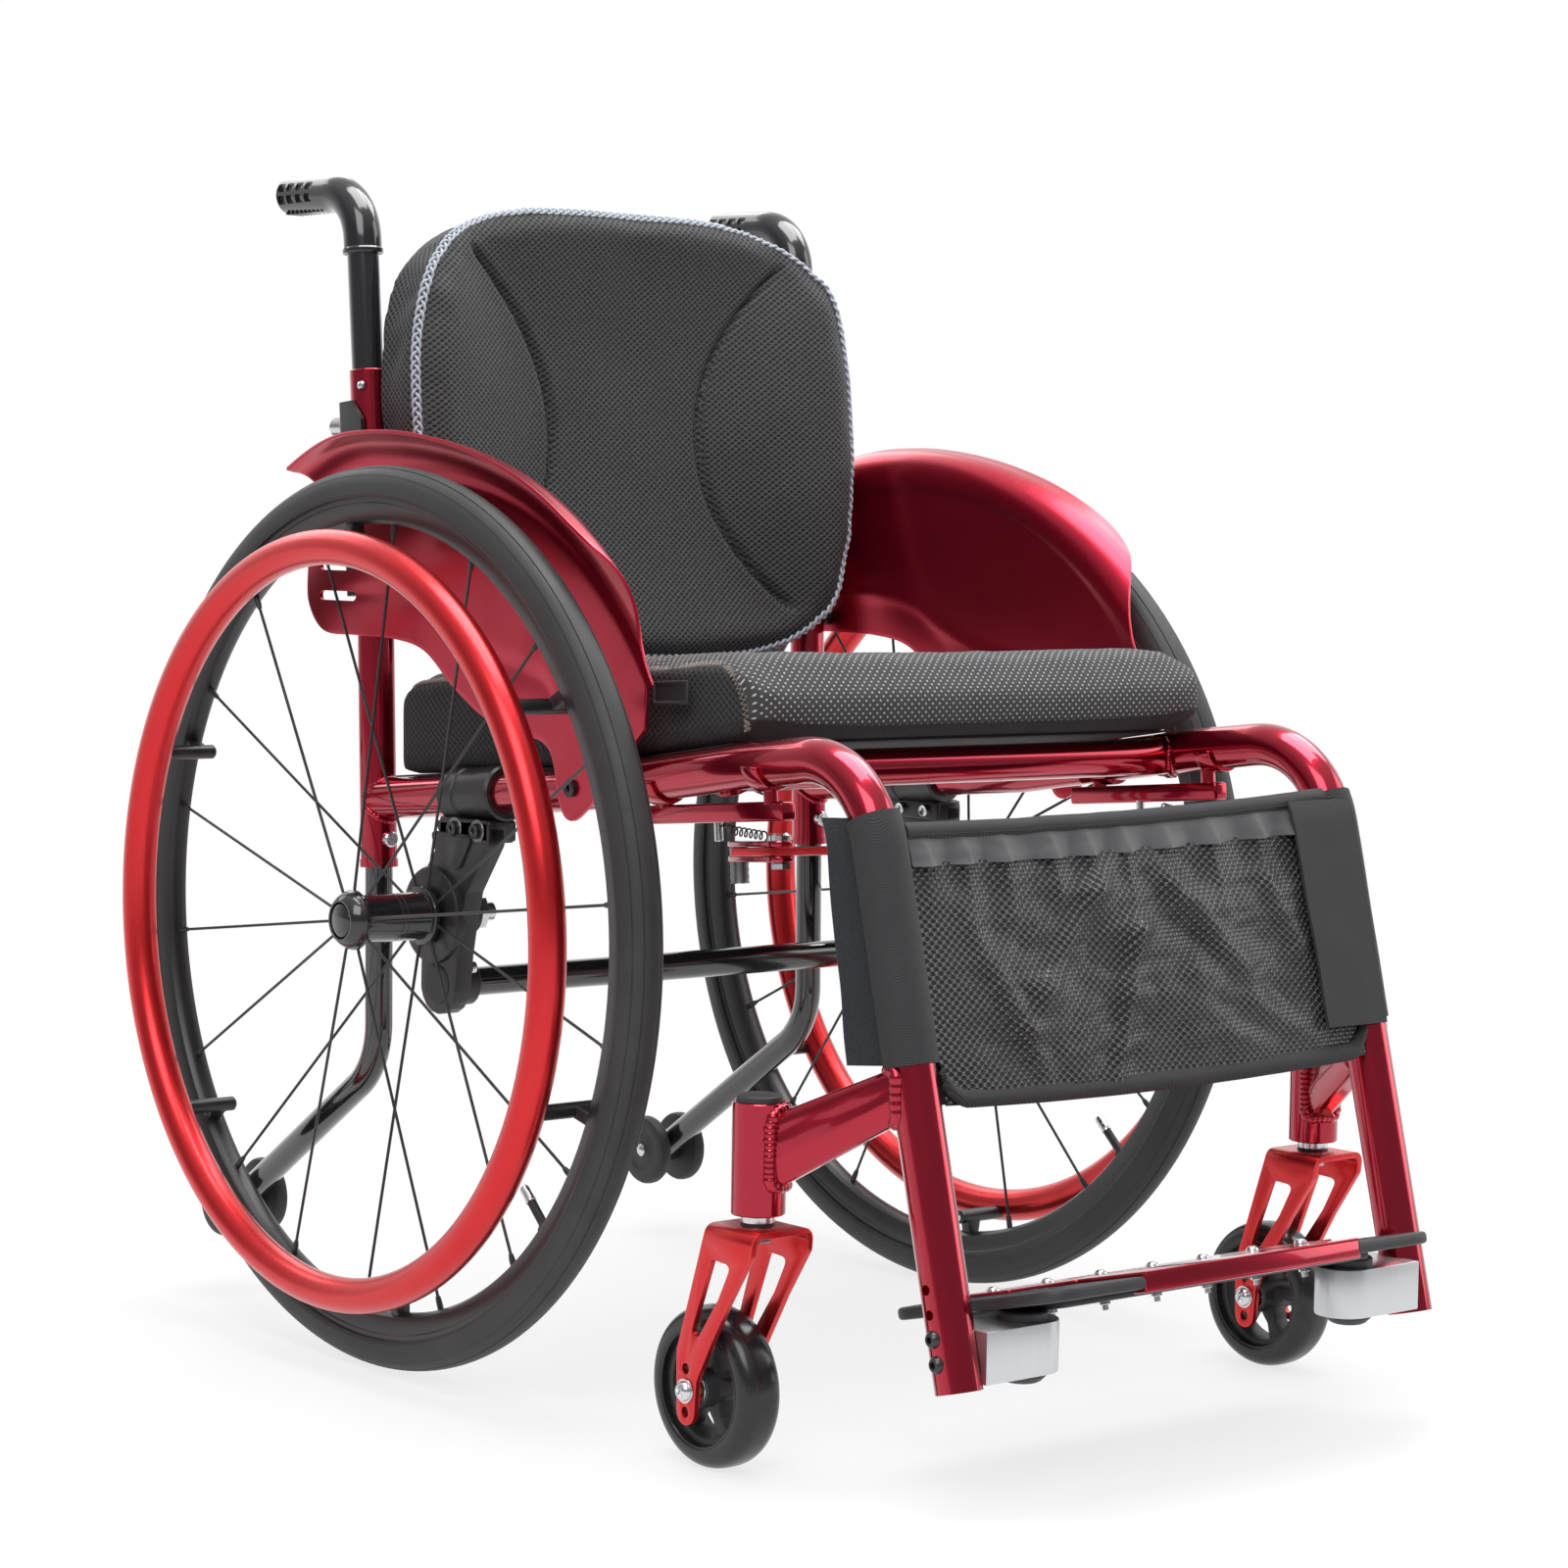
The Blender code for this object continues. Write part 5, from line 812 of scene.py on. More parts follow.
head = turned(
    [
        (0.0, head_top - 0.0010), (head_radius - 0.0022, head_top - 0.0010),
        (head_radius - 0.0020, head_top), (head_radius - 0.0005, head_top),
        (head_radius, head_top - 0.0005), (head_radius, head_bottom + 0.0006),
        (head_radius - 0.0006, head_bottom), (0.0105, head_bottom), (0.0105, head_bottom + 0.0020),
        (0.0, head_bottom + 0.0020),
    ],
    (caster_x, caster_y, 0.0), steps=72)


def landing(start, way, spot, axis, radius):
    """Where a line from start first meets a round tube."""
    off, across = start - spot, way - axis * way.dot(axis)
    off = off - axis * off.dot(axis)
    a, b, c = across.dot(across), off.dot(across), off.dot(off) - radius ** 2
    return start + way * ((-b - math.sqrt(max(0.0, b * b - a * c))) / a)


middle = (arm_root + arm_tip) / 2
half_width, half_height = arm_size[0] / 2 - 0.0004, arm_size[2] / 2 - 0.0004
outline = cornered(
    [(-half_width, -half_height), (half_width, -half_height), (half_width, half_height),
     (-half_width, half_height)], 0.0066, 6)
dense = []
for (a0, a1), (b0, b1) in zip(outline, outline[1:] + outline[:1]):
    steps = max(1, round(math.dist((a0, a1), (b0, b1)) / 0.0011))
    dense += [(a0 + (b0 - a0) * i / steps, a1 + (b1 - a1) * i / steps) for i in range(steps)]
head_spot = Vector((caster_x, caster_y, 0.0))
head_bead, leg_bead = [], []
for across, rise in dense:
    start = middle + arm_side * across
    high, low = start + arm_up * rise * arm_rise(0.4), start + arm_up * rise * arm_rise(-0.4)
    head_bead.append(landing(high, arm_way, head_spot, Vector((0.0, 0.0, 1.0)), head_radius - 0.0004))
    leg_bead.append(landing(low, -arm_way, leg_end, leg_ahead, tube_radius - 0.0004))
both(joined(arm, head), "caster_arm", candy_red, "chassis", "caster_arm_*")
both(weld_bead(head_bead, 0.0042, 0.0034), "arm_weld_at_head", candy_red, "chassis")
both(weld_bead(leg_bead, 0.0045, 0.0040), "arm_weld_at_leg", candy_red, "chassis")

matt_plastic = coated("matt_black_plastic", "black_plastic",
                      ((0.016, 0.016, 0.018), (0.034, 0.034, 0.037)), (0.52, 0.16, 0.12),
                      worn_and_lit_edges=(0.0007, 0.35, (0.15, 0.15, 0.16)), grain=(1300.0, 2.0, 0.22, 0.0003))

cap = turned(
    [(0.0, head_top + 0.0042), (head_radius - 0.0040, head_top + 0.0042),
     (head_radius - 0.0026, head_top + 0.0034), (head_radius - 0.0024, head_top - 0.002),
     (0.0, head_top - 0.002)],
    (caster_x, caster_y, 0.0), steps=56)
both(cap, "head_cap", matt_plastic, "chassis")


# Axle plates. A cast black clamp grips each side tube and carries a plate with the threaded
# sleeve for the wheel's axle. The plate's lobed foot is a socket for the camber tube's end.

plate_in, plate_out = 0.1955, 0.2095
clamp_y = axle_y - 0.033
clamp_z = rail_z(clamp_y)
clamp_way = (Vector((0.0, *rail_rear)) - Vector((0.0, *rail_mid))).normalized()
clamp_at = Vector((rail_x, clamp_y, clamp_z))
camber_y, camber_z, camber_radius = axle_y - 0.004, 0.2535, 0.0098
clamp_front, clamp_rear = clamp_y - 0.029, clamp_y + 0.029
clamp_screws_y = (clamp_y - 0.016, clamp_y + 0.010)

lobe_turns = [math.radians(-10.0 - 20.0 * i) for i in range(9)]
lobe = [(camber_y + 0.0205 * math.cos(a), camber_z + 0.0205 * math.sin(a)) for a in lobe_turns]
plate_edge = (
    [(clamp_front, clamp_z - 0.0150), (clamp_rear + 0.0060, clamp_z - 0.0190),
     (clamp_rear - 0.0020, clamp_z - 0.0300)]
    + [(axle_y + 0.0125, wheel_radius + 0.0290), (axle_y + 0.0155, wheel_radius + 0.0150),
       (axle_y + 0.0155, wheel_radius - 0.0150)]
    + lobe
    + [(axle_y - 0.0275, wheel_radius - 0.0250), (axle_y - 0.0320, wheel_radius - 0.0040)]
    + [(axle_y - 0.0380, wheel_radius + 0.0180), (clamp_front, clamp_z - 0.0320)]
)
web = plate(cornered(plate_edge, 0.0060), plate_out - plate_in, (),
            upright_sheet((plate_out + plate_in) / 2), 0.0016)
rib = plate(
    cornered([(axle_y - 0.0310, wheel_radius + 0.0330), (axle_y - 0.0060, wheel_radius + 0.0360),
              (axle_y + 0.0030, clamp_z - 0.0260), (axle_y - 0.0460, clamp_z - 0.0260)], 0.004),
    0.0030, (), upright_sheet(plate_out + 0.0008), 0.0009)
clamp = turned(
    [(tube_radius + 0.0003, 0.029), (tube_radius + 0.0030, 0.029), (tube_radius + 0.0045, 0.0275),
     (tube_radius + 0.0045, 0.0120), (tube_radius + 0.0036, 0.0112), (tube_radius + 0.0036, -0.0112),
     (tube_radius + 0.0045, -0.0120), (tube_radius + 0.0045, -0.0275), (tube_radius + 0.0030, -0.029),
     (tube_radius + 0.0003, -0.029), (tube_radius + 0.0003, 0.029)],
    clamp_at, clamp_way, 64)
lug = block((0.0230, 0.058, 0.0150),
            Matrix.Translation((rail_x + 0.0040, clamp_y, clamp_z - tube_radius - 0.0090)), 0.0022)
slit = block((0.0022, 0.0590, 0.0150),
             Matrix.Translation((rail_x - 0.0060, clamp_y, clamp_z - tube_radius - 0.0108)), 0.0003, 1)
lug = cut_by(lug, slit)
boss = turned(
    [(0.0070, 0.0050), (0.0290, 0.0050), (0.0320, 0.0036), (0.0330, 0.0018), (0.0330, -0.0030),
     (0.0070, -0.0030), (0.0070, 0.0050)],
    (plate_out, axle_y, wheel_radius), outboard, 72)
sleeve = turned(
    [(0.0066, 0.0), (0.0132, 0.0), (0.0140, 0.0008), (0.0140, 0.0290), (0.0066, 0.0290), (0.0066, 0.0)],
    (0.179, axle_y, wheel_radius), outboard, 48)
socket = turned(
    [(camber_radius + 0.0002, 0.0), (camber_radius + 0.0042, 0.0), (camber_radius + 0.0054, 0.0012),
     (camber_radius + 0.0054, 0.0132), (camber_radius + 0.0002, 0.0132), (camber_radius + 0.0002, 0.0)],
    (plate_in - 0.0125, camber_y, camber_z), outboard, 56)
both(joined(web, rib, clamp, lug, boss, sleeve, socket), "axle_plate_cast",
     satin_black, "chassis", "axle_plate_*")

grey_metal = coated("grey_metal", None, ((0.16, 0.16, 0.17), (0.30, 0.30, 0.31)),
                    (0.38, 0.18, 0.2), Metallic=0.9)

end_cap = turned([(0.0, 0.0018), (0.0120, 0.0018), (0.0136, 0.0006), (0.0138, -0.0010), (0.0, -0.0010)],
                 (plate_out, camber_y, camber_z), outboard, 48)
both(end_cap, "camber_end_cap", matt_plastic, "chassis")
washers = [
    turned([(0.0, 0.0008), (0.0072, 0.0008), (0.0078, 0.0002), (0.0078, -0.0010), (0.0, -0.0010)],
           (plate_out, y, clamp_z - 0.0230), outboard, 32)
    for y in clamp_screws_y
]
both(joined(*washers), "clamp_washers", grey_metal, "chassis")


def socket_screw(place, way, radius, height, key=0.45):
    """A socket-head screw: a turned head with a six-sided recess in its end."""
    depth = height * 0.6
    head = turned([(0.0, height), (radius * 0.86, height), (radius, height * 0.82), (radius, 0.0),
                   (0.0, 0.0)], place, way, 32)
    recess = turned([(0.0, height * 1.3), (radius * key, height * 1.3), (radius * key, height - depth),
                     (0.0, height - depth)], place, way, 6)
    return cut_by(head, recess)


clamp_screws = [socket_screw((plate_out + 0.0006, y, clamp_z - 0.0230), outboard, 0.0052, 0.0034)
                for y in clamp_screws_y]
both(joined(*clamp_screws), "clamp_screws", bolt_black, "chassis")
inner_screws = [socket_screw((rail_x - 0.0070, y, clamp_z - 0.0232), (-1.0, 0.0, 0.0), 0.0045, 0.0038)
                for y in clamp_screws_y]
pinch_screw = socket_screw((plate_in - 0.0010, camber_y - 0.0165, camber_z + 0.0120),
                           (-1.0, 0.0, 0.0), 0.0042, 0.0040)
both(joined(*inner_screws, pinch_screw), "inner_screws", steel, "chassis")

# Camber tube: a gloss black 20 mm tube between the two axle plates. The wheels' quick-release
# axles are steel pins with a lock nut on their inner ends.
gloss_tube = coated("gloss_black_tube", "gloss_black_tube",
                    ((0.006, 0.006, 0.007), (0.012, 0.012, 0.014)), (0.13, 0.10, 0.22),
                    grain=(300.0, 2.0, 0.05, 0.0005), Coat_Weight=1.0, Coat_Roughness=0.05)
camber = bar((-0.2068, camber_y, camber_z), (0.2068, camber_y, camber_z), camber_radius, 48, 0.0008)
settle(camber, "camber_bar", gloss_tube, "chassis", "camber_tube")

pin = bar((0.1625, axle_y, wheel_radius), (0.2700, axle_y, wheel_radius), 0.00635, 32, 0.0008)
nut = turned([(0.0, 0.0082), (0.0104, 0.0082), (0.0116, 0.0070), (0.0116, 0.0010), (0.0104, 0.0),
              (0.0, 0.0)], (0.1705, axle_y, wheel_radius), outboard, 6)
both(joined(pin, nut), "axle_pin", steel, "chassis", "quick_release_axle_*")


# Fenders. Each is one pressed sheet of aluminium with a lip that curls out over the tyre, a
# stiffening bead along its foot and two slots for its bracket. Its red coat is satin.

fender_x = 0.214
fender_sheet = 0.0025
crease_radius = 0.2895
lip_section = [(0.0, 0.0), (0.0016, -0.00015), (0.0032, -0.0006), (0.0048, -0.0011), (0.0064, -0.0015),
               (0.0080, -0.0016), (0.0105, -0.0016)]
curl = [math.radians(7.5 * i) for i in range(1, 13)]
lip_section += [(0.0105 + 0.0195 * math.sin(a), 0.0189 - 0.0205 * math.cos(a)) for a in curl]
lip_section += [(0.0300 + 0.0003 * i, 0.0189 + 0.00155 * i) for i in range(1, 5)]
lip_fullness = [(v, 0.0) for v in (1.29, 1.30, 1.11, 0.98, 0.95, 1.01, 1.08, 1.13, 1.15)]
fender_foot = [
    (0.1500, 0.5310), (0.1490, 0.5060), (0.1290, 0.4870), (0.0880, 0.4850), (0.0430, 0.4840),
    (0.0050, 0.4770), (-0.0300, 0.4540), (-0.0680, 0.4350), (-0.1060, 0.4280), (-0.1380, 0.4190),
    (-0.1500, 0.3850), (-0.1610, 0.3750), (-0.1760, 0.3810), (-0.2060, 0.4080), (-0.2385, 0.4380),
]


def smooth_step(value):
    """A share from 0 to 1 that eases in and out."""
    value = min(1.0, max(0.0, value))
    return value * value * (3 - 2 * value)


def smooth_along(points, share):
    """A point of a smooth line through points, at a share of their count."""
    at = min(share * (len(points) - 1), len(points) - 1.000001)
    i, t = int(at), at - int(at)
    p0, p1, p2, p3 = (Vector(points[min(max(k, 0), len(points) - 1)]) for k in (i - 1, i, i + 1, i + 2))
    return (p1 * 2 + (p2 - p0) * t + (p0 * 2 - p1 * 5 + p2 * 4 - p3) * t ** 2
            + (p1 * 3 - p0 - p2 * 3 + p3) * t ** 3) * 0.5


def fender_point(u, v):
    """A point of the pressing: u from rear to front, v from the foot to the crease (1) and the lip (2)."""
    turned_by = 64.7 + 81.3 * u
    angle = math.radians(turned_by)
    ray = Vector((math.cos(angle), math.sin(angle)))
    axle = Vector((0.0, wheel_radius))
    crease = axle + ray * crease_radius
    x = fender_x + fender_sheet / 2
    if v <= 1.0:
        foot = smooth_along(fender_foot, u)
        place = foot.lerp(crease, v)
        ends = min(1.0, max(0.0, (u - 0.10) / 0.06)) * min(1.0, max(0.0, (0.68 - u) / 0.06))
        x -= 0.0010 * ends * math.exp(-((v - 0.28) / 0.045) ** 2)
        return (x, axle_y + place.x, place.y)
    kept = 1 - 0.87 * smooth_step((turned_by - 123.0) / 22.0)
    fuller = smooth_along(lip_fullness, u).x
    at = (v - 1.0) * kept * (len(lip_section) - 1)
    i = min(int(at), len(lip_section) - 2)
    low, high = Vector(lip_section[i]), Vector(lip_section[i + 1])
    off = low.lerp(high, at - i)
    edge = axle + ray * (crease_radius + off.x * fuller)
    return (x + off.y, axle_y + edge.x, edge.y)


# Its pale pink edge tone is a painted highlight along the sheet's sharp edges.
satin_red = coated("satin_red_paint", "satin_red_paint", ((0.44, 0.003, 0.026), (0.52, 0.005, 0.034)),
                   (0.29, 0.05, 0.06),
                   worn_and_lit_edges=(0.0008, 0.7, (0.78, 0.16, 0.20)), grain=(1700.0, 2.0, 0.14, 0.0003),
                   Metallic=0.88, Coat_Weight=0.50, Coat_Roughness=0.22)

columns, rows, face_rows = 144, 60, 38
nothing_selected()
bpy.ops.mesh.primitive_grid_add(x_subdivisions=columns, y_subdivisions=rows, size=1.0)
fender = bpy.context.object
for vertex in fender.data.vertices:
    row = round((vertex.co.y + 0.5) * rows)
    v = row / face_rows if row <= face_rows else 1.0 + (row - face_rows) / (rows - face_rows)
    vertex.co = fender_point(vertex.co.x + 0.5, v)
altered(fender, "SOLIDIFY", thickness=fender_sheet, offset=0.0)
altered(fender, "BEVEL", width=0.0005, segments=2, limit_method="ANGLE", angle_limit=math.radians(50.0))
slot_y = axle_y + 0.1119
slots = []
for z in (0.5115, 0.5322):
    slots.append(block((0.02, 0.044, 0.0065), Matrix.Translation((fender_x, slot_y, z)),
                       0.0032, 6, along=0))
fender = flat_ready(cut_by(fender, *slots), 40.0)
both(fender, "fender_sheet", satin_red, "chassis", "fender_*")

fender_bolts = (
    (rail_x + tube_radius + 0.0003, axle_y - 0.1630, rail_z(axle_y - 0.1630)),
    (rail_x + upright_radius + 0.0003, upright_y(0.4960), 0.4960),
)
spacers = [bar(p, (fender_x + 0.0001, p[1], p[2]), 0.0060, 24) for p in fender_bolts]
both(joined(*spacers), "fender_spacers", matt_plastic, "chassis")
screw_at = (fender_x + fender_sheet, *fender_bolts[0][1:])
both(socket_screw(screw_at, outboard, 0.0056, 0.0030), "fender_screws", bolt_black, "chassis")


# Anti-tip bars. A bent gloss black tube is pushed up into each upright and runs back to a
# knuckle, with one small solid rubber wheel on either side of it on a common steel axle.

def bore_line(y_z_points, radii):
    return bent([(rail_x, axle_y + y, z) for y, z in y_z_points], radii, 20)


tip_radius = 0.0096
tip_axle = Vector((rail_x, axle_y + 0.2660, 0.0680))
tip_path = bore_line(
    [(upright_y(0.3696) - axle_y, 0.3696), (upright_y(upright_foot_z) - axle_y, upright_foot_z),
     (0.0893, 0.1860), (0.2660, 0.0680)], (0.5, 0.055))
tip_tube = drawn_tube(tip_path, tip_radius, 40)
knuckle = bar(tip_axle - Vector((0.0105, 0, 0)), tip_axle + Vector((0.0105, 0, 0)), 0.0111, 40, 0.0012)
both(joined(tip_tube, knuckle), "anti_tip_bar", gloss_tube, "chassis", "anti_tip_tube_*")

wheel_section = [
    (0.0, 0.0104), (0.0060, 0.0104), (0.0075, 0.0096), (0.0165, 0.0096), (0.0176, 0.0106),
    (0.0235, 0.0108), (0.0258, 0.0098), (0.0268, 0.0080), (0.0270, 0.0055), (0.0268, 0.0030),
    (0.0258, 0.0012), (0.0235, 0.0002), (0.0, 0.0002),
]
tip_wheels = [turned(wheel_section, tip_axle + Vector((s * 0.0113, 0, 0)), (s, 0.0, 0.0), 56)
              for s in (-1, 1)]
both(joined(*tip_wheels), "anti_tip_wheel_pair", tyre_rubber, "anti_tip_wheels_*", "anti_tip_wheels_*")
tip_caps = [turned([(0.0, 0.0030), (0.0030, 0.0026), (0.0048, 0.0012), (0.0050, 0.0), (0.0, 0.0)],
                   tip_axle + Vector((s * 0.0217, 0, 0)), (s, 0.0, 0.0), 24) for s in (-1, 1)]
both(joined(*tip_caps), "anti_tip_axle_caps", steel, "anti_tip_wheels_*")


# Caster forks. Each is a 4 mm aluminium strap folded over at the crown, with a long window in
# each blade and lightening holes beside the axle. A threaded stem turns in the head tube.

crown_top = 0.1525
fork_half, fork_plate = 0.0195, 0.004
spin_y, spin_z = caster_y + 0.037, 0.049
fork_outer = fork_half + fork_plate
fork_bend = 0.0078
lead, trail = caster_y - 0.0245, caster_y + 0.0215


def arch_line(half, top, radius, count=10):
    arc = [math.radians(180.0 - 90.0 * i / count) for i in range(count + 1)]
    left = [(radius - half + radius * math.cos(a), top - radius + radius * math.sin(a)) for a in arc]
    return left + [(-x, z) for x, z in reversed(left)]


arch = (
    [(-fork_outer, 0.02)] + arch_line(fork_outer, crown_top, fork_bend)
    + [(fork_outer, 0.02), (fork_half, 0.02)]
    + list(reversed(arch_line(fork_half, crown_top - fork_plate, fork_bend - fork_plate + 0.0010)))
    + [(-fork_half, 0.02)]
)
stand = Matrix(((1, 0, 0, caster_x), (0, 0, -1, caster_y), (0, 1, 0, 0), (0, 0, 0, 1)))
fork = plate(arch, 0.1, (), stand, 0.0)
foot_turns = [math.radians(-20.0 * i) for i in range(10)]
foot_arc = [(spin_y + 0.0083 * math.cos(a), spin_z - 0.0125 + 0.0083 * math.sin(a), 0.0)
            for a in foot_turns]
blade = cornered(
    [(lead, crown_top + 0.0050, 0.0), (trail, crown_top + 0.0050, 0.0), (trail, crown_top - 0.0065),
     (spin_y + 0.0090, spin_z + 0.0230)] + foot_arc
    + [(spin_y - 0.0100, spin_z + 0.0070), (spin_y - 0.0220, spin_z + 0.0290),
       (lead + 0.0220, crown_top - 0.0445), (lead + 0.0020, crown_top - 0.0145)], 0.006)
window = cornered(
    [(trail - 0.0075, crown_top - 0.0205), (spin_y - 0.0045, spin_z + 0.0360),
     (spin_y - 0.0115, spin_z + 0.0340), (lead + 0.0315, crown_top - 0.0435),
     (lead + 0.0200, crown_top - 0.0215)], 0.0040, 6)
holes = [window, circled((spin_y, spin_z), 0.0043), circled((spin_y, spin_z + 0.0135), 0.0034),
         circled((spin_y, spin_z - 0.0128), 0.0034)]
cutter = plate(blade, 0.1, holes, upright_sheet(caster_x), 0.0)
cut_by(fork, cutter, keep="INTERSECT")
altered(fork, "BEVEL", width=0.0006, segments=2, limit_method="ANGLE", angle_limit=math.radians(40.0))
both(flat_ready(fork, 35.0), "fork_strap", handrim_red, "caster_fork_*", "fork_*")

# The stem and its hardware: a recessed black seat on the crown, a steel washer, and a nut below.
seat = turned([(0.0, 0.0014), (0.0096, 0.0014), (0.0104, 0.0004), (0.0104, -0.0010), (0.0, -0.0010)],
              (caster_x, caster_y, crown_top), steps=48)
both(seat, "crown_seat", matt_plastic, "caster_fork_*")
stem = [
    turned([(0.0, 0.0), (0.0096, 0.0), (0.0102, 0.0006), (0.0102, 0.0040), (0.0096, 0.0046),
            (0.0, 0.0046)], (caster_x, caster_y, crown_top + 0.0014), steps=48),
    bar((caster_x, caster_y, crown_top + 0.0050), (caster_x, caster_y, head_top - 0.016), 0.006, 24),
    turned([(0.0, 0.0), (0.0096, 0.0), (0.0100, 0.0004), (0.0100, 0.0012), (0.0096, 0.0016),
            (0.0, 0.0016)], (caster_x, caster_y, crown_top - fork_plate - 0.0016), steps=36),
    turned([(0.0, 0.0), (0.0072, 0.0), (0.0082, 0.0008), (0.0082, 0.0048), (0.0, 0.0048)],
           (caster_x, caster_y, crown_top - fork_plate - 0.0064), steps=6),
]
both(joined(*stem), "stem_hardware", steel, "caster_fork_*")

# The axle bolt: a low dome with a cross recess on each side, over a washer.
axle_parts = [bar((caster_x - fork_outer - 0.002, spin_y, spin_z),
                  (caster_x + fork_outer + 0.002, spin_y, spin_z), 0.0040, 24)]
for s in (-1, 1):
    face = Vector((caster_x + s * (fork_outer + 0.0003), spin_y, spin_z))
    axle_parts.append(turned([(0.0, 0.0008), (0.0074, 0.0008), (0.0076, 0.0), (0.0, 0.0)],
                             face, (s, 0.0, 0.0), 36))
    dome = turned([(0.0, 0.0044), (0.0020, 0.0043), (0.0040, 0.0037), (0.0054, 0.0026),
                   (0.0062, 0.0010), (0.0063, 0.0), (0.0, 0.0)],
                  face + Vector((s * 0.0006, 0, 0)), (s, 0.0, 0.0), 36)
    at = face + Vector((s * 0.0048, 0, 0))
    tilt = Matrix.Translation(at) @ Matrix.Rotation(math.radians(38.0), 4, "X")
    cross = [block((0.0044, 0.0060, 0.0011), tilt, 0.0002, 1),
             block((0.0044, 0.0011, 0.0060), tilt, 0.0002, 1)]
    axle_parts.append(cut_by(dome, *cross))
both(joined(*axle_parts), "caster_bolt", steel, "caster_fork_*", "caster_axle_*")

# Caster wheels. A solid, shiny polyurethane tyre is moulded on a black five-spoke core, which
# turns on two sealed bearings with a brass-coloured spacer.
caster_spot = (caster_x, spin_y, spin_z)
caster_rubber = coated("caster_rubber", "caster_rubber", ((0.008, 0.008, 0.009), (0.015, 0.015, 0.016)),
                       (0.22, 0.16, 0.10),
                       dust=(60.0, 7.0, 0.75, 0.56, 0.86, 0.5, (0.085, 0.085, 0.09)),
                       Specular_IOR_Level=0.5)

caster_half = []
for i in range(21):
    a = math.radians(90.0 * i / 20)
    caster_half.append((0.0375 + 0.0115 * math.cos(a) ** 0.80, 0.0145 * math.sin(a) ** 0.72))
caster_half += [(0.0368, 0.01435), (0.0362, 0.0139), (0.0356, 0.01435), (0.0350, 0.0143),
                (0.0346, 0.0134), (0.0343, 0.0100)]
caster_section = caster_half + [(r, -x) for r, x in reversed(caster_half)]
caster_tyre = turned(caster_section + [caster_half[0]], caster_spot, outboard, 96, 30.0)
both(caster_tyre, "caster_tyre_cast", caster_rubber, "caster_wheel_*", "caster_tyre_*")

core_half = [(0.0341, 0.0098), (0.0318, 0.0098), (0.0306, 0.0088), (0.0300, 0.0060), (0.0298, 0.0)]
ring = turned(core_half + [(r, -x) for r, x in reversed(core_half[:-1])] + core_half[:1],
              caster_spot, outboard, 80)
core_hub = turned(
    [(0.0060, 0.0160), (0.0100, 0.0160), (0.0113, 0.0150), (0.0118, 0.0080), (0.0128, 0.0040),
     (0.0128, -0.0040), (0.0118, -0.0080), (0.0113, -0.0150), (0.0100, -0.0160), (0.0060, -0.0160),
     (0.0060, 0.0160)], caster_spot, outboard, 56)
core_spokes = []
for i in range(5):
    turn = Matrix.Translation(caster_spot) @ Matrix.Rotation(math.radians(72.0 * i + 10.0), 4, "X")
    arm_line = cornered([(-0.0062, 0.0095), (-0.0038, 0.0200), (-0.0066, 0.0312), (0.0066, 0.0312),
                         (0.0038, 0.0200), (0.0062, 0.0095)], 0.003)
    core_spokes.append(plate(arm_line, 0.0130, (), turn @ upright_sheet(0.0), 0.0014))
both(joined(ring, core_hub, *core_spokes), "caster_core_moulded",
     matt_plastic, "caster_wheel_*", "caster_core_*")

brass = coated("brass", None, ((0.42, 0.24, 0.07), (0.62, 0.40, 0.15)), (0.30, 0.2, 0.3), Metallic=1.0)
sleeve = bar((caster_x - 0.0190, spin_y, spin_z), (caster_x + 0.0190, spin_y, spin_z), 0.0058, 32)
both(sleeve, "bearing_spacer", brass, "caster_wheel_*")
races = [
    turned([(0.0060, 0.0006), (0.0098, 0.0006), (0.0100, 0.0), (0.0098, -0.0006), (0.0060, -0.0006),
            (0.0060, 0.0006)],
           Vector(caster_spot) + Vector((s * 0.0160, 0, 0)), outboard, 48) for s in (-1, 1)
]
both(joined(*races), "bearing_races", steel, "caster_wheel_*")


# Brakes. Under the front of each rail hangs a short red bar. A flat hand lever and a forked
# arm with a knurled steel-cored stub share its bolt, and a spring pulls the arm off the tyre.

brake_spot = Vector((rail_x - 0.007, axle_y - 0.337, rail_z(axle_y - 0.337) - 0.0536))
brake_tilt = Matrix.Translation(brake_spot) @ Matrix.Rotation(math.radians(-5.0), 4, "X")
brake_plate, brake_lever, arm_reach, stub_radius = 0.0035, 0.0052, 0.0655, 0.0060
brake_top = brake_lever / 2 + 0.0003 + brake_plate
bar_low = brake_top + 0.012


def on_brake(x, y, z):
    return brake_tilt @ Vector((x, y, z))


brake_bar = block((0.012, 0.140, 0.012), brake_tilt @ Matrix.Translation((0, 0.060, bar_low + 0.006)),
                  0.0022, 3)
hangers = []
for along in (0.004, 0.108):
    foot = on_brake(0.002, along, bar_low + 0.010)
    up = on_brake(0.002, along, bar_low + 0.026)
    hangers.append(bar(foot, up, 0.0048, 24, 0.0004))
brake_clips = []
for along in (0.004, 0.108):
    at = on_brake(0.002, along, 0.0)
    clip_z = rail_z(at.y)
    clip = turned([(tube_radius + 0.0003, 0.007), (tube_radius + 0.0022, 0.007),
                   (tube_radius + 0.0026, 0.006), (tube_radius + 0.0026, -0.006),
                   (tube_radius + 0.0022, -0.007), (tube_radius + 0.0003, -0.007),
                   (tube_radius + 0.0003, 0.007)],
                  (rail_x, at.y, clip_z), Vector((0.0, -0.9887, 0.1500)), 48)
    half_off = block((0.06, 0.03, 0.03), Matrix.Translation((rail_x, at.y, clip_z + 0.0135)), 0.0005, 1)
    brake_clips.append(cut_by(clip, half_off))
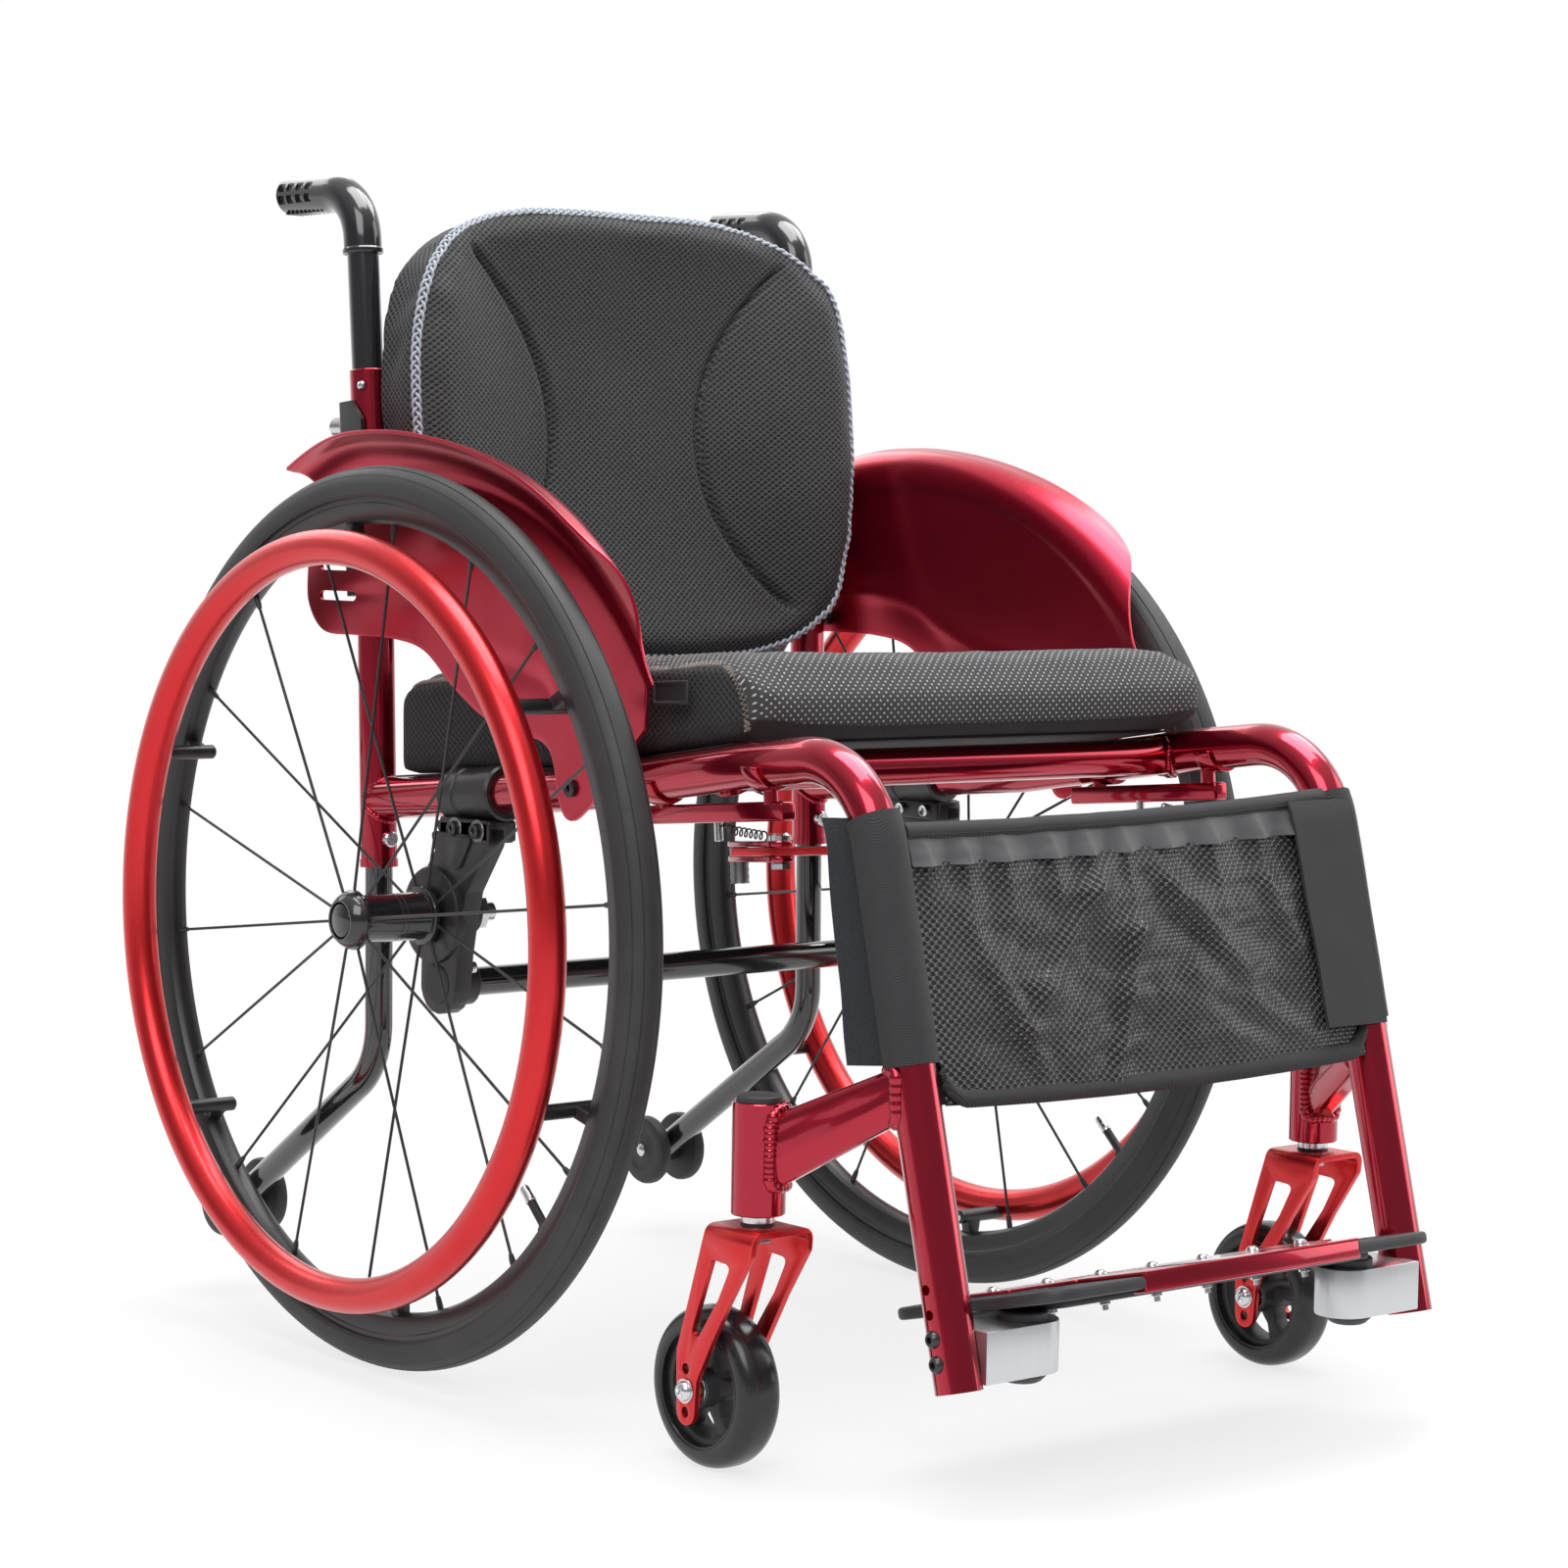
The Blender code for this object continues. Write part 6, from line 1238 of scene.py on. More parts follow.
both(joined(brake_bar, *hangers, *brake_clips), "brake_hanger", candy_red, "chassis", "brake_bar_*")

pins = [
    turned([(0.0, 0.0), (0.0070, 0.0), (0.0070, 0.0030), (0.0060, 0.0042), (0.0, 0.0042)],
           on_brake(0, 0, brake_top + 0.0003), on_brake(0, 0, 1) - on_brake(0, 0, 0), 32),
    bar(on_brake(0, 0, -brake_top - 0.004), on_brake(0, 0, brake_top + 0.0042), 0.0030, 20),
    turned([(0.0, 0.0), (0.0052, 0.0), (0.0062, 0.0008), (0.0062, 0.0040), (0.0, 0.0040)],
           on_brake(0, 0, -brake_top - 0.0003), on_brake(0, 0, 0) - on_brake(0, 0, 1), 6),
    bar(on_brake(-0.0035, arm_reach - 0.002, brake_top + 0.0003),
        on_brake(-0.0035, arm_reach - 0.002, bar_low + 0.002), 0.0028, 16),
]
both(joined(*pins), "brake_bolt", steel, "chassis")

lever_line = cornered(
    [(-0.0070, 0.040), (0.0, 0.047), (0.0070, 0.040), (0.0078, 0.0), (0.0065, -0.030), (0.0090, -0.066),
     (0.0060, -0.078), (-0.0060, -0.078), (-0.0090, -0.066), (-0.0065, -0.030), (-0.0078, 0.0)], 0.008)
lever = plate(lever_line, brake_lever, [circled((0, 0), 0.0040)], brake_tilt, 0.0014)
both(lever, "brake_hand_lever", handrim_red, "brake_lever_*", "brake_lever_*")

arm_turn = brake_tilt @ Matrix.Rotation(math.radians(106.3), 4, "Z")
half_turn = [math.radians(90.0 - 18.0 * i) for i in range(11)]
link = [(-0.0085 * math.cos(a), -0.0085 * math.sin(a)) for a in half_turn]
link += [(arm_reach + 0.0068 * math.cos(a), 0.0068 * math.sin(a)) for a in half_turn]
level = brake_lever / 2 + 0.0003 + brake_plate / 2
links = [plate(link, brake_plate, [circled((0, 0), 0.0040)],
               arm_turn @ Matrix.Translation((0, 0, s * level)), 0.0008) for s in (-1, 1)]
both(joined(*links), "brake_link", candy_red, "brake_arm_*", "brake_arm_*")
stub_foot = arm_turn @ Vector((arm_reach, 0, level + 0.001))
stub_end = arm_turn @ Vector((arm_reach, 0, -level - 0.018))
grip_section = [(0.0, 0.0)]
for i in range(13):
    z = 0.0002 + 0.0255 * i / 12
    grip_section.append((stub_radius - (0.0005 if i % 2 else 0.0), z))
grip_section.append((0.0, grip_section[-1][1]))
stub = turned(grip_section, stub_foot, stub_end - stub_foot, 32)
both(stub, "brake_stub", grey_metal, "brake_arm_*")

spring_way = on_brake(0.004, 0.050, bar_low - 0.004) - on_brake(-0.004, 0.020, brake_top + 0.003)
spring_way = spring_way.normalized()
spring_start = on_brake(-0.004, 0.018, brake_top + 0.0030)
spring_side = spring_way.cross(Vector((1, 0, 0))).normalized()
spring_up = spring_way.cross(spring_side)
coil = []
for i in range(150):
    t = i / 149
    a = math.tau * 9 * t
    coil.append(spring_start + spring_way * (0.034 * t)
                + (spring_side * math.cos(a) + spring_up * math.sin(a)) * 0.0026)
both(drawn_tube(coil, 0.00055, 6), "brake_spring", bolt_black, "chassis")


# Seat. A webbing sling is stretched between the side tubes. The foam cushion on it has a zipped
# cover: dotted fabric over its top and nose, black spacer mesh at its sides, plain black cloth
# under it, and an overlocked brown-grey seam between them.

seat_rear = upright_y(upright_foot_z) - upright_radius - 0.0010
seat_front = axle_y - 0.3230
cushion_half = 0.202
cushion_low, cushion_high = 0.4560, 0.4860
nose_radius = 0.045


def sling_top(y):
    y = min(seat_rear, max(rail_front[0], y))
    return rail_z(y) + tube_radius + 0.0014


def seat_top(y):
    return cushion_low + (cushion_high - cushion_low) * (seat_rear - y) / (seat_rear - seat_front)


def seat_floor(x, y):
    """The cushion's underside: it lies on the sling, and its nose hangs a little between the rails."""
    ahead = min(1.0, max(0.0, (seat_front + 0.018 - y) / 0.014))
    return sling_top(y) - 0.0050 * ahead * ahead * (3 - 2 * ahead) * max(0.0, 1 - (x / 0.180) ** 6)


# Spacer mesh: staggered holes with raised rims, for coordinates on the cloth in metres.
open_mesh, given, made = group(
    "open_mesh", [("Vector", Vector()), ("Across", 0.0035), ("Along", 0.0029), ("Hole", 0.34)],
    [("Hole", float), ("Height", float), ("Strand", float), ("Knot", float)])
parts = feed(open_mesh, "SeparateXYZ", {0: given["Vector"]}).outputs
p = calc(open_mesh, "DIVIDE", parts["X"], given["Across"])
q = calc(open_mesh, "DIVIDE", parts["Y"], given["Along"])
one = calc(open_mesh, "SUBTRACT", calc(open_mesh, "FRACT", calc(open_mesh, "ADD", p, q)), 0.5)
two = calc(open_mesh, "SUBTRACT", calc(open_mesh, "FRACT", calc(open_mesh, "SUBTRACT", p, q)), 0.5)
reach = calc(open_mesh, "SQRT", calc(open_mesh, "ADD", calc(open_mesh, "MULTIPLY", one, one),
                                     calc(open_mesh, "MULTIPLY", two, two)))
inner = calc(open_mesh, "MULTIPLY", given["Hole"], 0.55)
ridge = calc(open_mesh, "ABSOLUTE", two)
for name, value in (
    ("Hole", ramp(open_mesh, reach, given["Hole"], inner, soft=True)),
    ("Height", ramp(open_mesh, reach, inner, 0.52, soft=True)),
    ("Strand", ramp(open_mesh, ridge, 0.22, 0.46)),
    ("Knot", ramp(open_mesh, reach, 0.50, 0.64)),
):
    open_mesh.links.new(value, made[name])

# Yarn: fine fibres with slow changes of tone, for any cloth.
yarn, given, made = group("yarn", [("Vector", Vector()), ("Fineness", 2600.0)],
                          [("Tone", float), ("Fibre", float)])
yarn.links.new(noised(yarn, given["Vector"], 16.0, 3.0), made["Tone"])
yarn.links.new(noised(yarn, given["Vector"], given["Fineness"], 2.0), made["Fibre"])


def yarned(name, fineness, by, tones, relief, **values):
    """A plain cloth or thread, whose tone follows its fibres or their slow clouds."""
    made, tree, shader = look(name)
    cloth = use(tree, yarn, Vector=on_surface(tree), Fineness=fineness)
    normal = bumped(tree, cloth["Fibre"], *relief)
    set_shader(tree, shader, Base_Color=mixed(tree, cloth[by], *tones), Normal=normal, **values)
    return made


seat_fabric, tree, shader = look("seat_fabric", "seat_fabric")
lay = feed(tree, "Attribute", attribute_name="lay").outputs["Vector"]
zones = feed(tree, "SeparateXYZ",
             {0: feed(tree, "Attribute", attribute_name="zones").outputs["Vector"]}).outputs
spot = on_surface(tree)
cloth = use(tree, yarn, Vector=spot, Fineness=2300.0)
dots = use(tree, open_mesh, Vector=lay, Across=0.0058, Along=0.0050, Hole=0.235)
weave = use(tree, open_mesh, Vector=lay, Across=0.00110, Along=0.00090, Hole=0.46)
side_mesh = use(tree, open_mesh, Vector=lay, Across=0.0060, Along=0.0048, Hole=0.42)
sheet_tone = mixed(tree, cloth["Tone"], (0.034, 0.034, 0.037), (0.050, 0.050, 0.053))
woven = mixed(tree, calc(tree, "MULTIPLY", weave["Hole"], 0.55), sheet_tone, (0.012, 0.012, 0.013))
dotted = mixed(tree, dots["Hole"], woven, (0.46, 0.46, 0.45))
meshed = mixed(tree, side_mesh["Strand"], (0.014, 0.014, 0.015), (0.034, 0.034, 0.036))
meshed = mixed(tree, side_mesh["Hole"], meshed, (0.002, 0.002, 0.002))
side_share = ramp(tree, zones["X"], -0.0006, 0.0006)
base_share = ramp(tree, zones["Y"], 0.0006, -0.0006)
covered = mixed(tree, side_share, dotted, meshed)
whole = mixed(tree, base_share, covered, (0.010, 0.010, 0.011))
side_height = calc(tree, "MULTIPLY", side_mesh["Height"], side_share)
top_height = calc(tree, "ADD", calc(tree, "MULTIPLY", weave["Height"], 0.25),
                  calc(tree, "MULTIPLY", dots["Hole"], 0.5))
top_height = calc(tree, "MULTIPLY", top_height, calc(tree, "SUBTRACT", 1.0, side_share))
height = calc(tree, "ADD", calc(tree, "ADD", side_height, top_height),
              calc(tree, "MULTIPLY", cloth["Fibre"], 0.20))
relief = bumped(tree, height, 0.55, 0.0007)
set_shader(tree, shader, Base_Color=whole, Roughness=0.86, Normal=relief,
           Sheen_Weight=0.08, Sheen_Roughness=0.45)
shader.inputs["Sheen Tint"].default_value = (0.75, 0.77, 0.82, 1.0)


def squared(a, b, power):
    """Pulls a point of the unit square towards a rounded square."""
    reach = max(abs(a), abs(b))
    length = (abs(a) ** power + abs(b) ** power) ** (1.0 / power)
    return (a * reach / length, b * reach / length) if length else (a, b)


def soft_block(cuts, shape):
    """A cube cut up evenly and drawn out into a soft form by a function of its place, -1 to 1."""
    nothing_selected()
    bpy.ops.mesh.primitive_cube_add(size=2.0)
    piece = bpy.context.object
    bpy.ops.object.mode_set(mode="EDIT")
    bpy.ops.mesh.subdivide(number_cuts=cuts)
    bpy.ops.object.mode_set(mode="OBJECT")
    for vertex in piece.data.vertices:
        vertex.co = shape(*vertex.co)
    return piece


def plumped(piece, voxel, pressure, cap):
    """Remeshes a cushion evenly and blows its cover out a little, no point farther than the cap."""
    nothing_selected()
    piece.select_set(True)
    bpy.context.view_layer.objects.active = piece
    piece.data.remesh_voxel_size = voxel
    bpy.ops.object.voxel_remesh()
    before = [vertex.co.copy() for vertex in piece.data.vertices]
    cover = piece.modifiers.new("cover", "CLOTH")
    cover.settings.use_pressure = True
    cover.settings.uniform_pressure_force = pressure
    cover.settings.effector_weights.gravity = 0.0
    cover.settings.quality = 4
    for number in range(1, 21):
        scene.frame_set(number)
    bpy.ops.object.modifier_apply(modifier="cover")
    scene.frame_set(1)
    for vertex, start in zip(piece.data.vertices, before):
        move = vertex.co - start
        if move.length > 1e-7:
            vertex.co = start + move * (cap * math.tanh(move.length / cap) / move.length)
    altered(piece, "SMOOTH", factor=0.5, iterations=6)
    return altered(piece, "SUBSURF", levels=1, render_levels=1)


def marked(piece, name, values):
    """Stores a vector for each point of a piece, for its material to read."""
    layer = piece.data.attributes.new(name, "FLOAT_VECTOR", "POINT")
    for item, value in zip(layer.data, values):
        item.vector = value


def cushion_point(a, b, c):
    side, along = squared(a, b, 30)
    side *= 1.0 - 0.012 * (1 - c * c) * (1 - b ** 4)
    y = (seat_rear + seat_front - 0.004) / 2 - along * (seat_rear - seat_front + 0.004) / 2
    low = seat_floor(side * cushion_half, y) + 0.0008
    crown = (0.001 + 0.003 * a * a) * (1 - b ** 4)
    edge = max(abs(side), abs(along) * 0.985)
    inset = 0.008 * max(0.0, (edge - 0.90) / 0.10) ** 2
    nose = 0.017 * max(0.0, (along - 0.88) / 0.12) ** 2
    tail = 0.010 * max(0.0, (-along - 0.88) / 0.12) ** 2
    t = (c + 1) / 2
    z = low + (seat_top(y) - 0.003 + crown - low) * t - (inset + nose + tail) * t
    z += (inset * 0.15 + nose * 0.5) * (1 - t)
    return Vector((side * (cushion_half - 0.004), y, z))


cushion = plumped(soft_block(23, cushion_point), 0.0055, 4.0, 0.0045)
lays, zones = [], []
for vertex in cushion.data.vertices:
    x, y, z = vertex.co
    pull = 0.0008 * wavy((x, y, z), 34.0) + 0.0005 * wavy((x, y, z), 90.0, 3.0)
    floor_z = seat_floor(x, y) + 0.0004
    vertex.co.z = max(floor_z, z + pull * (1.0 if z > floor_z + 0.012 else 0.0))
    x, y, z = vertex.co
    bend_y, bend_z = seat_front + nose_radius, seat_top(y) - nose_radius
    ahead_by, up_by = bend_y - y, z - bend_z
    if ahead_by <= 0.0:
        down = ahead_by
    elif up_by <= 0.0:
        down = nose_radius * math.pi / 2 - up_by
    else:
        down = nose_radius * math.atan2(ahead_by, up_by)
    over = 0.0072 - 0.0110 * min(1.0, max(0.0, ahead_by / nose_radius))
    is_side = abs(x) - cushion_half + 0.012 + over
    is_side -= math.hypot(max(ahead_by, 0.0), max(up_by, 0.0)) - nose_radius + 0.012
    is_rear = y - seat_rear + 0.012
    zones.append((max(is_side, is_rear), z - seat_floor(x, y) - 0.0125, 0.0))
    lays.append((x, z, 0.0) if is_rear > 0.0 else (y, z, 0.0) if is_side > 0.0 else (x, down, 0.0))
marked(cushion, "lay", lays)
marked(cushion, "zones", zones)
settle(cushion, "seat_cushion_cover", seat_fabric, "chassis", "seat_cushion")
flat_ready(cushion, 60.0)

stitch_thread = yarned("stitch_thread", 1800.0, "Fibre", ((0.14, 0.105, 0.085), (0.46, 0.39, 0.34)),
                       (0.5, 0.0003), Roughness=0.80, Sheen_Weight=0.2)


def on_skin(piece, starts, ways, lift):
    """Where lines from inside a piece come out through its skin, raised by a lift."""
    skin = BVHTree.FromPolygons([v.co for v in piece.data.vertices],
                                [p.vertices for p in piece.data.polygons])
    found = []
    for start, way in zip(starts, ways):
        place, normal, _, _ = skin.ray_cast(start, way, 0.2)
        if place is not None:
            found.append((place + normal * lift, normal))
    return found


def stitched(found, step, half, radius):
    """A zigzag of thread along a seam, lying on the skin."""
    route, run = [], 0.0
    side = 1
    for (a, normal), (b, _) in zip(found, found[1:]):
        gap = (b - a).length
        while run < gap:
            t = run / gap
            across = (b - a).normalized().cross(normal).normalized()
            route.append(a.lerp(b, t) + across * half * side)
            side = -side
            run += step
        run -= gap
    return drawn_tube(route, radius, 6)


starts, ways = [], []
x_in = cushion_half - 0.030
for i in range(60):
    y = seat_rear - 0.012 + (seat_front + nose_radius - seat_rear + 0.012) * i / 59
    starts.append(Vector((x_in, y, seat_top(y) - nose_radius + 0.015)))
    ways.append(Vector((0.62, 0.0, 1.0)).normalized())
for i in range(1, 16):
    a = math.radians(90.0 * i / 15)
    bend_y = seat_front + nose_radius
    centre_z = seat_top(bend_y - 0.02) - nose_radius
    starts.append(Vector((x_in, bend_y - 0.015 * math.sin(a), centre_z + 0.015 * math.cos(a))))
    ways.append(Vector((0.62 + 0.55 * math.sin(a), -math.sin(a), math.cos(a))).normalized())
seam_foot = seat_floor(cushion_half, seat_front) + 0.0125
for i in range(1, 6):
    starts.append(Vector((x_in, bend_y - 0.015, centre_z + (seam_foot - centre_z) * i / 5)))
    ways.append(Vector((1.17, -1.0, 0.0)).normalized())
seam_line = on_skin(cushion, starts, ways, 0.0004)
both(stitched(seam_line, 0.00170, 0.00200, 0.00062), "cushion_overlock", stitch_thread, "chassis")

strap_fabric, tree, shader = look("strap_fabric", "strap_fabric")
spot = on_surface(tree)
cloth = use(tree, yarn, Vector=spot, Fineness=2000.0)
slant = feed(tree, "Mapping", {"Vector": spot, "Scale": (700.0, 700.0, 800.0)})
parts = feed(tree, "SeparateXYZ", {0: slant.outputs[0]}).outputs
zig = calc(tree, "PINGPONG", calc(tree, "ADD", parts["X"], parts["Y"]), 1.4)
twill_line = calc(tree, "FRACT", calc(tree, "ADD", parts["Z"], zig))
ridge = calc(tree, "ABSOLUTE", calc(tree, "SUBTRACT", twill_line, 0.5))
raised = ramp(tree, ridge, 0.08, 0.42, soft=True)
tone = mixed(tree, raised, (0.007, 0.007, 0.008), (0.029, 0.029, 0.031))
tone = mixed(tree, calc(tree, "MULTIPLY", cloth["Tone"], 0.35), tone, (0.037, 0.037, 0.040))
height = calc(tree, "ADD", raised, calc(tree, "MULTIPLY", cloth["Fibre"], 0.4))
relief = bumped(tree, height, 0.5, 0.0004)
set_shader(tree, shader, Base_Color=tone, Roughness=0.78, Normal=relief,
           Sheen_Weight=0.06, Sheen_Roughness=0.4)

top_edge = [(y, sling_top(y)) for y in (seat_rear, rail_mid[0], seat_front + 0.030)]
foot_edge = [(y, z - 0.0012) for y, z in reversed(top_edge)]
sling = plate(top_edge + foot_edge, 0.380, (), upright_sheet(0.0), 0.0004)
clear = []
for s in (-1, 1):
    clear.append(block((0.0440, 0.0640, 0.0600),
                       Matrix.Translation((s * (rail_x + 0.0020), clamp_y, clamp_z)), 0.003, 2, along=2))
sling = flat_ready(cut_by(sling, *clear), 35.0)
settle(sling, "seat_webbing", strap_fabric, "chassis", "seat_sling")

tag_turn = Matrix.Rotation(math.radians(-3.5), 4, "X")
tag_y, tag_z = seat_front + 0.077, 0.4600
tag = block((0.0016, 0.036, 0.0150), Matrix.Translation((-cushion_half - 0.0004, tag_y, tag_z))
            @ tag_turn, 0.0007, 2)
lip = block((0.0030, 0.0315, 0.0105), Matrix.Translation((-cushion_half - 0.0014, tag_y, tag_z))
            @ tag_turn, 0.0004, 1)
settle(cut_by(tag, lip), "blank_tag", matt_plastic, "chassis")


# Back pad. A foam pad in black spacer mesh, sewn with two curved channels that stand its side
# wings proud, and edged with a braided grey piping. It hangs on the canes and folds with them.

def cane_y(z):
    return upright_y(hinge_z) + 0.0911 * (z - hinge_z)


def cane_at(z):
    return Vector((rail_x, cane_y(z), z))


cane_up = Vector((0.0, 0.0911, 1.0)).normalized()
cane_ahead = Vector((0.0, -1.0, 0.0911)).normalized()
back_turn = Matrix((Vector((1, 0, 0)), cane_ahead, cane_up)).transposed().to_4x4()
back_frame = Matrix.Translation((0, cane_y(hinge_z), hinge_z)) @ back_turn
pad_half, pad_low, pad_foot, pad_head, pad_rear, pad_thick = 0.199, 0.185, -0.096, 0.231, 0.0135, 0.053
pad_middle, pad_tall = (pad_foot + pad_head) / 2, (pad_head - pad_foot) / 2


def seam_x(h):
    """How far out the sewn channels are at a height, -1 to 1."""
    return 0.066 + 0.122 * abs(h) ** 2.1


def pad_width(z):
    rise = min(1.0, max(0.0, (z - pad_foot) / 0.190))
    return pad_low + (pad_half - pad_low) * rise * rise * (3 - 2 * rise)


def hollowed(x, h):
    """How far the front is sunk between its wings, where the back rests."""
    reach = max(0.075, 0.206 - seam_x(h))
    middle = (1 - smooth_step((abs(x) + 0.014 - 0.206 + reach) / reach)) * (1 - 0.70 * abs(h) ** 2.4)
    valley = math.exp(-((x + 0.012 - 0.028 * h) / 0.026) ** 2) * smooth_step((h + 0.15) / 0.9)
    valley *= 1 - 0.6 * abs(h) ** 6
    return 0.0395 * middle + 0.0045 * valley


def pad_corner(h):
    """The squareness of the pad's outline: its top corners are rounder than its foot."""
    return 3.3 if h > 0.0 else 3.7


def pad_point(a, b, c):
    x, h = squared(a, b, pad_corner(b) + (1.2 * (1 - c) if b < 0.0 else 0.0))
    z = pad_middle + h * pad_tall
    edge = max(abs(x), abs(h))
    inset = 0.010 * max(0.0, (edge - 0.88) / 0.12) ** 2
    pull = 1.0 - 0.022 * (1 - c * c) * (1 - b ** 4)
    crown = 0.0035 * (1 - a ** 4) * (1 - b ** 4)
    depth = pad_rear + (pad_thick + crown - inset - hollowed(x * pad_half, h)) * (c + 1) / 2
    return Vector((x * pad_width(z) * pull, depth, z))


pad = plumped(soft_block(31, pad_point), 0.0052, 4.0, 0.0045)
for vertex in pad.data.vertices:
    x, depth, z = vertex.co
    h = (z - pad_middle) / pad_tall
    if depth > pad_rear + 0.010:
        off = abs(x) - seam_x(h)
        border = ((abs(x) / pad_width(z)) ** 3.5 + abs(h) ** 3.5) ** (1 / 3.5)
        ends = smooth_step((0.93 - border) / 0.08)
        channel = 0.0046 * math.exp(-(off / 0.0040) ** 2) + 0.0018 * math.exp(-(off / 0.0014) ** 2)
        share = min(1.0, (depth - pad_rear - 0.010) / 0.006)
        vertex.co.y = depth - channel * ends * share + 0.0009 * wavy((x, depth, z), 22.0, 5.0) * share
    if depth < pad_rear:
        vertex.co.y = pad_rear

spacer_mesh, tree, shader = look("spacer_mesh", "spacer_mesh")
spot = feed(tree, "TexCoord").outputs
parts = feed(tree, "SeparateXYZ", {0: spot["Object"]}).outputs
facing = feed(tree, "SeparateXYZ", {0: spot["Normal"]}).outputs
flat_xz = feed(tree, "CombineXYZ", {0: parts["X"], 1: parts["Z"]}).outputs[0]
flat_yz = feed(tree, "CombineXYZ", {0: parts["Y"], 1: parts["Z"]}).outputs[0]
flat_xy = feed(tree, "CombineXYZ", {0: parts["X"], 1: parts["Y"]}).outputs[0]
front_mesh, side_weave, top_weave = (
    use(tree, open_mesh, Vector=v, Across=a, Along=b, Hole=0.42)
    for v, a, b in ((flat_xz, 0.0052, 0.0043), (flat_yz, 0.0058, 0.0050), (flat_xy, 0.0054, 0.0046)))
sideways = ramp(tree, calc(tree, "ABSOLUTE", facing["X"]), 0.62, 0.70)
skyward = ramp(tree, calc(tree, "ABSOLUTE", facing["Z"]), 0.70, 0.78)


def picked(key):
    """One output of the three weaves, taken from whichever faces the same way as the cloth."""
    first = feed(tree, "Mix", {0: sideways, 2: front_mesh[key], 3: side_weave[key]}).outputs[0]
    return feed(tree, "Mix", {0: skyward, 2: first, 3: top_weave[key]}).outputs[0]


cloth = use(tree, yarn, Vector=spot["Object"], Fineness=1900.0)
strand = mixed(tree, picked("Strand"), (0.026, 0.026, 0.028), (0.066, 0.066, 0.069))
strand = mixed(tree, calc(tree, "MULTIPLY", cloth["Tone"], 0.25), strand, (0.056, 0.056, 0.057))
holed = mixed(tree, picked("Hole"), strand, (0.003, 0.003, 0.003))
height = calc(tree, "ADD", picked("Height"), calc(tree, "MULTIPLY", cloth["Fibre"], 0.25))
relief = bumped(tree, height, 0.70, 0.0007)
set_shader(tree, shader, Base_Color=holed, Roughness=0.80, Normal=relief,
           Sheen_Weight=0.08, Sheen_Roughness=0.40)
shader.inputs["Sheen Tint"].default_value = (0.75, 0.77, 0.84, 1.0)

# The piping is a real three-strand braid, laid along the front edge of the pad.
starts, ways = [], []
for i in range(240):
    a = math.tau * i / 240
    px, ph = math.cos(a), math.sin(a)
    reach = max(abs(px), abs(ph))
    x, h = squared(px / reach, ph / reach, pad_corner(ph))
    z = pad_middle + h * (pad_tall - 0.020)
    sunk = hollowed(x * pad_half, h)
    start = Vector((x * (pad_width(pad_middle + h * pad_tall) - 0.020),
                    pad_rear + pad_thick - 0.020 - sunk, z))
    outward = Vector((x ** 3, 0.0, h ** 3)).normalized()
    starts.append(start)
    ways.append((outward + Vector((0.0, 0.72, 0.0))).normalized())
edge_line = on_skin(pad, starts, ways, 0.0006)
edge_line.append(edge_line[0])
strands = []
for number in range(3):
    route, run = [], 0.0
    for (p0, n0), (p1, n1) in zip(edge_line, edge_line[1:]):
        gap = (p1 - p0).length
        pieces = 7
        for k in range(pieces):
            s = run + gap * k / pieces
            turn = math.tau * (s / 0.0190) + math.tau * number / 3
            normal = n0.lerp(n1, k / pieces).normalized()
            across = (p1 - p0).normalized().cross(normal).normalized()
            route.append(p0.lerp(p1, k / pieces) + across * 0.0027 * math.sin(turn)
                         + normal * 0.0010 * math.sin(2 * turn))
        run += gap
    strands.append(drawn_tube(route, 0.00104, 8, loop=True))
piping = joined(*strands)
piping.data.transform(back_frame)
pad.data.transform(back_frame)
flat_ready(pad, 70.0)
settle(pad, "back_pad_cover", spacer_mesh, "backrest", "back_pad")
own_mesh(pad)

grey_cord = yarned("grey_braid", 2400.0, "Fibre", ((0.22, 0.24, 0.28), (0.56, 0.59, 0.65)), (0.4, 0.0003),
                   Roughness=0.62, Sheen_Weight=0.3)
settle(piping, "braided_piping", grey_cord, "backrest")
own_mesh(piping)

# Canes and their brackets. Each red cane stands on a cross pin inside a black channel that is
# bolted to the upright, and a sprung pull pin with a knurled knob locks it upright.
cane_radius, cane_bore, cane_top = 0.0127, 0.0113, 0.667
channel_z, lock_z, snap_z = 0.579, 0.628, 0.656
cane_foot, cane_head = cane_at(hinge_z), cane_at(cane_top)
cane_length = (cane_head - cane_foot).length
cane_tube = turned(
    [(cane_bore, 0.020), (cane_bore, cane_length), (cane_radius - 0.0004, cane_length),
     (cane_radius, cane_length - 0.0004), (cane_radius, 0.0), (0.0032, 0.0), (0.0032, 0.020),
     (cane_bore, 0.020)],
    cane_foot, cane_up, 56)
eye = turned([(0.0033, -0.0120), (cane_radius - 0.0010, -0.0120), (cane_radius - 0.0004, -0.0114),
              (cane_radius - 0.0004, 0.0114), (cane_radius - 0.0010, 0.0120), (0.0033, 0.0120),
              (0.0033, -0.0120)], cane_foot, outboard, 56)
snap_out = Vector((0.80, -0.60, 0.0))
snap_at = cane_at(snap_z)
cane_tube = cut_by(cane_tube, bar(snap_at + snap_out * 0.009, snap_at + snap_out * 0.016, 0.0033, 24))
both(flat_ready(joined(cane_tube, eye)), "cane", candy_red, "backrest", "back_cane_*")

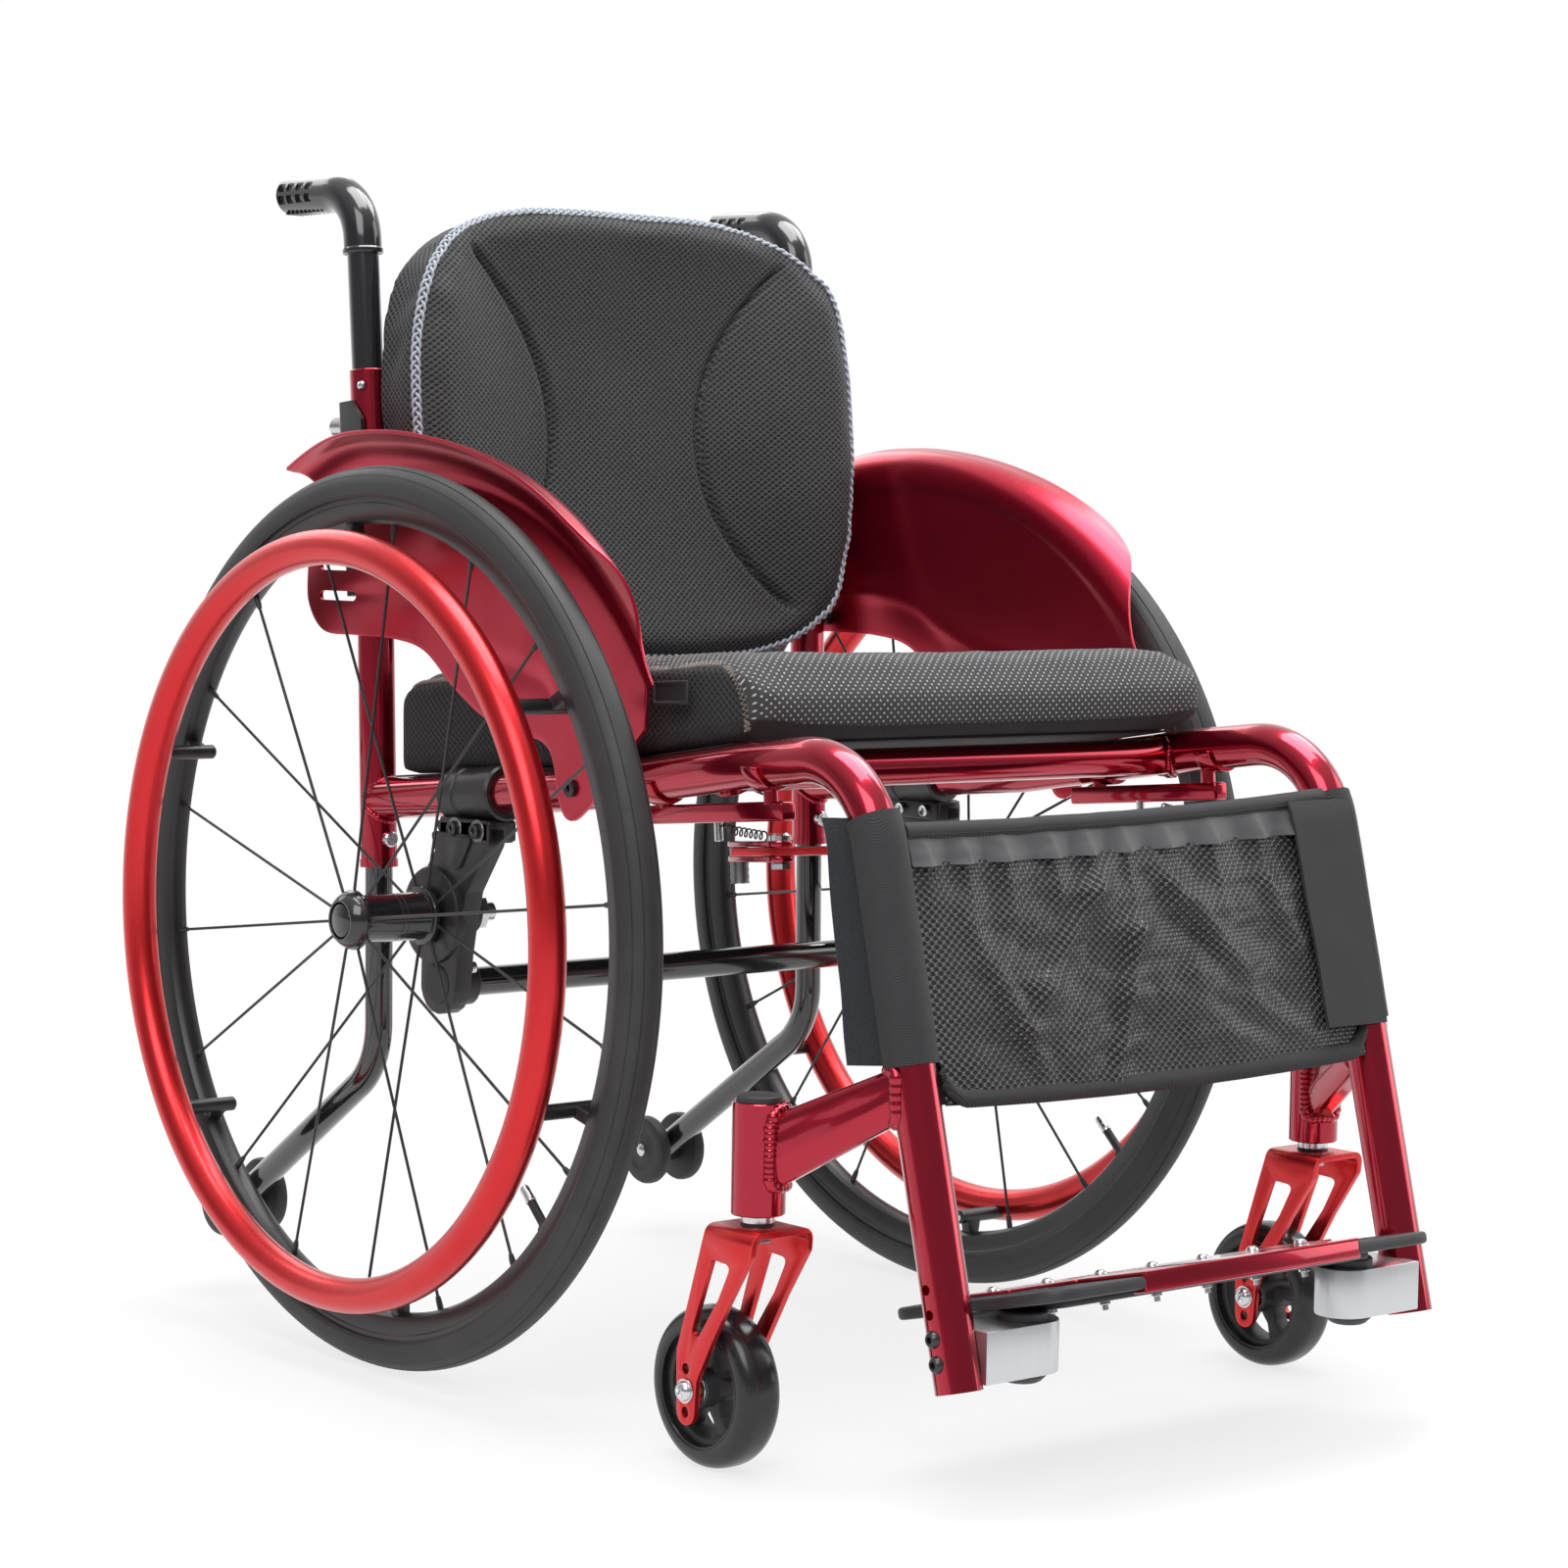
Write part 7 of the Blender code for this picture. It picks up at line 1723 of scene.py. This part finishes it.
inner, outer = cane_radius + 0.0003, cane_radius + 0.0033
section = cornered(
    [(-outer, -0.0125, 0), (-inner, -0.0125, 0), (-inner, inner - 0.003), (-inner + 0.003, inner, 0),
     (inner - 0.003, inner, 0), (inner, inner - 0.003), (inner, -0.0125, 0), (outer, -0.0125, 0),
     (outer, outer), (-outer, outer)], 0.0045)
channel_stand = Matrix.Translation(cane_at(channel_z)) @ Matrix.Rotation(-math.atan(0.0911), 4, "X")
channel = plate(section, 0.134, (), channel_stand, 0.0006)
lock_at = cane_at(lock_z)
eighth_turn = Matrix.Rotation(math.radians(45.0), 4, "X")
corner_cut = [
    block((0.05, 0.020, 0.020), Matrix.Translation((rail_x, cane_y(z) - 0.0150, z)) @ eighth_turn,
          0.0006, 1)
    for z in (0.512, 0.646)
]
relief_bar = bar(upright_at(0.49), upright_at(hinge_z - 0.0127), 0.0130, 40)
channel = cut_by(channel, bar(lock_at, lock_at + Vector((0, 0.03, 0)), 0.0042, 24), relief_bar, *corner_cut)
both(flat_ready(channel, 30.0), "back_channel", satin_black, "chassis", "back_bracket_*")
hinge_pin = [bar(cane_foot - Vector((outer + 0.0028, 0, 0)),
                 cane_foot + Vector((outer + 0.0028, 0, 0)), 0.0030, 20)]
for s in (-1, 1):
    hinge_pin.append(socket_screw(cane_foot + Vector((s * outer, 0, 0)), (s, 0.0, 0.0), 0.0055, 0.0028))
both(joined(*hinge_pin), "back_hinge_pin", steel, "chassis")

lock_out = Vector((0.0, 1.0, 0.0))
lock_face = lock_at + Vector((0.0, outer, 0.0))
knob_section = [(0.0, 0.0265), (0.0058, 0.0265), (0.0066, 0.0258)]
for i in range(11):
    knob_section.append((0.0070 - (0.0005 if i % 2 else 0.0), 0.0250 - 0.0013 * i))
knob_section += [(0.0062, 0.0112), (0.0050, 0.0105), (0.0050, 0.0012), (0.0032, 0.0012),
                 (0.0032, -0.0024), (0.0, -0.0024)]
both(turned(knob_section, lock_face, lock_out, 40), "lock_knob", steel, "lock_pin_*", "lock_pin_*")

# Push handles. A gloss black tube slides in each cane, set to a height by the snap button, and
# ends in a moulded black grip with two rows of small pockets at its side.
corner_z = 0.7890
grip_end = (rail_x, axle_y + 0.2150, corner_z + 0.0030)


def handle_line(low_z, shorten):
    return bent([cane_at(low_z), cane_at(corner_z),
                 (rail_x, grip_end[1] - shorten, grip_end[2])], (0.036,), 20)


handle = drawn_tube(handle_line(0.575, 0.012), 0.0110, 40)
snap_cuts = []
for i in range(4):
    at = cane_at(snap_z - 0.020 * i)
    snap_cuts.append(bar(at + snap_out * 0.0065, at + snap_out * 0.016, 0.0033, 20))
both(flat_ready(cut_by(handle, *snap_cuts), 35.0), "handle_bar",
     gloss_tube, "push_handle_*", "handle_tube_*")
grip_path = handle_line(0.747, 0.0045)
fine = []
for a, b in zip(grip_path, grip_path[1:]):
    steps = max(1, round((b - a).length / 0.0020))
    fine += [a.lerp(b, k / steps) for k in range(steps)]
grip_path = fine + [grip_path[-1]]
grip = drawn_tube(grip_path, 0.0131, 40)
end_dome = turned([(0.0, 0.0045), (0.0060, 0.0043), (0.0095, 0.0034), (0.0120, 0.0016),
                   (0.0130, -0.0010), (0.0, -0.0010)],
                  grip_path[-1], grip_path[-1] - grip_path[-2], 40)
collar = turned([(0.0112, 0.0), (0.0138, 0.0), (0.0141, 0.0010), (0.0141, 0.0030), (0.0131, 0.0042),
                 (0.0112, 0.0042), (0.0112, 0.0)],
                grip_path[0], grip_path[1] - grip_path[0], 40)
pockets = []
for s in (-1, 1):
    for row in (-1, 1):
        for column in range(4):
            at = Matrix.Translation((rail_x + s * 0.0131, grip_end[1] - 0.0100 - 0.0115 * column,
                                     grip_end[2] + 0.0042 * row))
            pockets.append(block((0.0066, 0.0088, 0.0062), at, 0.0012, 2))
ribs = []
for column in range(9):
    y = grip_end[1] - 0.009 - 0.0056 * column
    ribs.append(block((0.0150, 0.0022, 0.0022), Matrix.Translation((rail_x, y, grip_end[2] - 0.0130)),
                      0.0010, 2))
grip = cut_by(grip, *pockets)
both(joined(flat_ready(grip, 40.0), end_dome, collar, *ribs), "grip_moulding",
     gloss_black, "push_handle_*", "handle_grip_*")
snap = turned([(0.0, 0.0050), (0.0018, 0.0048), (0.0029, 0.0036), (0.0030, 0.0), (0.0, 0.0)],
              snap_at + snap_out * 0.0113, snap_out, 24)
both(snap, "snap_dome", steel, "snap_button_*", "snap_button_*")


# Footrest. A black moulded board in two halves is held in a red pressed channel by seven
# screws. It stands on a spacer on each brushed aluminium block, which is bolted to the leg.

board_tilt = math.radians(14.0)
board_y, board_z = axle_y - 0.4875, 0.118
board_frame = Matrix.Translation((0, board_y, board_z)) @ Matrix.Rotation(-board_tilt, 4, "X")
board_half, board_deep, board_thick = 0.165, 0.075, 0.0075
channel_half, channel_sheet, channel_lip = 0.092, 0.0025, 0.0032
screw_pitch = 0.0442
screws_x = [screw_pitch * (i - 3) for i in range(7)]
notch = channel_lip + 0.0028
board_edge = cornered(
    [(board_half, board_deep), (-board_half, board_deep), (-board_half, -board_deep),
     (-channel_half, -board_deep, 0), (-channel_half, notch - board_deep, 0),
     (channel_half, notch - board_deep, 0), (channel_half, -board_deep, 0), (board_half, -board_deep)],
    0.022, 8)
board = plate(board_edge, board_thick, (),
              board_frame @ Matrix.Translation((0, 0, -channel_sheet - board_thick / 2)), 0.0022)
pads = []
for s in (-1, 1):
    for k in range(4):
        pads.append(block((0.0030, 0.090, 0.0016),
                          board_frame @ Matrix.Translation((s * (0.146 - 0.0075 * k), 0.004,
                                                            -channel_sheet - 0.0002)), 0.0007, 2))
settle(joined(board, *pads), "foot_board", matt_plastic, "chassis", "footplate_board")

wing = screws_x[-1] + 0.008
plan = cornered(
    [(-wing, 0.0425), (-wing, -0.0095), (-channel_half, -0.0175), (-channel_half, -board_deep, 0),
     (channel_half, -board_deep, 0), (channel_half, -0.0175), (wing, -0.0095), (wing, 0.0425)], 0.006)
low = -board_thick - channel_sheet
sheet = plate(plan, channel_sheet, [circled((x, 0.0125), 0.0021, 16) for x in screws_x],
              board_frame @ Matrix.Translation((0, 0, -channel_sheet / 2)), 0.0007)
front_lip = block((2 * channel_half, channel_lip, -low + 0.0022),
                  board_frame @ Matrix.Translation((0, channel_lip / 2 - board_deep,
                                                    (low - 0.0022) / 2)), 0.0012, 3)
ribbed = block((0.262, 0.100, 0.0050), board_frame @ Matrix.Translation((0, 0.004, low - 0.0020)),
               0.0016, 2)
under_lip = block((2 * channel_half, 0.012, 0.0022),
                  board_frame @ Matrix.Translation((0, 0.006 - board_deep, low - 0.0014)), 0.0009, 2)
settle(joined(sheet, front_lip, under_lip), "foot_channel", candy_red, "chassis", "footplate_channel")
settle(ribbed, "board_ribs", matt_plastic, "chassis")
screws, nuts = [], []
board_up = (board_frame @ Vector((0, 0, 1)) - board_frame @ Vector((0, 0, 0))).normalized()
for x in screws_x:
    at = board_frame @ Vector((x, 0.0125, 0.0))
    dome = turned([(0.0, 0.0030), (0.0022, 0.0027), (0.0038, 0.0014), (0.0042, 0.0004),
                   (0.0042, -0.0004), (0.0, -0.0004)], at, board_up, 28)
    turn = board_frame.to_3x3().to_4x4() @ Matrix.Rotation(7.0 * x / screw_pitch, 4, "Z")
    cross = [block(size, Matrix.Translation(at + board_up * 0.0030) @ turn, 0.0002, 1)
             for size in ((0.0044, 0.0009, 0.0022), (0.0009, 0.0044, 0.0022))]
    screws.append(cut_by(dome, *cross))
    under = board_frame @ Vector((x, 0.0125, low - 0.0042))
    nuts.append(turned([(0.0, 0.0), (0.0046, 0.0), (0.0046, 0.0008), (0.0036, 0.0010), (0.0038, 0.0038),
                        (0.0021, 0.0044), (0.0021, 0.0074), (0.0, 0.0076)], under, -board_up, 6))
settle(joined(*screws, *nuts), "board_screws", steel, "chassis")

silver, tree, shader = look("silver_aluminium", "silver_aluminium")
spot = on_surface(tree)
marks = use(tree, handling, Vector=spot, Roughness=0.34, Unevenness=0.16, Scratches=0.2)
brush = feed(tree, "Mapping", {"Vector": spot, "Scale": (900.0, 900.0, 14.0)})
lines = noised(tree, brush.outputs[0], 1.0, 2.0)
edges = use(tree, edge_wear_and_highlight, Width=0.0006, Strength=0.6)
tone = mixed(tree, lines, (0.60, 0.61, 0.62), (0.65, 0.66, 0.67))
rubbed = mixed(tree, edges["Mask"], tone, (0.82, 0.82, 0.83))
grain = bumped(tree, lines, 0.05, 0.0003)
set_shader(tree, shader, Base_Color=rubbed, Roughness=marks["Roughness"], Metallic=0.95, Normal=grain)

block_z, block_r, block_in = 0.0905, 0.0185, 0.118
block_at = leg_y(block_z)
block_out = rail_x - 0.0085
edge_line = [(block_out, block_at + block_r), (block_in + block_r, block_at + block_r)]
end_turns = [math.radians(90.0 + 9.0 * i) for i in range(1, 20)]
edge_line += [(block_in + block_r + block_r * math.cos(a), block_at + block_r * math.sin(a))
              for a in end_turns]
edge_line += [(block_in + block_r, block_at - block_r), (block_out, block_at - block_r)]
spacer_x = block_in + block_r + 0.004
arm_block = plate(edge_line, 0.031, (), Matrix.Translation((0, 0, block_z)), 0.0009)
leg_groove = drawn_tube([leg_end - leg_ahead * 0.01, leg_end - leg_ahead * 0.06], tube_radius + 0.0003, 40)
both(flat_ready(cut_by(arm_block, leg_groove)), "foot_block", silver, "chassis", "footplate_block_*")
shelf = board_z + low - math.tan(board_tilt) * (block_at - board_y)
collar = turned([(0.0, shelf - 0.0022), (0.0140, shelf - 0.0022), (0.0148, shelf - 0.0032),
                 (0.0148, block_z + 0.0148), (0.0, block_z + 0.0148)],
                (spacer_x, block_at, 0.0), steps=40)
knob = turned([(0.0, block_z - 0.0215), (0.0098, block_z - 0.0215), (0.0118, block_z - 0.0205),
               (0.0146, block_z - 0.0176), (0.0150, block_z - 0.0150), (0.0, block_z - 0.0150)],
              (spacer_x, block_at, 0.0), steps=40)
both(joined(collar, knob), "foot_spacer", matt_plastic, "chassis")


# Calf strap. Two twill sleeves close round the legs with hook and loop, and between them hangs
# a backing cloth with a mesh pocket, a gathered grey top band and bound black edges.

pouch_top, pouch_foot, sleeve_foot = 0.400, 0.236, 0.253
bend_start = side_line[-2]
pouch_half = rail_x - tube_radius + 0.0015
pouch_middle, pouch_tall = (pouch_top + pouch_foot) / 2, (pouch_top - pouch_foot) / 2


def hanging(u, w, out):
    """A point of the cloth: u across and w up, both -1 to 1, and out ahead of the legs' axes."""
    sag = (1 - u * u) * (0.0035 * max(0.0, w) + 0.0045 * max(0.0, -w))
    z = pouch_middle + w * pouch_tall - sag - 0.0030 * u * max(0.0, -w) - 0.0042 * (1 - u)
    bend = max(0.0, z - bend_start.z) ** 2 / 0.124
    return Vector((u * pouch_half, leg_y(z) + bend - 0.0060 - out, z))


def cloth(across, up, shape, thick, finish):
    """A piece of cloth: a grid drawn to a shape, given a thickness and its finish."""
    nothing_selected()
    bpy.ops.mesh.primitive_grid_add(x_subdivisions=across, y_subdivisions=up, size=2.0)
    piece = bpy.context.object
    for vertex in piece.data.vertices:
        vertex.co = shape(vertex.co.x, vertex.co.y)
    altered(piece, "SOLIDIFY", thickness=thick, offset=0.0)
    piece.data.materials.append(finish)
    return flat_ready(piece, 60.0)


def backing_point(u, w):
    return hanging(u, w, 0.0006 * wavy((u, w, 0.0), 3.0, 2.0) - 0.0012)


def pleats(u):
    """The gathers along the pocket's mouth, sharp at their crests."""
    part = (u * 5.2 + 0.45 * wavy((u, 0.0, 0.0), 2.4, 1.0)) % 1.0
    return (2 * abs(2 * part - 1) ** 1.6 - 1) * (0.80 + 0.7 * wavy((u, 0.0, 0.0), 4.0, 8.0))


folds = ((-0.12, 0.95, -0.60, -0.40, 0.0050, 0.010), (0.08, 0.90, 0.50, -0.35, 0.0056, 0.012),
         (-0.05, 0.30, -0.24, -0.92, 0.0048, 0.008), (0.62, 0.60, 0.86, -0.60, 0.0040, 0.009),
         (-0.82, 0.60, -0.56, -0.80, 0.0036, 0.008), (0.20, -0.10, 0.74, -0.78, 0.0042, 0.010))


def folded(u, w):
    """Soft ridges where the slack mesh is drawn between its sewn edges."""
    out = 0.0
    for u0, w0, u1, w1, high, wide in folds:
        run_x, run_z = (u1 - u0) * pouch_half, (w1 - w0) * pouch_tall
        x, z = (u - u0) * pouch_half, (w - w0) * pouch_tall
        t = min(1.0, max(0.0, (x * run_x + z * run_z) / (run_x ** 2 + run_z ** 2)))
        out += high * math.exp(-(math.hypot(x - t * run_x, z - t * run_z) / wide) ** 2)
    return out


def pocket_point(u, w):
    v = 0.860 * (w + 1.0) - 1.0
    full = (1 - u ** 6) * (0.30 + 0.70 * min(1.0, (1.0 - abs(w)) * 3.0))
    slack = 0.0034 * pleats(u) * max(0.0, (w - 0.15) / 0.85) ** 2
    slack += 0.0062 * (1 - u ** 4) * wavy((u * 1.7 + w * 0.55, w * 1.25, 0.3), 2.1, 7.0)
    slack += 0.0026 * abs(wavy((u * 2.3 - w * 0.9, w * 1.7, 0.0), 3.2, 4.0))
    slack += folded(u, w) * (1 - u ** 4) - 0.0030
    return hanging(u * 0.995, v, 0.0035 + full * (0.0058 + slack))


def band_point(u, w):
    out = 0.0072 + 0.0042 * pleats(u) * (0.58 - 0.42 * w) - 0.0014 * (w + 1.0)
    out += 0.0006 * wavy((u * 9.0, w, 0.0), 1.4, 2.0)
    return hanging(u * 0.996, 0.700 + (w + 1.0) * 0.100, out)


def hem_point(u, w):
    return hanging(u, 0.952 + w * 0.048 + 0.006 * wavy((u * 7.0, 0.0, 0.0), 1.0, 4.0),
                   0.0040 + 0.0018 * (1 - w * w))


def tape_point(u, w):
    """The bound bottom edge, rounded up at its ends."""
    rise = 0.16 * max(0.0, (abs(u) - 0.91) / 0.09) ** 2
    return hanging(u, rise - 0.955 + w * 0.050, 0.0044 + 0.0024 * (1 - w * w)
                   + 0.0006 * wavy((u * 6.0, 0.0, 0.0), 1.0))


pouch_mesh, tree, shader = look("pouch_mesh", "strap_fabric")
spot = on_surface(tree)
parts = feed(tree, "SeparateXYZ", {0: spot}).outputs
flat_xz = feed(tree, "CombineXYZ", {0: parts["X"], 1: parts["Z"]}).outputs[0]
holes = use(tree, open_mesh, Vector=flat_xz, Across=0.0058, Along=0.0050, Hole=0.50)
fibre = use(tree, yarn, Vector=spot, Fineness=1700.0)
tone = mixed(tree, holes["Strand"], (0.007, 0.007, 0.008), (0.017, 0.017, 0.019))
tone = mixed(tree, calc(tree, "MULTIPLY", fibre["Tone"], 0.3), tone, (0.024, 0.024, 0.026))
# The knots where the strands cross are lightened with a painted highlight.
tone = mixed(tree, calc(tree, "POWER", holes["Knot"], 1.6), tone, (0.17, 0.17, 0.18))
dark = mixed(tree, holes["Hole"], tone, (0.004, 0.004, 0.005))
relief = bumped(tree, holes["Height"], 0.9, 0.0012)
set_shader(tree, shader, Base_Color=dark, Roughness=0.36, Normal=relief, Sheen_Weight=0.04)

band_nylon = yarned("band_nylon", 2800.0, "Tone", ((0.054, 0.053, 0.056), (0.088, 0.087, 0.090)),
                    (0.25, 0.0003), Roughness=0.50, Sheen_Weight=0.12, Sheen_Roughness=0.35)

binding_tape, tree, shader = look("binding_tape")
spot = on_surface(tree)
fibre = use(tree, yarn, Vector=spot, Fineness=2300.0)
rib = feed(tree, "TexWave", {"Vector": spot, "Scale": 230.0, "Distortion": 0.8},
           bands_direction="DIAGONAL").outputs["Fac"]
tone = mixed(tree, rib, (0.004, 0.004, 0.005), (0.020, 0.020, 0.022))
relief = bumped(tree, calc(tree, "ADD", rib, calc(tree, "MULTIPLY", fibre["Fibre"], 0.5)), 0.5, 0.0003)
set_shader(tree, shader, Base_Color=tone, Roughness=0.72, Normal=relief, Sheen_Weight=0.05)

backing = cloth(60, 32, backing_point, 0.0009, strap_fabric)
pocket = cloth(200, 90, pocket_point, 0.0010, pouch_mesh)
band = cloth(240, 12, band_point, 0.0007, band_nylon)
edges = [cloth(120, 6, hem_point, 0.0030, binding_tape), cloth(120, 6, tape_point, 0.0034, binding_tape)]
seam = drawn_tube([hem_point(-1.0 + i / 60, -0.55) + Vector((0, -0.0016, 0)) for i in range(121)],
                  0.0004, 6)
seam.data.materials.append(binding_tape)

# The sleeves are drawn out a little on the outside, where their hook and loop meets. The right
# one ends there in a bare strip of loop pile, and the left one laps over the pocket's edge.
sleeve_rows = [sleeve_foot + (bend_start.z - sleeve_foot) * i / 24 for i in range(25)]
sleeve_line = [Vector((rail_x, leg_y(z), z)) for z in sleeve_rows]
sleeve_line += [side_line[-3], side_line[-4], side_line[-5]]


def sleeve_skin(radius, fin, narrow, piece):
    """Draws a round sleeve out sideways: a fin outside and a slight oval inside."""
    for vertex in piece.data.vertices:
        off = (vertex.co.x - rail_x) / radius
        if off > 0.0:
            vertex.co.x = rail_x + radius * off + fin * off ** 4 + 0.0005 * wavy(vertex.co, 30.0)
        else:
            vertex.co.x = rail_x + radius * off * narrow
    return piece


wall_radius = tube_radius + 0.0003 + 0.0018
sleeve = sleeve_skin(wall_radius, 0.0010, 1.03, drawn_tube(sleeve_line, wall_radius, 64))
bore = sleeve_skin(wall_radius - 0.0012, 0.0006, 1.01,
                   drawn_tube([sleeve_line[0] + leg_ahead * 0.01] + sleeve_line + [side_line[-7]],
                              wall_radius - 0.0012, 64))
sleeve = flat_ready(cut_by(sleeve, bore), 40.0)
sleeve.data.materials.append(strap_fabric)
loop_pile = yarned("loop_pile", 900.0, "Fibre", ((0.006, 0.006, 0.008), (0.030, 0.032, 0.040)),
                   (1.0, 0.0010), Roughness=0.95, Sheen_Weight=0.15, Sheen_Roughness=0.5)


def lying(side, start, way, wide, foot_wide, w, u):
    """A point of a flat strip beside a sleeve: u across it from 0 to 1, and w along it from -1 to 1."""
    t = (w + 1) / 2 * (len(sleeve_line) - 1)
    low = min(int(t), len(sleeve_line) - 2)
    at = sleeve_line[low].lerp(sleeve_line[low + 1], t - low)
    run = (wide * (w + 1) + foot_wide * (1 - w)) / 2 * u
    at = at + Vector(start) + Vector(way) * run
    at += Vector((0.0, 0.0012 * wavy((w * 1.4, u, side * 2.0), 1.5) * u, 0.0))
    return Vector((at.x * side, at.y, at.z))


def pile_point(u, w):
    return lying(-1, (0.0102, 0.0081, 0.0), (0.78, 0.62, 0.0), 0.0175, 0.0245, w, (u + 1) / 2)


def lap_point(u, w):
    return lying(1, (0.0020, -0.0178, 0.0), (-1.0, 0.02, 0.0), 0.0560, 0.0530, w, (u + 1) / 2)


pile = cloth(10, 60, pile_point, 0.0030, loop_pile)
lap = cloth(14, 60, lap_point, 0.0022, strap_fabric)
sleeves = both(sleeve, "strap_sleeve", None, "chassis")
settle(pile, "sleeve_pile", None, "chassis")
settle(lap, "sleeve_lap", None, "chassis")
settle(pocket, "pouch_pocket", None, "chassis", "calf_pouch")
settle(backing, "pouch_backing", None, "chassis")
settle(band, "pouch_band", None, "chassis")
settle(joined(*edges, seam), "pouch_binding", None, "chassis")
